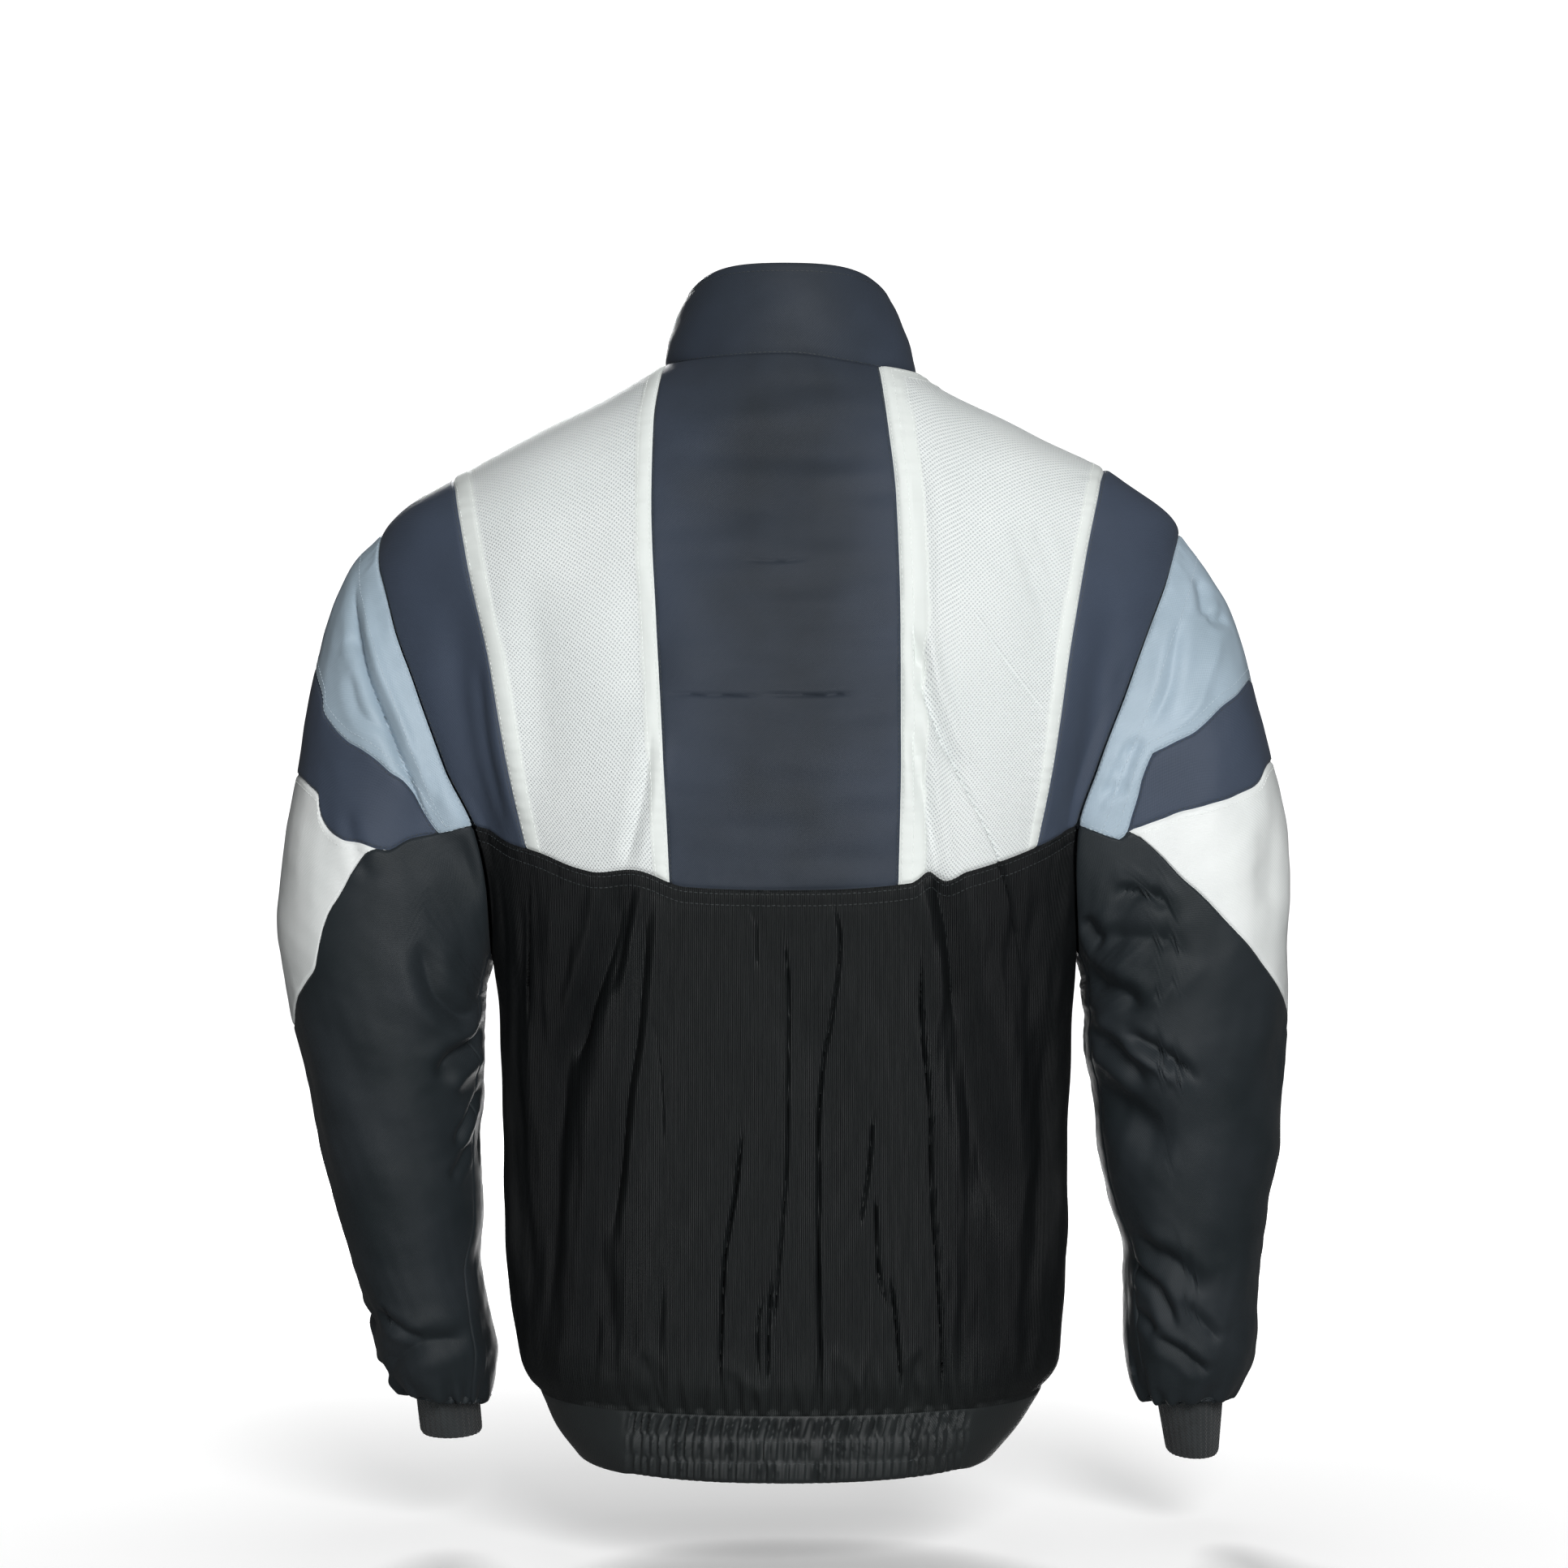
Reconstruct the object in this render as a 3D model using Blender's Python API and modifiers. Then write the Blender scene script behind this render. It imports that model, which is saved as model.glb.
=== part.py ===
"""A windbreaker jacket in its worn shape, as the separate panels that a maker cuts and sews.

Metres, +Z up. The front faces -Y and the wearer's left is +X. The origin lies between the shoulder
seams at the base of the neck, where the shoulders carry the garment.

The torso is one smooth form: a table of level sections, each rounded between an ellipse and a box.
Each body panel is a sheet stretched between four seam lines on that form. Each sleeve is a fan of
sections between an outer and an inner line, which starts on the armhole seam.
"""

import math

import bmesh
import bpy
import numpy as np

# Driving dimensions of the cloth.
CLOTH = 0.0012  # one layer of woven polyester with its lining net
COLLAR_CLOTH = 0.0024  # two layers and an interlining
BAND_CLOTH = 0.0020  # the folded hem band and the ribbed cuff
SEAM_GAP = 0.0003  # clear space between two panels along a seam
TAPE_CLOTH = 0.0010  # the woven tape of the zip

# Level sections of the torso, hem to neck. left and right are half widths, back and front are
# depths from the side plane, square is the exponent of the rounded section (2 is an ellipse).
TORSO_COLUMNS = ("height", "left", "right", "back", "front", "square")
TORSO = (
    (-0.684, 0.1290, 0.1310, 0.106, 0.108, 2.20),
    (-0.663, 0.1450, 0.1490, 0.110, 0.113, 2.20),
    (-0.642, 0.1545, 0.1625, 0.113, 0.117, 2.20),
    (-0.634, 0.1595, 0.1680, 0.118, 0.122, 2.25),
    (-0.622, 0.1660, 0.1730, 0.124, 0.128, 2.30),
    (-0.600, 0.1705, 0.1755, 0.127, 0.131, 2.35),
    (-0.560, 0.1740, 0.1770, 0.127, 0.131, 2.35),
    (-0.500, 0.1760, 0.1775, 0.125, 0.130, 2.35),
    (-0.440, 0.1770, 0.1810, 0.123, 0.132, 2.35),
    (-0.400, 0.1790, 0.1830, 0.122, 0.134, 2.35),
    (-0.370, 0.1835, 0.1850, 0.122, 0.135, 2.35),
    (-0.330, 0.1935, 0.1905, 0.122, 0.135, 2.35),
    (-0.289, 0.2110, 0.2000, 0.121, 0.134, 2.35),
    (-0.250, 0.2370, 0.2190, 0.119, 0.131, 2.35),
    (-0.200, 0.2555, 0.2385, 0.114, 0.124, 2.35),
    (-0.162, 0.2620, 0.2460, 0.109, 0.115, 2.35),
    (-0.130, 0.2620, 0.2500, 0.103, 0.106, 2.30),
    (-0.102, 0.2540, 0.2500, 0.097, 0.097, 2.25),
    (-0.067, 0.2080, 0.2110, 0.089, 0.084, 2.20),
    (-0.041, 0.1590, 0.1590, 0.081, 0.071, 2.15),
    (-0.020, 0.1190, 0.1180, 0.073, 0.061, 2.10),
    (-0.006, 0.0930, 0.0900, 0.068, 0.054, 2.05),
    (0.004, 0.0755, 0.0730, 0.064, 0.048, 2.00),
    (0.014, 0.0600, 0.0580, 0.058, 0.040, 2.00),
)

# Seams on the torso.
HEM_BOTTOM = -0.684
HEM_TOP = -0.642
UNDERARM = -0.370
SHOULDER_TIP = -0.102
ARMHOLE_OPEN = 0.56  # half depth of the armhole as a share of the torso's depth there
YOKE_ANGLE = 112.0  # degrees round the armhole from the shoulder tip, where the yoke seam meets it
YOKE_BEND = 2.6  # how late towards the sides it rises again
YOKE_DIP = 0.038  # how far the yoke seam hangs lower at the centre back
SHOULDER_SEAM_ANGLE = -23  # degrees round the armhole where that seam ends
NECK_HALF_WIDTH = {"left": 0.0757, "right": 0.0845}
NECK_DEPTH = {"back": 0.0630, "front": 0.0820}
NECK_SIDE_TURN = 105.0  # degrees round the neck where the shoulder seam meets it
NECK_BLOCK_TURN = {"left": 76.0, "right": 44.5}  # where the centre back panel ends on the neck
ZIP_HALF_GAP = 0.0060  # from the centre line to the folded edge of each front

# Seams of the colour blocks on the back, from the yoke seam (0) to the top of the panel (1), as
# distances from the centre line. inner and outer are the two edges of the pale mesh panel.
BLOCK_COLUMNS = ("rise", "inner_left", "inner_right", "outer_left", "outer_right")
BLOCKS = (
    (0.00, 0.0690, 0.0690, 0.1575, 0.1550),
    (0.25, 0.0730, 0.0705, 0.1690, 0.1650),
    (0.50, 0.0775, 0.0705, 0.1790, 0.1735),
    (0.75, 0.0810, 0.0685, 0.1930, 0.1840),
    (0.90, 0.0805, 0.0640, 0.2000, 0.1915),
    (1.00, 0.0770, 0.0605, 0.2050, 0.1975),
)
EDGE_CROWDING = 1.3  # above 1 for shorter rows near the shoulder
EDGE_TURN = 0.008  # a block edge turns over the shoulder this far below its top

# Folds of the lower back: a trough from one point to another across the panel, bent through a
# middle point. Each point is (distance to the wearer's left, height).
FOLD_COLUMNS = ("top", "middle", "bottom", "width", "depth")
BACK_FOLDS = (
    ((0.160, -0.320), (0.162, -0.365), (0.162, -0.410), 0.008, 0.0025),
    ((0.112, -0.325), (0.130, -0.440), (0.141, -0.535), 0.016, 0.0080),
    ((0.089, -0.325), (0.097, -0.390), (0.104, -0.465), 0.008, 0.0040),
    ((0.106, -0.455), (0.110, -0.520), (0.106, -0.600), 0.012, 0.0055),
    ((0.075, -0.545), (0.077, -0.590), (0.073, -0.640), 0.008, 0.0030),
    ((0.030, -0.460), (0.040, -0.560), (0.042, -0.640), 0.008, 0.0035),
    ((0.003, -0.330), (0.005, -0.480), (0.011, -0.640), 0.009, 0.0030),
    ((-0.030, -0.330), (-0.018, -0.450), (-0.020, -0.640), 0.010, 0.0045),
    ((-0.052, -0.500), (-0.058, -0.560), (-0.068, -0.635), 0.008, 0.0035),
    ((-0.087, -0.345), (-0.087, -0.500), (-0.102, -0.640), 0.010, 0.0045),
    ((-0.092, -0.325), (-0.108, -0.430), (-0.127, -0.560), 0.018, 0.0090),
    ((-0.128, -0.310), (-0.136, -0.345), (-0.143, -0.390), 0.008, 0.0030),
)
FOLD_FADE = 0.2  # share of a fold's length over which each end fades
YOKE_FADE = 0.02  # folds fade within this distance of the yoke seam
HEM_GATHERS = 20  # soft waves where the lower back is drawn into the elastic
HEM_GATHER_DEPTH = 0.0024
HEM_GATHER_RISE = 0.055  # how far up the panel they reach
HEM_GATHER_FADE = 0.02  # half the distance over which they fade beside the elastic
ELASTIC_HALF_WIDTH = 0.118  # half width of the shirred stretch of the hem band
BAND_HEIGHTS = (-0.642, -0.649, -0.656, -0.663, -0.670, -0.677, -0.684)
BAND_WAVES = 26  # ridges of the shirring across the elastic
BAND_GATHER_DEPTH = 0.0012
BAND_GATHER_FADE = 0.006
BAND_STITCH_ROWS = 3
BAND_ROW_WAVE = 0.35  # how much of the waves' depth is left on a row of stitches

# Sections of the sleeves, from the armhole seam to the cuff seam. outer and inner are points seen
# from the front, as (distance from the centre, height). back and front are half depths.
SLEEVE_COLUMNS = ("outer_x", "outer_z", "inner_x", "inner_z", "back", "front", "middle_y")
SLEEVES = {
    "left": (
        (0.2540, -0.102, 0.1835, -0.370, 0.058, 0.060, 0.000),
        (0.2735, -0.124, 0.1855, -0.377, 0.062, 0.062, 0.001),
        (0.2880, -0.158, 0.1870, -0.383, 0.066, 0.064, 0.002),
        (0.2990, -0.205, 0.1880, -0.389, 0.069, 0.066, 0.003),
        (0.3085, -0.258, 0.1886, -0.396, 0.070, 0.067, 0.003),
        (0.3170, -0.305, 0.1892, -0.405, 0.070, 0.067, 0.002),
        (0.3205, -0.345, 0.1898, -0.415, 0.069, 0.066, 0.000),
        (0.3180, -0.375, 0.1904, -0.427, 0.068, 0.065, -0.003),
        (0.3125, -0.405, 0.1912, -0.442, 0.066, 0.063, -0.006),
        (0.3055, -0.443, 0.1930, -0.464, 0.063, 0.060, -0.011),
        (0.2975, -0.484, 0.1945, -0.494, 0.059, 0.057, -0.017),
        (0.2885, -0.525, 0.1930, -0.530, 0.055, 0.054, -0.024),
        (0.2775, -0.565, 0.1955, -0.567, 0.051, 0.050, -0.032),
        (0.2665, -0.604, 0.1885, -0.606, 0.049, 0.048, -0.040),
        (0.2630, -0.624, 0.1848, -0.626, 0.047, 0.046, -0.044),
        (0.2570, -0.641, 0.1868, -0.645, 0.042, 0.041, -0.047),
        (0.2500, -0.653, 0.1900, -0.658, 0.036, 0.036, -0.049),
        (0.2440, -0.654, 0.1945, -0.660, 0.031, 0.031, -0.050),
        (0.2410, -0.644, 0.1975, -0.649, 0.029, 0.029, -0.050),
    ),
    "right": (
        (0.2500, -0.102, 0.1850, -0.370, 0.058, 0.060, 0.000),
        (0.2670, -0.124, 0.1872, -0.377, 0.062, 0.062, 0.001),
        (0.2855, -0.160, 0.1878, -0.383, 0.066, 0.064, 0.002),
        (0.2985, -0.205, 0.1884, -0.389, 0.069, 0.066, 0.003),
        (0.3095, -0.247, 0.1890, -0.396, 0.070, 0.067, 0.003),
        (0.3175, -0.290, 0.1895, -0.405, 0.070, 0.067, 0.002),
        (0.3195, -0.335, 0.1902, -0.415, 0.070, 0.067, 0.000),
        (0.3190, -0.380, 0.1912, -0.427, 0.069, 0.066, -0.003),
        (0.3180, -0.420, 0.1938, -0.442, 0.067, 0.064, -0.006),
        (0.3165, -0.453, 0.1975, -0.464, 0.063, 0.061, -0.011),
        (0.3165, -0.487, 0.2015, -0.494, 0.060, 0.058, -0.017),
        (0.3100, -0.527, 0.2090, -0.530, 0.056, 0.055, -0.024),
        (0.3065, -0.567, 0.2190, -0.568, 0.053, 0.052, -0.032),
        (0.3050, -0.606, 0.2190, -0.607, 0.051, 0.050, -0.040),
        (0.3035, -0.630, 0.2205, -0.631, 0.048, 0.047, -0.045),
        (0.2980, -0.646, 0.2240, -0.648, 0.043, 0.042, -0.048),
        (0.2920, -0.656, 0.2300, -0.659, 0.037, 0.037, -0.050),
        (0.2885, -0.657, 0.2365, -0.659, 0.032, 0.032, -0.051),
        (0.2865, -0.648, 0.2395, -0.651, 0.030, 0.030, -0.051),
    ),
}
CUFF_DROP = {"left": (0.2370, 0.1950, -0.681), "right": (0.2830, 0.2475, -0.694)}
CUFF_MIDDLE_Y = -0.054
CUFF_RIBS = 30
CUFF_RIB_RISE = 0.0007
CUFF_INSET = 0.0010  # the cuff's top lies this far inside the sleeve's end
SLEEVE_ROUND = 2.15
ARMHOLE_BLEND = 3.0  # rows over which the armhole's shape fades into the sleeve's own sections

# Seams of the colour blocks on the sleeve's back half, by the angle round the sleeve from its outer
# line in degrees, as rows of the table of sections (0 at the armhole). The front half mirrors them.
# blue is the lower edge of the blue cap, dark of the dark stripe, white of the white elbow piece.
SLEEVE_BLOCK_COLUMNS = ("angle", "blue", "dark", "white")
SLEEVE_BLOCKS = {
    "left": (
        (0, 2.50, 3.90, 8.30),
        (15, 2.52, 3.88, 8.15),
        (30, 2.58, 3.84, 7.80),
        (45, 2.80, 3.75, 7.45),
        (60, 2.55, 4.02, 6.60),
        (75, 2.05, 3.75, 4.30),
        (90, 1.50, 3.20, 3.20),
        (106, 1.30, 1.30, 1.30),
    ),
    "right": (
        (0, 2.95, 4.05, 7.85),
        (15, 2.85, 4.00, 7.55),
        (30, 2.75, 3.85, 7.20),
        (45, 2.60, 3.80, 6.75),
        (60, 2.35, 3.45, 6.20),
        (75, 1.65, 3.00, 5.30),
        (90, 1.40, 2.30, 3.95),
        (106, 1.50, 1.50, 1.50),
    ),
}
WHITE_TIP = {"left": 90, "right": 106}  # degrees round the sleeve where the white piece ends
BLOCK_TIP = 106  # where the blue cap's corner and the dark stripe's end lie
POINT_SHORT = 0.0015  # a pointed end stops this far short of its neighbours' corner

# Folds of the sleeves, each from one point to another through a middle one. Each point is
# (degrees round the sleeve, row of the table of sections).
SLEEVE_FOLDS = {
    "left": (
        ((180, 5.3), (146, 6.6), (123, 8.3), 0.013, 0.0060),
        ((180, 8.4), (160, 9.0), (143, 9.7), 0.010, 0.0040),
        ((60, 14.0), (95, 13.4), (140, 13.3), 0.010, 0.0040),
        ((30, 12.4), (70, 12.1), (110, 12.6), 0.009, 0.0030),
    ),
    "right": (
        ((157, 1.4), (140, 3.6), (123, 5.9), 0.010, 0.0040),
        ((161, 6.4), (115, 7.3), (88, 8.4), 0.013, 0.0060),
        ((170, 6.6), (140, 7.7), (115, 8.7), 0.010, 0.0040),
        ((136, 11.6), (108, 11.9), (81, 12.3), 0.010, 0.0045),
        ((116, 13.2), (94, 13.6), (72, 14.1), 0.009, 0.0035),
    ),
}

# The armhole seam's points, in degrees round it from the underarm up the front, over the shoulder
# tip and down the back. The body panels and the sleeves share them.
ARMHOLE_ANGLES = (
    *(-180, -163, -146, -129, -112, -106, -90, -74, -57, -40, -23),
    *(0, 15, 30, 45, 60, 75, 90, 106, 112, 129, 146, 163, 180),
)

# Rows of the body's panels from the hem seam up to where they start to fan towards the armhole,
# and rows of the side seam from there to the underarm.
BACK_HEIGHTS = (-0.642, -0.636, -0.628, -0.617, -0.602, -0.582, -0.560, -0.535, -0.510, -0.484, -0.458)
FRONT_HEIGHTS = (-0.642, -0.634, -0.622, -0.602, -0.560, -0.510, -0.458)
UNDERARM_ROWS = 3
YOKE_COLUMNS = (3, 6, 8, 6, 3)  # side, mesh, centre, mesh and side panel, right to left
NECK_COLUMNS = (2, 5)  # from the centre panel to the shoulder seam, and on to the zip
SHOULDER_COLUMNS = (6, 3)  # of the mesh panel and of the side panel
SLEEVE_ROWS = {"blue": 3, "dark": 2, "white": 4, "lower": 18}

# The collar: its rim by the angle from the centre back.
COLLAR_ROWS = 4
COLLAR_RIM_HEIGHT = (0.062, 0.049, 0.004)  # at the back, the sides and the zip
COLLAR_RIM_HALF_WIDTH = {"left": 0.0608, "right": 0.0655}
COLLAR_RIM_DEPTH = {"back": 0.058, "front": 0.072}
COLLAR_BELLY = 0.003  # how far its middle stands out
COLLAR_LEAN = 0.5  # share of its height over which its wall turns from the body's direction
COLLAR_ZIP_TURN = (160.0, 178.0)  # it straightens towards the zip between these turns
WALL_LEAN = 0.6  # how much a folded sheet's wall keeps the direction of the form under it

# The zip.
TAPE_COLUMNS = (0.0004, 0.0075, 0.0150)  # distances of the tape's points from the centre line
TAPE_RISES = (0.0, 0.25, 0.5, 0.75, 0.97)  # its rows up the collar
TAPE_HEM_ROWS = (-0.002, 0.003)  # its rows at the hem seam, from that seam
TAPE_NECK_ROW = -0.006  # its row under the neck seam, from that seam
TAPE_SINK = 0.0005  # from the cloth's inner face to the tape
SLIDER_HEIGHT = -0.086  # where it stands, just under the collar
SLIDER_SIZE = (0.0090, 0.0034, 0.0115)
SLIDER_BEVEL = 0.0009
SLIDER_LIFT = 0.0001  # from the fronts' inner face to the slider's back
BAIL_SIZE = (0.0016, 0.0034, 0.0078)
BAIL_BEVEL = 0.0006
BAIL_SINK = 0.0003  # how far the bail reaches into the slider
BAIL_RISE = 0.0005  # from the slider's middle to the bail's
BAIL_HOLE = (0.0021, 0.0050)  # its height over the slider and its length
TAB_SIZE = (0.0068, 0.0012, 0.0250)
TAB_BEVEL = 0.0003
TAB_EYE = (0.0032, 0.0046)
HINGE_RISE = -0.0006  # the tab's bar under the bail, from the slider's middle

COLOURS = {
    "charcoal": (0.045, 0.055, 0.065),
    "black": (0.020, 0.023, 0.024),
    "white": (0.74, 0.77, 0.76),
    "blue": (0.36, 0.46, 0.55),
    "band": (0.022, 0.026, 0.028),
    "metal": (0.10, 0.10, 0.11),
}


# ---------------------------------------------------------------- reading a table smoothly


def column(rows, columns, name):
    """One column of a table as an array."""
    return np.array([row[columns.index(name)] for row in rows], float)


def smooth_read(xs, ys, x):
    """Reads ys at x on a curve through the rows that never overshoots them."""
    x = np.clip(np.asarray(x, float), xs[0], xs[-1])
    step = np.diff(xs)
    slope = np.diff(ys) / step
    inner = np.zeros(len(xs) - 2)
    same_way = slope[:-1] * slope[1:] > 0
    weight_a = 2 * step[1:] + step[:-1]
    weight_b = step[1:] + 2 * step[:-1]
    mean = (weight_a + weight_b) / (
        weight_a / np.where(same_way, slope[:-1], 1) + weight_b / np.where(same_way, slope[1:], 1)
    )
    inner[same_way] = mean[same_way]
    tangent = np.concatenate([[slope[0]], inner, [slope[-1]]])
    k = np.clip(np.searchsorted(xs, x, side="right") - 1, 0, len(step) - 1)
    u = (x - xs[k]) / step[k]
    return (
        (1 + 2 * u) * (1 - u) ** 2 * ys[k]
        + u * (1 - u) ** 2 * step[k] * tangent[k]
        + u * u * (3 - 2 * u) * ys[k + 1]
        + u * u * (u - 1) * step[k] * tangent[k + 1]
    )


def ease(x):
    """0 below 0, 1 above 1, and a soft step between."""
    x = np.clip(x, 0, 1)
    return x * x * (3 - 2 * x)


def lengthwise(points):
    """Share of the way along a run of points, 0 at its start and 1 at its end."""
    steps = np.linalg.norm(np.diff(points, axis=0), axis=1)
    along = np.concatenate([[0], np.cumsum(steps)])
    return along / along[-1]


def resample(points, shares):
    """The points at these shares of a run's length."""
    along = lengthwise(points)
    return np.stack([np.interp(shares, along, points[:, k]) for k in range(3)], axis=1)


# ---------------------------------------------------------------- the torso's form

TORSO_HEIGHTS = column(TORSO, TORSO_COLUMNS, "height")
TORSO_VALUES = {name: column(TORSO, TORSO_COLUMNS, name) for name in TORSO_COLUMNS[1:]}


def torso_size(name, z):
    return smooth_read(TORSO_HEIGHTS, TORSO_VALUES[name], z)


def torso_excess(p):
    """Below 0 inside the torso's form, 0 on it and above 0 outside, for rows of points."""
    x, y, z = p[..., 0], p[..., 1], p[..., 2]
    width = np.where(x > 0, torso_size("left", z), torso_size("right", z))
    depth = np.where(y > 0, torso_size("back", z), torso_size("front", z))
    power = torso_size("square", z)
    return (np.abs(x) / width) ** power + (np.abs(y) / depth) ** power - 1


def torso_slope(p, step=2e-4):
    """The direction in which torso_excess grows, for rows of points."""
    slope = np.zeros_like(p)
    for k in range(3):
        shift = np.zeros(3)
        shift[k] = step
        slope[..., k] = (torso_excess(p + shift) - torso_excess(p - shift)) / (2 * step)
    return slope


def onto_torso(p):
    """Points near the torso's form, moved onto it."""
    p = np.array(p, float)
    for _ in range(8):
        slope = torso_slope(p)
        move = torso_excess(p) / np.maximum((slope**2).sum(-1), 1e-9)
        p = p - np.clip(move, -1e-2, 1e-2)[..., None] * slope
    return p


def torso_outward(p):
    slope = torso_slope(p)
    return slope / np.linalg.norm(slope, axis=-1, keepdims=True)


def at_depth(x, z, facing):
    """The point of the form at this x and height, on the back (facing 1) or the front (-1)."""
    x, z = np.broadcast_arrays(np.asarray(x, float), np.asarray(z, float))
    width = np.where(x > 0, torso_size("left", z), torso_size("right", z))
    depth = torso_size("back" if facing > 0 else "front", z)
    power = torso_size("square", z)
    share = np.maximum(1 - (np.abs(x) / width) ** power, 0) ** (1 / power)
    return np.stack([x, facing * depth * share, z], axis=-1)


def over_shoulder(x, y):
    """The point of the shoulder above x and y."""
    x, y = np.broadcast_arrays(np.asarray(x, float), np.asarray(y, float))
    low = np.full(x.shape, -0.20)
    high = np.full(x.shape, TORSO[-1][0])
    for _ in range(40):
        middle = (low + high) / 2
        inside = torso_excess(np.stack([x, y, middle], axis=-1)) < 0
        low = np.where(inside, middle, low)
        high = np.where(inside, high, middle)
    return np.stack([x, y, low], axis=-1)


def side_sign(side):
    return 1 if side == "left" else -1


def armhole_curve(side, angle):
    """The armhole seam: angle 0 at the shoulder tip, positive down the back, 180 at the underarm."""
    turn = np.radians(np.asarray(angle, float))
    height = (SHOULDER_TIP + UNDERARM) / 2 + (SHOULDER_TIP - UNDERARM) / 2 * np.cos(turn)
    opening = ARMHOLE_OPEN * np.abs(np.sin(turn))
    power = torso_size("square", height)
    width = torso_size(side, height) * (1 - opening**power) ** (1 / power)
    depth = np.where(np.sin(turn) > 0, torso_size("back", height), torso_size("front", height))
    return np.stack([side_sign(side) * width, np.sign(turn) * depth * opening, height], axis=-1)


def armhole_points(side, first, last):
    """The armhole's points between two of its angles, in that order."""
    low, high = min(first, last), max(first, last)
    angles = [angle for angle in ARMHOLE_ANGLES if low <= angle <= high]
    points = armhole_curve(side, angles)
    return points if first < last else points[::-1]


# ---------------------------------------------------------------- seam lines of the body


def neckline(turn):
    """The neck seam: turn 0 at the centre back, positive to the wearer's left, 180 at the zip."""
    turn = np.radians(np.asarray(turn, float))
    width = np.where(np.sin(turn) > 0, NECK_HALF_WIDTH["left"], NECK_HALF_WIDTH["right"])
    depth = np.where(np.cos(turn) > 0, NECK_DEPTH["back"], NECK_DEPTH["front"])
    return over_shoulder(width * np.sin(turn), depth * np.cos(turn))


def zip_turn(side):
    """Degrees round the neck where the front's edge meets it."""
    return 180.0 - math.degrees(math.asin(ZIP_HALF_GAP / NECK_HALF_WIDTH[side]))


def neck_turns(side):
    """Turns of one side's neck points, from the centre panel's corner to the zip."""
    to_shoulder = np.linspace(NECK_BLOCK_TURN[side], NECK_SIDE_TURN, NECK_COLUMNS[0] + 1)
    to_zip = np.linspace(NECK_SIDE_TURN, zip_turn(side), NECK_COLUMNS[1] + 1)
    return side_sign(side) * to_shoulder, side_sign(side) * to_zip


def ring(height, first, last, count):
    """A level line round the torso. Turns are in degrees, 0 at the back, positive to the left."""
    turn = np.radians(np.linspace(first, last, 240))
    width = np.where(np.sin(turn) > 0, torso_size("left", height), torso_size("right", height))
    depth = np.where(np.cos(turn) > 0, torso_size("back", height), torso_size("front", height))
    power = 2 / torso_size("square", height)
    x = np.sign(np.sin(turn)) * np.abs(np.sin(turn)) ** power * width
    y = np.sign(np.cos(turn)) * np.abs(np.cos(turn)) ** power * depth
    line = np.stack([x, y, np.full_like(x, height)], axis=-1)
    return resample(line, np.linspace(0, 1, count + 1))


def front_ring(side, height, count):
    """A level line from the side seam to the zip."""
    power = torso_size("square", height) / 2
    share = (ZIP_HALF_GAP / torso_size(side, height)) ** power
    last = 180.0 - math.degrees(math.asin(share))
    line = ring(height, side_sign(side) * 90, side_sign(side) * last, count)
    line[0, 1] = 0.0
    line[-1] = at_depth(side_sign(side) * ZIP_HALF_GAP, height, -1)
    return line


def yoke_line():
    """The seam across the back, right armhole to left, hanging lower at the centre."""
    ends = armhole_curve("right", YOKE_ANGLE), armhole_curve("left", YOKE_ANGLE)
    lower = BLOCKS[0][1:]
    stops = (ends[0][0], -lower[3], -lower[1], lower[0], lower[2], ends[1][0])
    x = [stops[0]]
    for first, last, count in zip(stops, stops[1:], YOKE_COLUMNS):
        x.extend(np.linspace(first, last, count + 1)[1:])
    x = np.array(x)
    share = np.where(x > 0, x / ends[1][0], x / ends[0][0])
    height = ends[1][2] - YOKE_DIP * (1 - np.abs(share) ** YOKE_BEND)
    return at_depth(x, height, 1)


def shoulder_line(side):
    """The shoulder seam, from the neck to the armhole, through the mesh panel's outer corner."""
    start = neckline(side_sign(side) * NECK_SIDE_TURN)
    end = armhole_curve(side, SHOULDER_SEAM_ANGLE)
    line = onto_torso(start + np.linspace(0, 1, 60)[:, None] * (end - start))
    line[0], line[-1] = start, end
    corner = np.interp(BLOCKS[-1][3 if side == "left" else 4], np.abs(line[:, 0]), lengthwise(line))
    shares = np.concatenate([
        np.linspace(0, corner, SHOULDER_COLUMNS[0] + 1),
        np.linspace(corner, 1, SHOULDER_COLUMNS[1] + 1)[1:],
    ])
    return resample(line, shares)


def block_edge(side, edge, bottom, top, rows):
    """An edge of the mesh panel, from its point on the yoke seam up to its point at the top."""
    rise = np.linspace(0, 1, 60)
    turn_height = top[2] - EDGE_TURN
    height = bottom[2] + (turn_height - bottom[2]) * rise
    rises = column(BLOCKS, BLOCK_COLUMNS, "rise")
    x = smooth_read(rises, column(BLOCKS, BLOCK_COLUMNS, f"{edge}_{side}"), rise)
    up_the_back = at_depth(side_sign(side) * x, height, 1)
    over = up_the_back[-1] + np.linspace(0, 1, 12)[1:, None] * (top - up_the_back[-1])
    line = np.concatenate([up_the_back, onto_torso(over)])
    line[0], line[-1] = bottom, top
    shares = 1 - (1 - np.linspace(0, 1, rows + 1)) ** EDGE_CROWDING
    return resample(line, shares)


# ---------------------------------------------------------------- sheets between seam lines


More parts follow.
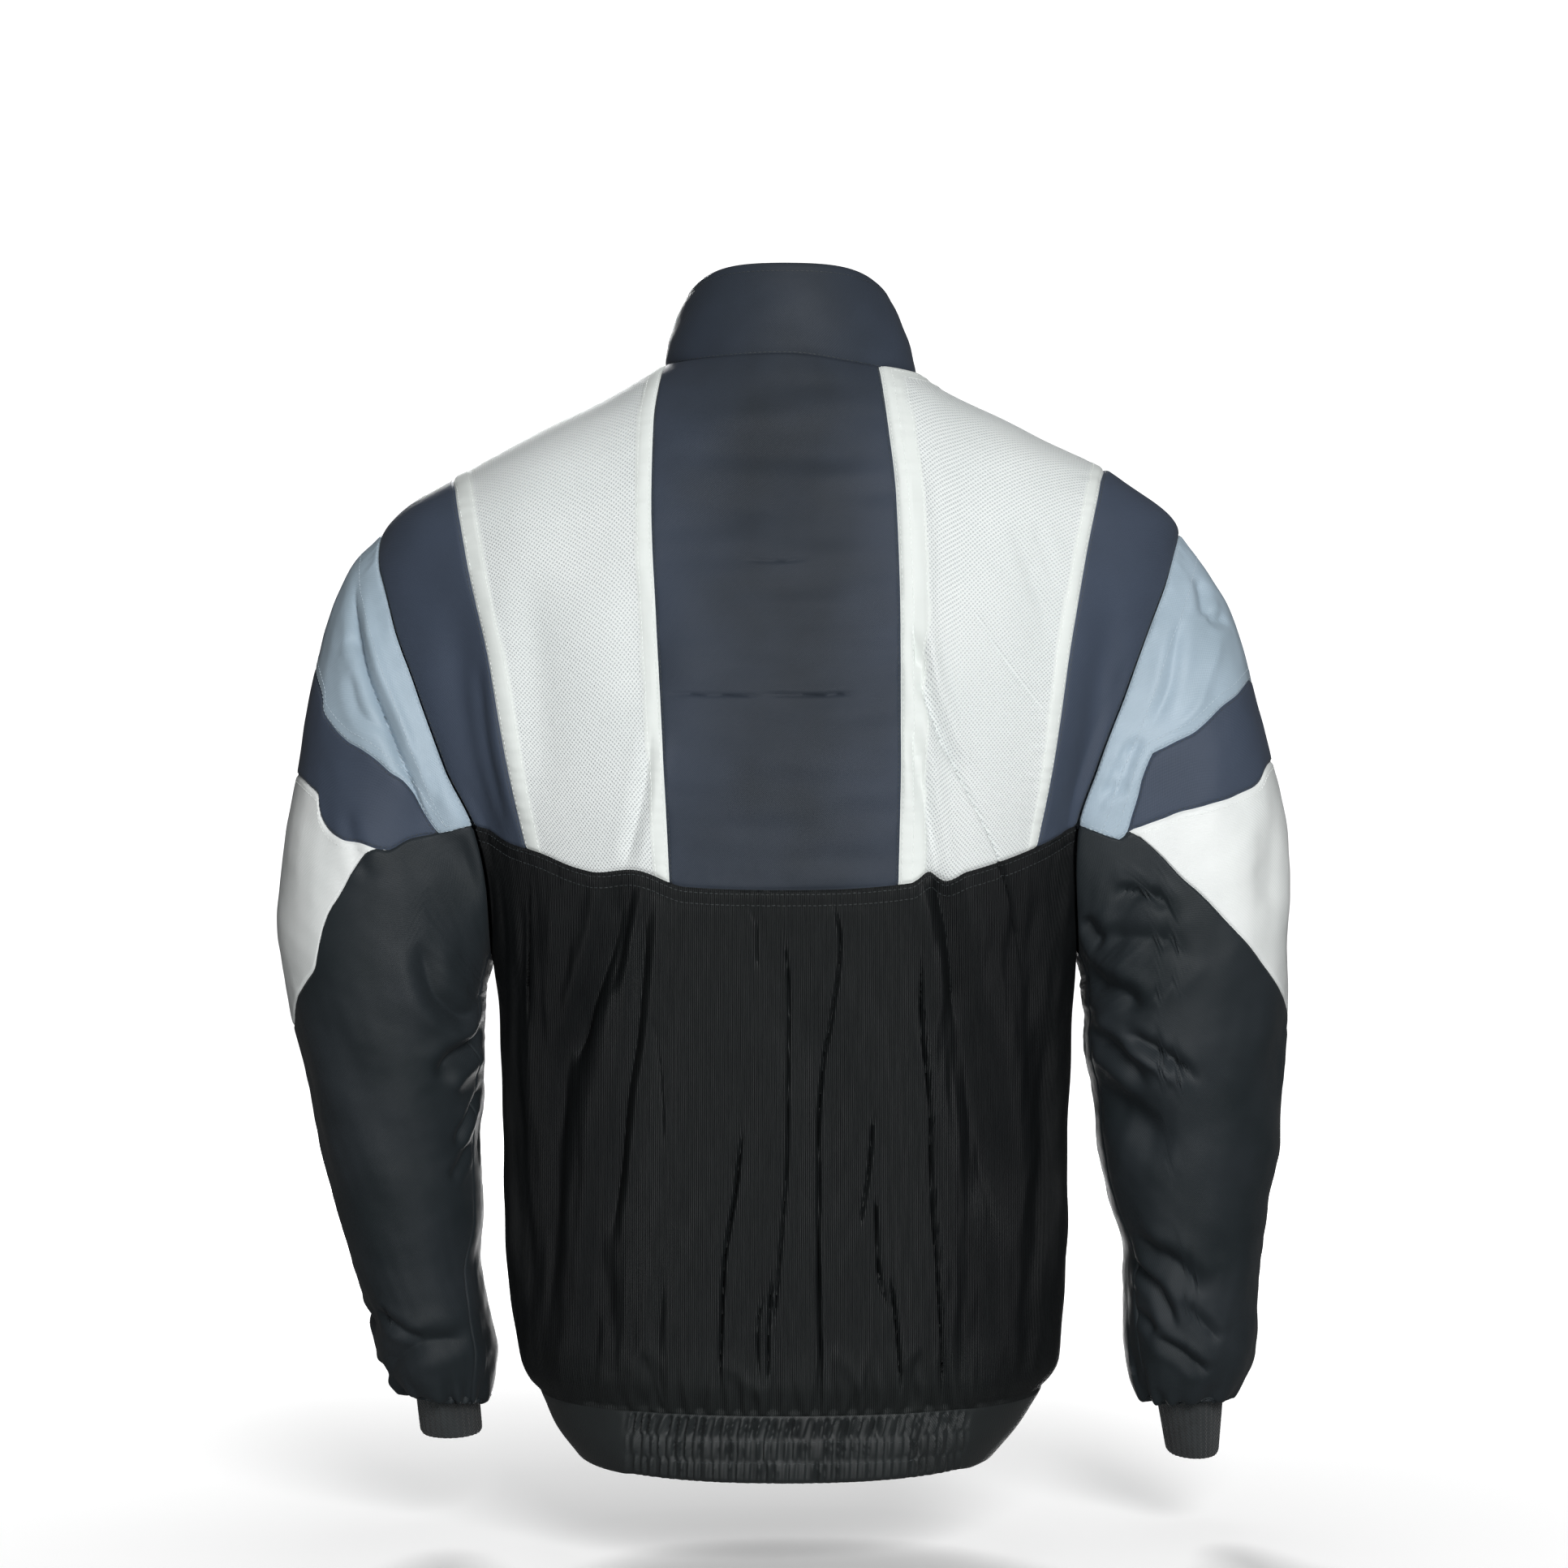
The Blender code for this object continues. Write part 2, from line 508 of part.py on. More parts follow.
def stretched(bottom, top, first, last, pull=1):
    """Points between four lines: bottom and top run across, first and last run from bottom to top.

    pull says how close to its edge an end line's bend stays: 1 spreads it over the whole sheet.
    """
    across = np.linspace(0, 1, len(bottom))[None, :, None]
    up = (lengthwise(first) + lengthwise(last))[:, None, None] / 2
    grid = (1 - up) * bottom + up * top
    from_first = first[:, None] - (1 - up) * bottom[0] - up * top[0]
    from_last = last[:, None] - (1 - up) * bottom[-1] - up * top[-1]
    grid = grid + (1 - across) ** pull * from_first + across**pull * from_last
    grid[1:-1, 1:-1] = onto_torso(grid[1:-1, 1:-1])
    return grid


def stacked(*grids):
    """Sheets that share a line, as one."""
    return np.concatenate([grids[0]] + [grid[1:] for grid in grids[1:]])


def trimmed(grid, outward, edges=("bottom", "top", "first", "last")):
    """Draws the edges of a sheet in by half the seam gap."""
    lines = {
        "bottom": ((0, slice(None)), (1, slice(None))),
        "top": ((-1, slice(None)), (-2, slice(None))),
        "first": ((slice(None), 0), (slice(None), 1)),
        "last": ((slice(None), -1), (slice(None), -2)),
    }
    moved = grid.copy()
    for edge in edges:
        border, inside = lines[edge]
        sideways = np.cross(outward[border], np.gradient(grid[border], axis=0))
        sideways /= np.linalg.norm(sideways, axis=-1, keepdims=True)
        towards = np.sign((sideways * (grid[inside] - grid[border])).sum(-1, keepdims=True))
        moved[border] = moved[border] + towards * sideways * SEAM_GAP / 2
    return moved


def facing(grid, outward, around=False):
    """Each point's own outward direction: the form's at an edge, the folded sheet's inside."""
    across = np.gradient(grid, axis=1)
    if around:
        across[:, 0] = across[:, -1] = grid[:, 1] - grid[:, -2]
    along = np.gradient(grid, axis=0)
    normal = np.cross(across, along)
    normal *= np.sign((normal * outward).sum(-1, keepdims=True))
    normal /= np.maximum(np.linalg.norm(normal, axis=-1, keepdims=True), 1e-12)
    result = outward.copy()
    inside = (slice(1, -1), slice(None) if around else slice(1, -1))
    result[inside] = normal[inside] + WALL_LEAN * outward[inside]
    return result / np.linalg.norm(result, axis=-1, keepdims=True)


def trough(points, path, width, depth):
    """How deep a fold presses in at these points. It runs along path and fades at both ends."""
    path = np.asarray(path, float)
    near = np.full(points.shape[:-1], np.inf)
    along = np.zeros(points.shape[:-1])
    reach = lengthwise(path)
    for k in range(len(path) - 1):
        run = path[k + 1] - path[k]
        share = np.clip(((points - path[k]) * run).sum(-1) / (run**2).sum(), 0, 1)
        distance = np.linalg.norm(points - path[k] - share[..., None] * run, axis=-1)
        closer = distance < near
        near = np.where(closer, distance, near)
        along = np.where(closer, reach[k] + share * (reach[k + 1] - reach[k]), along)
    fade = ease(along / FOLD_FADE) * ease((1 - along) / FOLD_FADE)
    return depth * np.exp(-((near / width) ** 2)) * fade


def bent(first, middle, last, count=9):
    """Points along a curve through three points, halfway along at the middle one."""
    share = np.linspace(0, 1, count)[:, None]
    first, middle, last = (np.asarray(point, float) for point in (first, middle, last))
    pull = 2 * middle - (first + last) / 2
    return (1 - share) ** 2 * first + 2 * share * (1 - share) * pull + share**2 * last


# ---------------------------------------------------------------- solids


def cloth(name, outer, inner, colour, around=False):
    """A closed wall of cloth between two grids of points. Points that coincide become one."""
    rows, columns = outer.shape[:2]
    places, points = {}, []

    def index(point):
        key = tuple(np.round(point, 7))
        if key not in places:
            places[key] = len(points)
            points.append(tuple(map(float, point)))
        return places[key]

    out = [[index(outer[i, j]) for j in range(columns)] for i in range(rows)]
    back = [[index(inner[i, j]) for j in range(columns)] for i in range(rows)]
    if around:
        for i in range(rows):
            out[i][-1] = out[i][0]
            back[i][-1] = back[i][0]
    faces = []
    for i in range(rows - 1):
        for j in range(columns - 1):
            faces.append((out[i][j], out[i][j + 1], out[i + 1][j + 1], out[i + 1][j]))
            faces.append((back[i][j], back[i + 1][j], back[i + 1][j + 1], back[i][j + 1]))
    for i, step in ((0, 1), (rows - 1, -1)):
        for j in range(columns - 1):
            wall = (out[i][j], back[i][j], back[i][j + 1], out[i][j + 1])
            faces.append(wall[::step])
    if not around:
        for j, step in ((0, -1), (columns - 1, 1)):
            for i in range(rows - 1):
                wall = (out[i][j], back[i][j], back[i + 1][j], out[i + 1][j])
                faces.append(wall[::step])
    mesh = bpy.data.meshes.new(name)
    corners = [tuple(dict.fromkeys(face)) for face in faces]
    mesh.from_pydata(points, [], [face for face in corners if len(face) > 2])
    model = bmesh.new()
    model.from_mesh(mesh)
    loose = [vertex for vertex in model.verts if not vertex.link_faces]
    bmesh.ops.delete(model, geom=loose, context="VERTS")
    bmesh.ops.recalc_face_normals(model, faces=model.faces)
    model.to_mesh(mesh)
    model.free()
    return add_object(name, mesh, colour)


def add_object(name, mesh, colour):
    thing = bpy.data.objects.new(name, mesh)
    garment.objects.link(thing)
    mesh.materials.append(material(colour))
    return thing


def material(colour):
    if colour in bpy.data.materials:
        return bpy.data.materials[colour]
    result = bpy.data.materials.new(colour)
    result.use_nodes = True
    shader = result.node_tree.nodes["Principled BSDF"]
    shader.inputs["Base Color"].default_value = (*COLOURS[colour], 1)
    shader.inputs["Roughness"].default_value = 0.35 if colour == "metal" else 0.72
    shader.inputs["Metallic"].default_value = 0.9 if colour == "metal" else 0.0
    return result


def panel(name, grid, colour, thickness=CLOTH, presses=None):
    """A panel of the body as a wall under a grid of points on the torso."""
    outward = torso_outward(grid)
    outer = trimmed(grid, outward)
    if presses is not None:
        outer = outer - presses[..., None] * outward
    return cloth(name, outer, outer - thickness * facing(outer, outward), colour)


# ---------------------------------------------------------------- the body's panels


def gather_wave(x, z):
    """Soft waves over the elastic, fading up the panel."""
    reach = ease((HEM_TOP + HEM_GATHER_RISE - z) / HEM_GATHER_RISE)
    inside = ease((ELASTIC_HALF_WIDTH + HEM_GATHER_FADE - np.abs(x)) / (2 * HEM_GATHER_FADE))
    turns = HEM_GATHERS * x / (2 * ELASTIC_HALF_WIDTH)
    return HEM_GATHER_DEPTH * reach * inside * (0.5 - 0.5 * np.cos(2 * np.pi * turns))


def side_line(side, height, angle):
    """The side seam from this height to the underarm, and on up the armhole to this angle."""
    heights = np.linspace(height, UNDERARM, UNDERARM_ROWS + 1)[:-1]
    seam = np.stack([side_sign(side) * torso_size(side, heights), 0 * heights, heights], axis=1)
    return np.concatenate([seam, armhole_points(side, math.copysign(180, angle), angle)])


def lower_back():
    columns = 2 * sum(YOKE_COLUMNS)
    rings = [ring(height, -90, 90, columns) for height in BACK_HEIGHTS]
    yoke = yoke_line()
    top = np.stack([np.interp(np.linspace(0, 1, columns + 1), np.linspace(0, 1, len(yoke)), yoke[:, k])
                    for k in range(3)], axis=1)
    upper = stretched(
        rings[-1],
        top,
        side_line("right", BACK_HEIGHTS[-1], YOKE_ANGLE),
        side_line("left", BACK_HEIGHTS[-1], YOKE_ANGLE),
        pull=3,
    )
    grid = stacked(np.stack(rings), upper)
    presses = gather_wave(grid[..., 0], grid[..., 2])
    for *stops, width, depth in BACK_FOLDS:
        line = bent(*stops)
        presses = presses + trough(grid, at_depth(line[:, 0], line[:, 1], 1), width, depth)
    below_yoke = np.interp(grid[..., 0], yoke[:, 0], yoke[:, 2]) - grid[..., 2]
    panel("back_lower_panel", grid, "black", presses=presses * ease(below_yoke / YOKE_FADE))


def upper_back():
    yoke = yoke_line()
    stops = np.concatenate([[0], np.cumsum(YOKE_COLUMNS)])
    rows = len(armhole_points("left", YOKE_ANGLE, SHOULDER_SEAM_ANGLE)) - 1
    parts = {"right": (0, 1), "left": (4, 3)}
    inner_edges = {}
    for side, (outside, mesh) in parts.items():
        seam = shoulder_line(side)
        to_shoulder, _ = neck_turns(side)
        neck = neckline(to_shoulder)
        corner = stops[1] if side == "right" else stops[4]
        inner_corner = stops[2] if side == "right" else stops[3]
        outer_edge = block_edge(side, "outer", yoke[corner], seam[SHOULDER_COLUMNS[0]], rows)
        inner_rows = rows - NECK_COLUMNS[0]
        inner_edge = block_edge(side, "inner", yoke[inner_corner], neck[0], inner_rows)
        inner_edges[side] = inner_edge
        outside_yoke = yoke[stops[outside]:stops[outside + 1] + 1]
        mesh_yoke = yoke[stops[mesh]:stops[mesh + 1] + 1]
        if side == "right":
            outside_yoke, mesh_yoke = outside_yoke[::-1], mesh_yoke[::-1]
        grid = stretched(
            outside_yoke,
            seam[SHOULDER_COLUMNS[0]:],
            outer_edge,
            armhole_points(side, YOKE_ANGLE, SHOULDER_SEAM_ANGLE),
        )
        panel(f"back_side_panel_{side}", grid, "charcoal")
        grid = stretched(
            mesh_yoke,
            seam[:SHOULDER_COLUMNS[0] + 1],
            np.concatenate([inner_edge, neck[1:]]),
            outer_edge,
        )
        panel(f"back_mesh_panel_{side}", grid, "white")
    turns = np.linspace(-NECK_BLOCK_TURN["right"], NECK_BLOCK_TURN["left"], YOKE_COLUMNS[2] + 1)
    grid = stretched(
        yoke[stops[2]:stops[3] + 1], neckline(turns), inner_edges["right"], inner_edges["left"]
    )
    panel("back_centre_panel", grid, "charcoal")


def zip_heights(side):
    """Heights of the front's points along the zip, hem seam to neck seam."""
    rows = len(side_line(side, FRONT_HEIGHTS[-1], SHOULDER_SEAM_ANGLE)) - 1
    upper = np.linspace(FRONT_HEIGHTS[-1], neckline(side_sign(side) * zip_turn(side))[2], rows + 1)
    return np.concatenate([FRONT_HEIGHTS, upper[1:]])


def front(side):
    columns = sum(SHOULDER_COLUMNS) + NECK_COLUMNS[1]
    rings = [front_ring(side, height, columns) for height in FRONT_HEIGHTS]
    _, to_zip = neck_turns(side)
    top = np.concatenate([shoulder_line(side)[::-1], neckline(to_zip)[1:]])
    heights = zip_heights(side)[len(FRONT_HEIGHTS) - 1:]
    edge = at_depth(side_sign(side) * ZIP_HALF_GAP, heights, -1)
    edge[-1] = top[-1]
    armhole_side = side_line(side, FRONT_HEIGHTS[-1], SHOULDER_SEAM_ANGLE)
    upper = stretched(rings[-1], top, armhole_side, edge, pull=1.3)
    panel(f"front_{side}", stacked(np.stack(rings), upper), "black")


def band_wave(x, row_share):
    """Shirring of the elastic: ridges between the stitch rows."""
    inside = ease((ELASTIC_HALF_WIDTH - np.abs(x)) / BAND_GATHER_FADE)
    turns = BAND_WAVES * x / (2 * ELASTIC_HALF_WIDTH)
    off_rows = np.abs(np.sin(BAND_STITCH_ROWS * np.pi * row_share))
    reach = BAND_ROW_WAVE + (1 - BAND_ROW_WAVE) * off_rows
    return BAND_GATHER_DEPTH * inside * reach * (0.5 - 0.5 * np.cos(2 * np.pi * turns))


def hem_band():
    columns = 2 * sum(YOKE_COLUMNS)
    back = np.stack([ring(height, -90, 90, columns) for height in BAND_HEIGHTS[::-1]])
    share = np.linspace(1, 0, len(BAND_HEIGHTS))[:, None]
    outward = torso_outward(back)
    inner_form = trimmed(back, outward)
    outer = inner_form - band_wave(back[..., 0], share)[..., None] * outward
    cloth("hem_band_back", outer, inner_form - BAND_CLOTH * outward, "band")
    columns = sum(SHOULDER_COLUMNS) + NECK_COLUMNS[1]
    for side in ("left", "right"):
        grid = np.stack([front_ring(side, height, columns) for height in BAND_HEIGHTS[::-2]])
        panel(f"hem_band_front_{side}", grid, "band", BAND_CLOTH)


# ---------------------------------------------------------------- the collar


def collar_points(turn, rise):
    """The collar's outer face: turn round the neck in degrees, rise 0 at the seam and 1 at the rim."""
    turn, rise = np.broadcast_arrays(np.asarray(turn, float), np.asarray(rise, float))
    base = neckline(turn)
    angle = np.radians(turn)
    back, sides, at_zip = COLLAR_RIM_HEIGHT
    to_front = (1 - np.cos(angle)) / 2
    height = np.where(
        to_front < 0.5,
        back + (sides - back) * ease(2 * to_front),
        sides + (at_zip - sides) * ease(to_front * 2 - 1),
    )
    width = np.where(turn > 0, COLLAR_RIM_HALF_WIDTH["left"], COLLAR_RIM_HALF_WIDTH["right"])
    depth = np.where(np.cos(angle) > 0, COLLAR_RIM_DEPTH["back"], COLLAR_RIM_DEPTH["front"])
    x = width * np.sin(angle)
    first, last = COLLAR_ZIP_TURN
    near_zip = ease((np.abs(turn) - first) / (last - first))
    x = x + near_zip * (base[..., 0] - x)
    rim = np.stack([x, depth * np.cos(angle), height], axis=-1)
    out = np.stack([np.sin(angle), np.cos(angle), 0 * angle], axis=-1)
    out = out * (1 - near_zip)[..., None] - np.array([0, 1, 0]) * near_zip[..., None]
    belly = COLLAR_BELLY * np.sin(np.pi * rise)
    return base + (rim - base) * rise[..., None] + belly[..., None] * out


def collar_outward(turn, rise):
    """The collar's outward direction, measured over a small step each way."""
    step_turn, step_rise = 0.5, 0.01
    across = collar_points(turn + step_turn, rise) - collar_points(turn - step_turn, rise)
    up = collar_points(turn, rise + step_rise) - collar_points(turn, rise - step_rise)
    outward = np.cross(up, across)
    return outward / np.linalg.norm(outward, axis=-1, keepdims=True)


def collar_turns():
    right_side, right_zip = neck_turns("right")
    left_side, left_zip = neck_turns("left")
    centre = np.linspace(-NECK_BLOCK_TURN["right"], NECK_BLOCK_TURN["left"], YOKE_COLUMNS[2] + 1)
    return np.concatenate([
        right_zip[::-1], right_side[::-1][1:], centre[1:], left_side[1:], left_zip[1:]
    ])


def collar_grids(rises):
    """Points of the collar's outer face and the directions of its wall, at these rises."""
    turn, rise = np.meshgrid(collar_turns(), rises)
    grid = collar_points(turn, rise)
    outward = collar_outward(turn, rise)
    at_seam = torso_outward(collar_points(turn[0], 0 * turn[0]))
    lean = ease(rise / COLLAR_LEAN)[..., None]
    direction = outward * lean + at_seam[None] * (1 - lean)
    direction /= np.linalg.norm(direction, axis=-1, keepdims=True)
    return grid + SEAM_GAP * (1 - lean) * at_seam, outward, direction


def collar():
    grid, outward, direction = collar_grids(np.linspace(0, 1, COLLAR_ROWS + 1))
    outer = trimmed(grid, outward)
    cloth("collar", outer, outer - COLLAR_CLOTH * direction, "charcoal")


# ---------------------------------------------------------------- the sleeves

LAST_ROW = len(SLEEVES["left"]) - 1


def section_points(side, turn, row):
    rows = np.arange(LAST_ROW + 1.0)
    value = {
        name: smooth_read(rows, column(SLEEVES[side], SLEEVE_COLUMNS, name), row)
        for name in SLEEVE_COLUMNS
    }
    cosine, sine = np.cos(turn), np.sin(turn)
    outwards = np.sign(cosine) * np.abs(cosine) ** (2 / SLEEVE_ROUND)
    backwards = np.sign(sine) * np.abs(sine) ** (2 / SLEEVE_ROUND)
    depth = np.where(sine > 0, value["back"], value["front"])
    x = (value["outer_x"] + value["inner_x"]) / 2 + (value["outer_x"] - value["inner_x"]) / 2 * outwards
    z = (value["outer_z"] + value["inner_z"]) / 2 + (value["outer_z"] - value["inner_z"]) / 2 * outwards
    return np.stack([side_sign(side) * x, value["middle_y"] + depth * backwards, z], axis=-1)


def sleeve_points(side, angle, row):
    """The sleeve's outer face. angle is 0 on the outer line, 90 at the back, 180 on the inner line."""
    angle, row = np.broadcast_arrays(np.asarray(angle, float), np.asarray(row, float))
    turn = np.radians(angle)
    from_armhole = armhole_curve(side, angle) - section_points(side, turn, np.zeros_like(row))
    share = 1 - ease(row / ARMHOLE_BLEND)
    return section_points(side, turn, row) + share[..., None] * from_armhole


def sleeve_outward(side, angle, row):
    angle, row = np.broadcast_arrays(np.asarray(angle, float), np.asarray(row, float))
    before, after = np.clip(row - 0.05, 0, LAST_ROW), np.clip(row + 0.05, 0, LAST_ROW)
    around = sleeve_points(side, angle + 1.0, row) - sleeve_points(side, angle - 1.0, row)
    along = sleeve_points(side, angle, after) - sleeve_points(side, angle, before)
    outward = -side_sign(side) * np.cross(around, along)
    return outward / np.linalg.norm(outward, axis=-1, keepdims=True)


def block_row(side, edge, angle):
    """The row of a colour block's lower edge at these angles; 0 beyond the blocks' end."""
    angles = column(SLEEVE_BLOCKS[side], SLEEVE_BLOCK_COLUMNS, "angle")
    rows = column(SLEEVE_BLOCKS[side], SLEEVE_BLOCK_COLUMNS, edge)
    angles = np.append(angles, YOKE_ANGLE)
    rows = np.append(rows, 0.0)
    return np.interp(np.abs(angle), angles, rows)


def sleeve_piece(side, name, colour, angles, first_row, last_row, rows, around=False, tips=False):
    """A piece of the sleeve between two edges, each given as rows of the table at the angles."""
    share = np.linspace(0, 1, rows + 1)[:, None]
    row = first_row[None] * (1 - share) + last_row[None] * share
    angle = np.broadcast_to(np.asarray(angles, float)[None], row.shape)
    grid = sleeve_points(side, angle, row)
    outward = sleeve_outward(side, angle, row)
    edges = ("bottom", "top") if around or tips else ("bottom", "top", "first", "last")
    outer = trimmed(grid, outward, edges)
    at_armhole = row < 1e-6
    start = grid[at_armhole]
    along = sleeve_points(side, angle, row + 0.1)[at_armhole] - start
    along /= np.linalg.norm(along, axis=-1, keepdims=True)
    body_out = torso_outward(start)
    outer[at_armhole] = start + SEAM_GAP * (along + body_out)
    rounds_over = (along * body_out).sum(-1, keepdims=True) < 0
    outward[at_armhole] = np.where(rounds_over, body_out, outward[at_armhole])
    for *stops, width, depth in SLEEVE_FOLDS[side]:
        line = bent(*stops)
        path = sleeve_points(side, line[:, 0], line[:, 1])
        outer = outer - trough(grid, path, width, depth)[..., None] * outward
    if around:
        outer[:, -1] = outer[:, 0]
    inner = outer - CLOTH * facing(outer, outward, around)
    if tips:
        for end, beside in ((0, 1), (-1, -2)):
            for face in (outer, inner):
                towards = face[:, beside].mean(axis=0) - face[:, end].mean(axis=0)
                towards *= POINT_SHORT / np.linalg.norm(towards)
                face[:, end] = face[:, end].mean(axis=0) + towards
    if around:
        inner[:, -1] = inner[:, 0]
    cloth(f"{name}_{side}", outer, inner, colour, around)


def angles_within(limit):
    return np.array([angle for angle in ARMHOLE_ANGLES if abs(angle) <= limit], float)


def sleeve(side):
    tip = WHITE_TIP[side]
    cap = angles_within(YOKE_ANGLE)
    zero = np.zeros_like(cap)
    sleeve_piece(side, "sleeve_blue_cap", "blue", cap, zero, block_row(side, "blue", cap),
                 SLEEVE_ROWS["blue"], tips=True)
    stripe = angles_within(BLOCK_TIP)
    sleeve_piece(side, "sleeve_dark_stripe", "charcoal", stripe, block_row(side, "blue", stripe),
                 block_row(side, "dark", stripe), SLEEVE_ROWS["dark"], tips=True)
    white = angles_within(tip)
    sleeve_piece(side, "sleeve_elbow_piece", "white", white, block_row(side, "dark", white),
                 block_row(side, "white", white), SLEEVE_ROWS["white"], tips=True)
    everywhere = np.array(ARMHOLE_ANGLES, float)
    start = np.where(
        np.abs(everywhere) < tip,
        block_row(side, "white", everywhere),
        block_row(side, "dark", everywhere),
    )
    sleeve_piece(side, "sleeve_lower", "black", everywhere, start, np.full_like(start, LAST_ROW),
                 SLEEVE_ROWS["lower"], around=True)


def cuff(side):
    """The ribbed cuff, hanging out of the sleeve's blousing."""
    outer_x, outer_z, inner_x, inner_z, depth, _, middle_y = SLEEVES[side][-1]
    low_outer, low_inner, low_height = CUFF_DROP[side]
    angle = np.radians(np.linspace(0, 360, 2 * CUFF_RIBS + 1))
    share = np.array([0.0, 0.5, 1.0])[:, None]
    top_height = (outer_z + inner_z) / 2 + (outer_z - inner_z) / 2 * np.cos(angle) - SEAM_GAP
    height = top_height + (low_height - top_height) * share
    outside = outer_x + (low_outer - outer_x) * share
    inside_x = inner_x + (low_inner - inner_x) * share
    middle = middle_y + (CUFF_MIDDLE_Y - middle_y) * share
    rib = CUFF_RIB_RISE * (np.arange(len(angle)) % 2)
    faces = []
    for inset in (CUFF_INSET + CUFF_RIB_RISE - rib, CUFF_INSET + BAND_CLOTH + 0 * rib):
        x = (outside + inside_x) / 2 + ((outside - inside_x) / 2 - inset) * np.cos(angle)
        y = middle + (depth - inset) * np.sin(angle)
        faces.append(np.stack([side_sign(side) * x, y, height], axis=-1))
    cloth(f"cuff_{side}", *faces, "charcoal", around=True)


# ---------------------------------------------------------------- the zip


def tape_points(side, x, heights, rises):
    """Rows of points over the zip's tape, hem to rim, and the directions of the walls there."""
    body = at_depth(side_sign(side) * x[None], heights[:, None], -1)
    collar_rises = np.linspace(0, 1, COLLAR_ROWS + 1)
    grid, _, direction = collar_grids(collar_rises)
    edge, beside = (-1, -2) if side == "left" else (0, 1)
    start, end = np.abs(grid[:, edge, 0]), np.abs(grid[:, beside, 0])
    share = ((x[None] - start[:, None]) / (end - start)[:, None])[..., None]
    upper = [
        face[:, edge, None] + share * (face[:, beside] - face[:, edge])[:, None]
        for face in (grid, direction)
    ]
    upper = [
        np.stack([[np.interp(rises, collar_rises, face[:, i, k]) for k in range(3)]
                  for i in range(len(x))]).transpose(2, 0, 1)
        for face in upper
    ]
    return np.concatenate([body, upper[0]]), np.concatenate([torso_outward(body), upper[1]])


def zip_tape(side):
    x = np.array(TAPE_COLUMNS)
    along_front = zip_heights(side)
    band = np.array(BAND_HEIGHTS[::-2][:-1])
    at_hem = HEM_TOP + np.array(TAPE_HEM_ROWS)
    heights = np.concatenate([band, at_hem, along_front[1:-1], [along_front[-1] + TAPE_NECK_ROW]])
    rises = np.array(TAPE_RISES)
    grid, outward = tape_points(side, x, heights, rises)
    lay = np.concatenate([
        np.where(heights < HEM_TOP, BAND_CLOTH, CLOTH),
        np.full(len(rises), COLLAR_CLOTH),
    ])
    lay[len(heights) - 1] = COLLAR_CLOTH
    lay[len(band) + 1] = BAND_CLOTH
    outer = grid - (lay + TAPE_SINK)[:, None, None] * outward
    cloth(f"zip_tape_{side}", outer, outer - TAPE_CLOTH * outward, "band")


def box(size, place, bevel=0.0):
    bpy.ops.mesh.primitive_cube_add(size=1, location=place)
    thing = bpy.context.active_object
    thing.scale = size
    bpy.ops.object.transform_apply(location=False, rotation=False, scale=True)
    if bevel:
        soften = thing.modifiers.new("soft edges", "BEVEL")
        soften.width = bevel
        soften.segments = 2
    return thing


def combine(thing, other, operation):
    change = thing.modifiers.new(operation.lower(), "BOOLEAN")
    change.object = other
    change.operation = operation
    change.solver = "EXACT"
    cutters.objects.link(other)
    for owner in other.users_collection:
        if owner is not cutters:
            owner.objects.unlink(other)
    other.hide_render = True
    other.display_type = "WIRE"


def settle(thing, name, colour):
    """Names a hard piece and moves it into the garment's collection."""
    thing.name = name
    thing.data.name = name
    thing.data.materials.append(material(colour))
    for owner in thing.users_collection:
        owner.objects.unlink(thing)
    garment.objects.link(thing)


def slider_frame():
    """An empty on the zip at the slider's height, with its Y axis into the garment."""
    point = at_depth(0.0, SLIDER_HEIGHT, -1)
    outward = torso_outward(point)
    frame = bpy.data.objects.new("slider_place", None)
    frame.location = point
    frame.rotation_euler = (-math.atan2(outward[2], -outward[1]), 0, 0)
    garment.objects.link(frame)
    return frame


def slider_and_tab():
    frame = slider_frame()
    back_face = CLOTH - SLIDER_LIFT
    middle = back_face - SLIDER_SIZE[1] / 2
    front_face = back_face - SLIDER_SIZE[1]
    body = box(SLIDER_SIZE, (0, middle, 0), SLIDER_BEVEL)
    bail = box(BAIL_SIZE, (0, front_face - BAIL_SIZE[1] / 2 + BAIL_SINK, BAIL_RISE), BAIL_BEVEL)
    hole = box(
        (3 * BAIL_SIZE[0], BAIL_HOLE[0], BAIL_HOLE[1]),
        (0, front_face - BAIL_HOLE[0] / 2, BAIL_RISE),
    )
    combine(bail, hole, "DIFFERENCE")
    combine(body, bail, "UNION")
    settle(body, "zip_slider", "metal")
    body.parent = frame
    hinge = bpy.data.objects.new("tab_hinge", None)
    hinge.location = (0, front_face - BAIL_HOLE[0] / 2, HINGE_RISE)
    hinge.parent = frame
    garment.objects.link(hinge)
    tab = box(TAB_SIZE, (0, 0, TAB_SIZE[1] / 2 - TAB_SIZE[2] / 2), TAB_BEVEL)
    eye = box(
        (TAB_EYE[0], 3 * TAB_SIZE[1], TAB_EYE[1]),
        (0, 0, -TAB_SIZE[1] / 2 - TAB_EYE[1] / 2),
    )
    combine(tab, eye, "DIFFERENCE")
    settle(tab, "zip_pull_tab", "metal")
    tab.parent = hinge
    for cutter in (bail, hole):
        cutter.parent = frame
    eye.parent = hinge


# ---------------------------------------------------------------- the whole garment

for thing in list(bpy.data.objects):
    bpy.data.objects.remove(thing, do_unlink=True)
garment = bpy.data.collections.new("windbreaker")
cutters = bpy.data.collections.new("cutters")
for collection in (garment, cutters):
    bpy.context.scene.collection.children.link(collection)

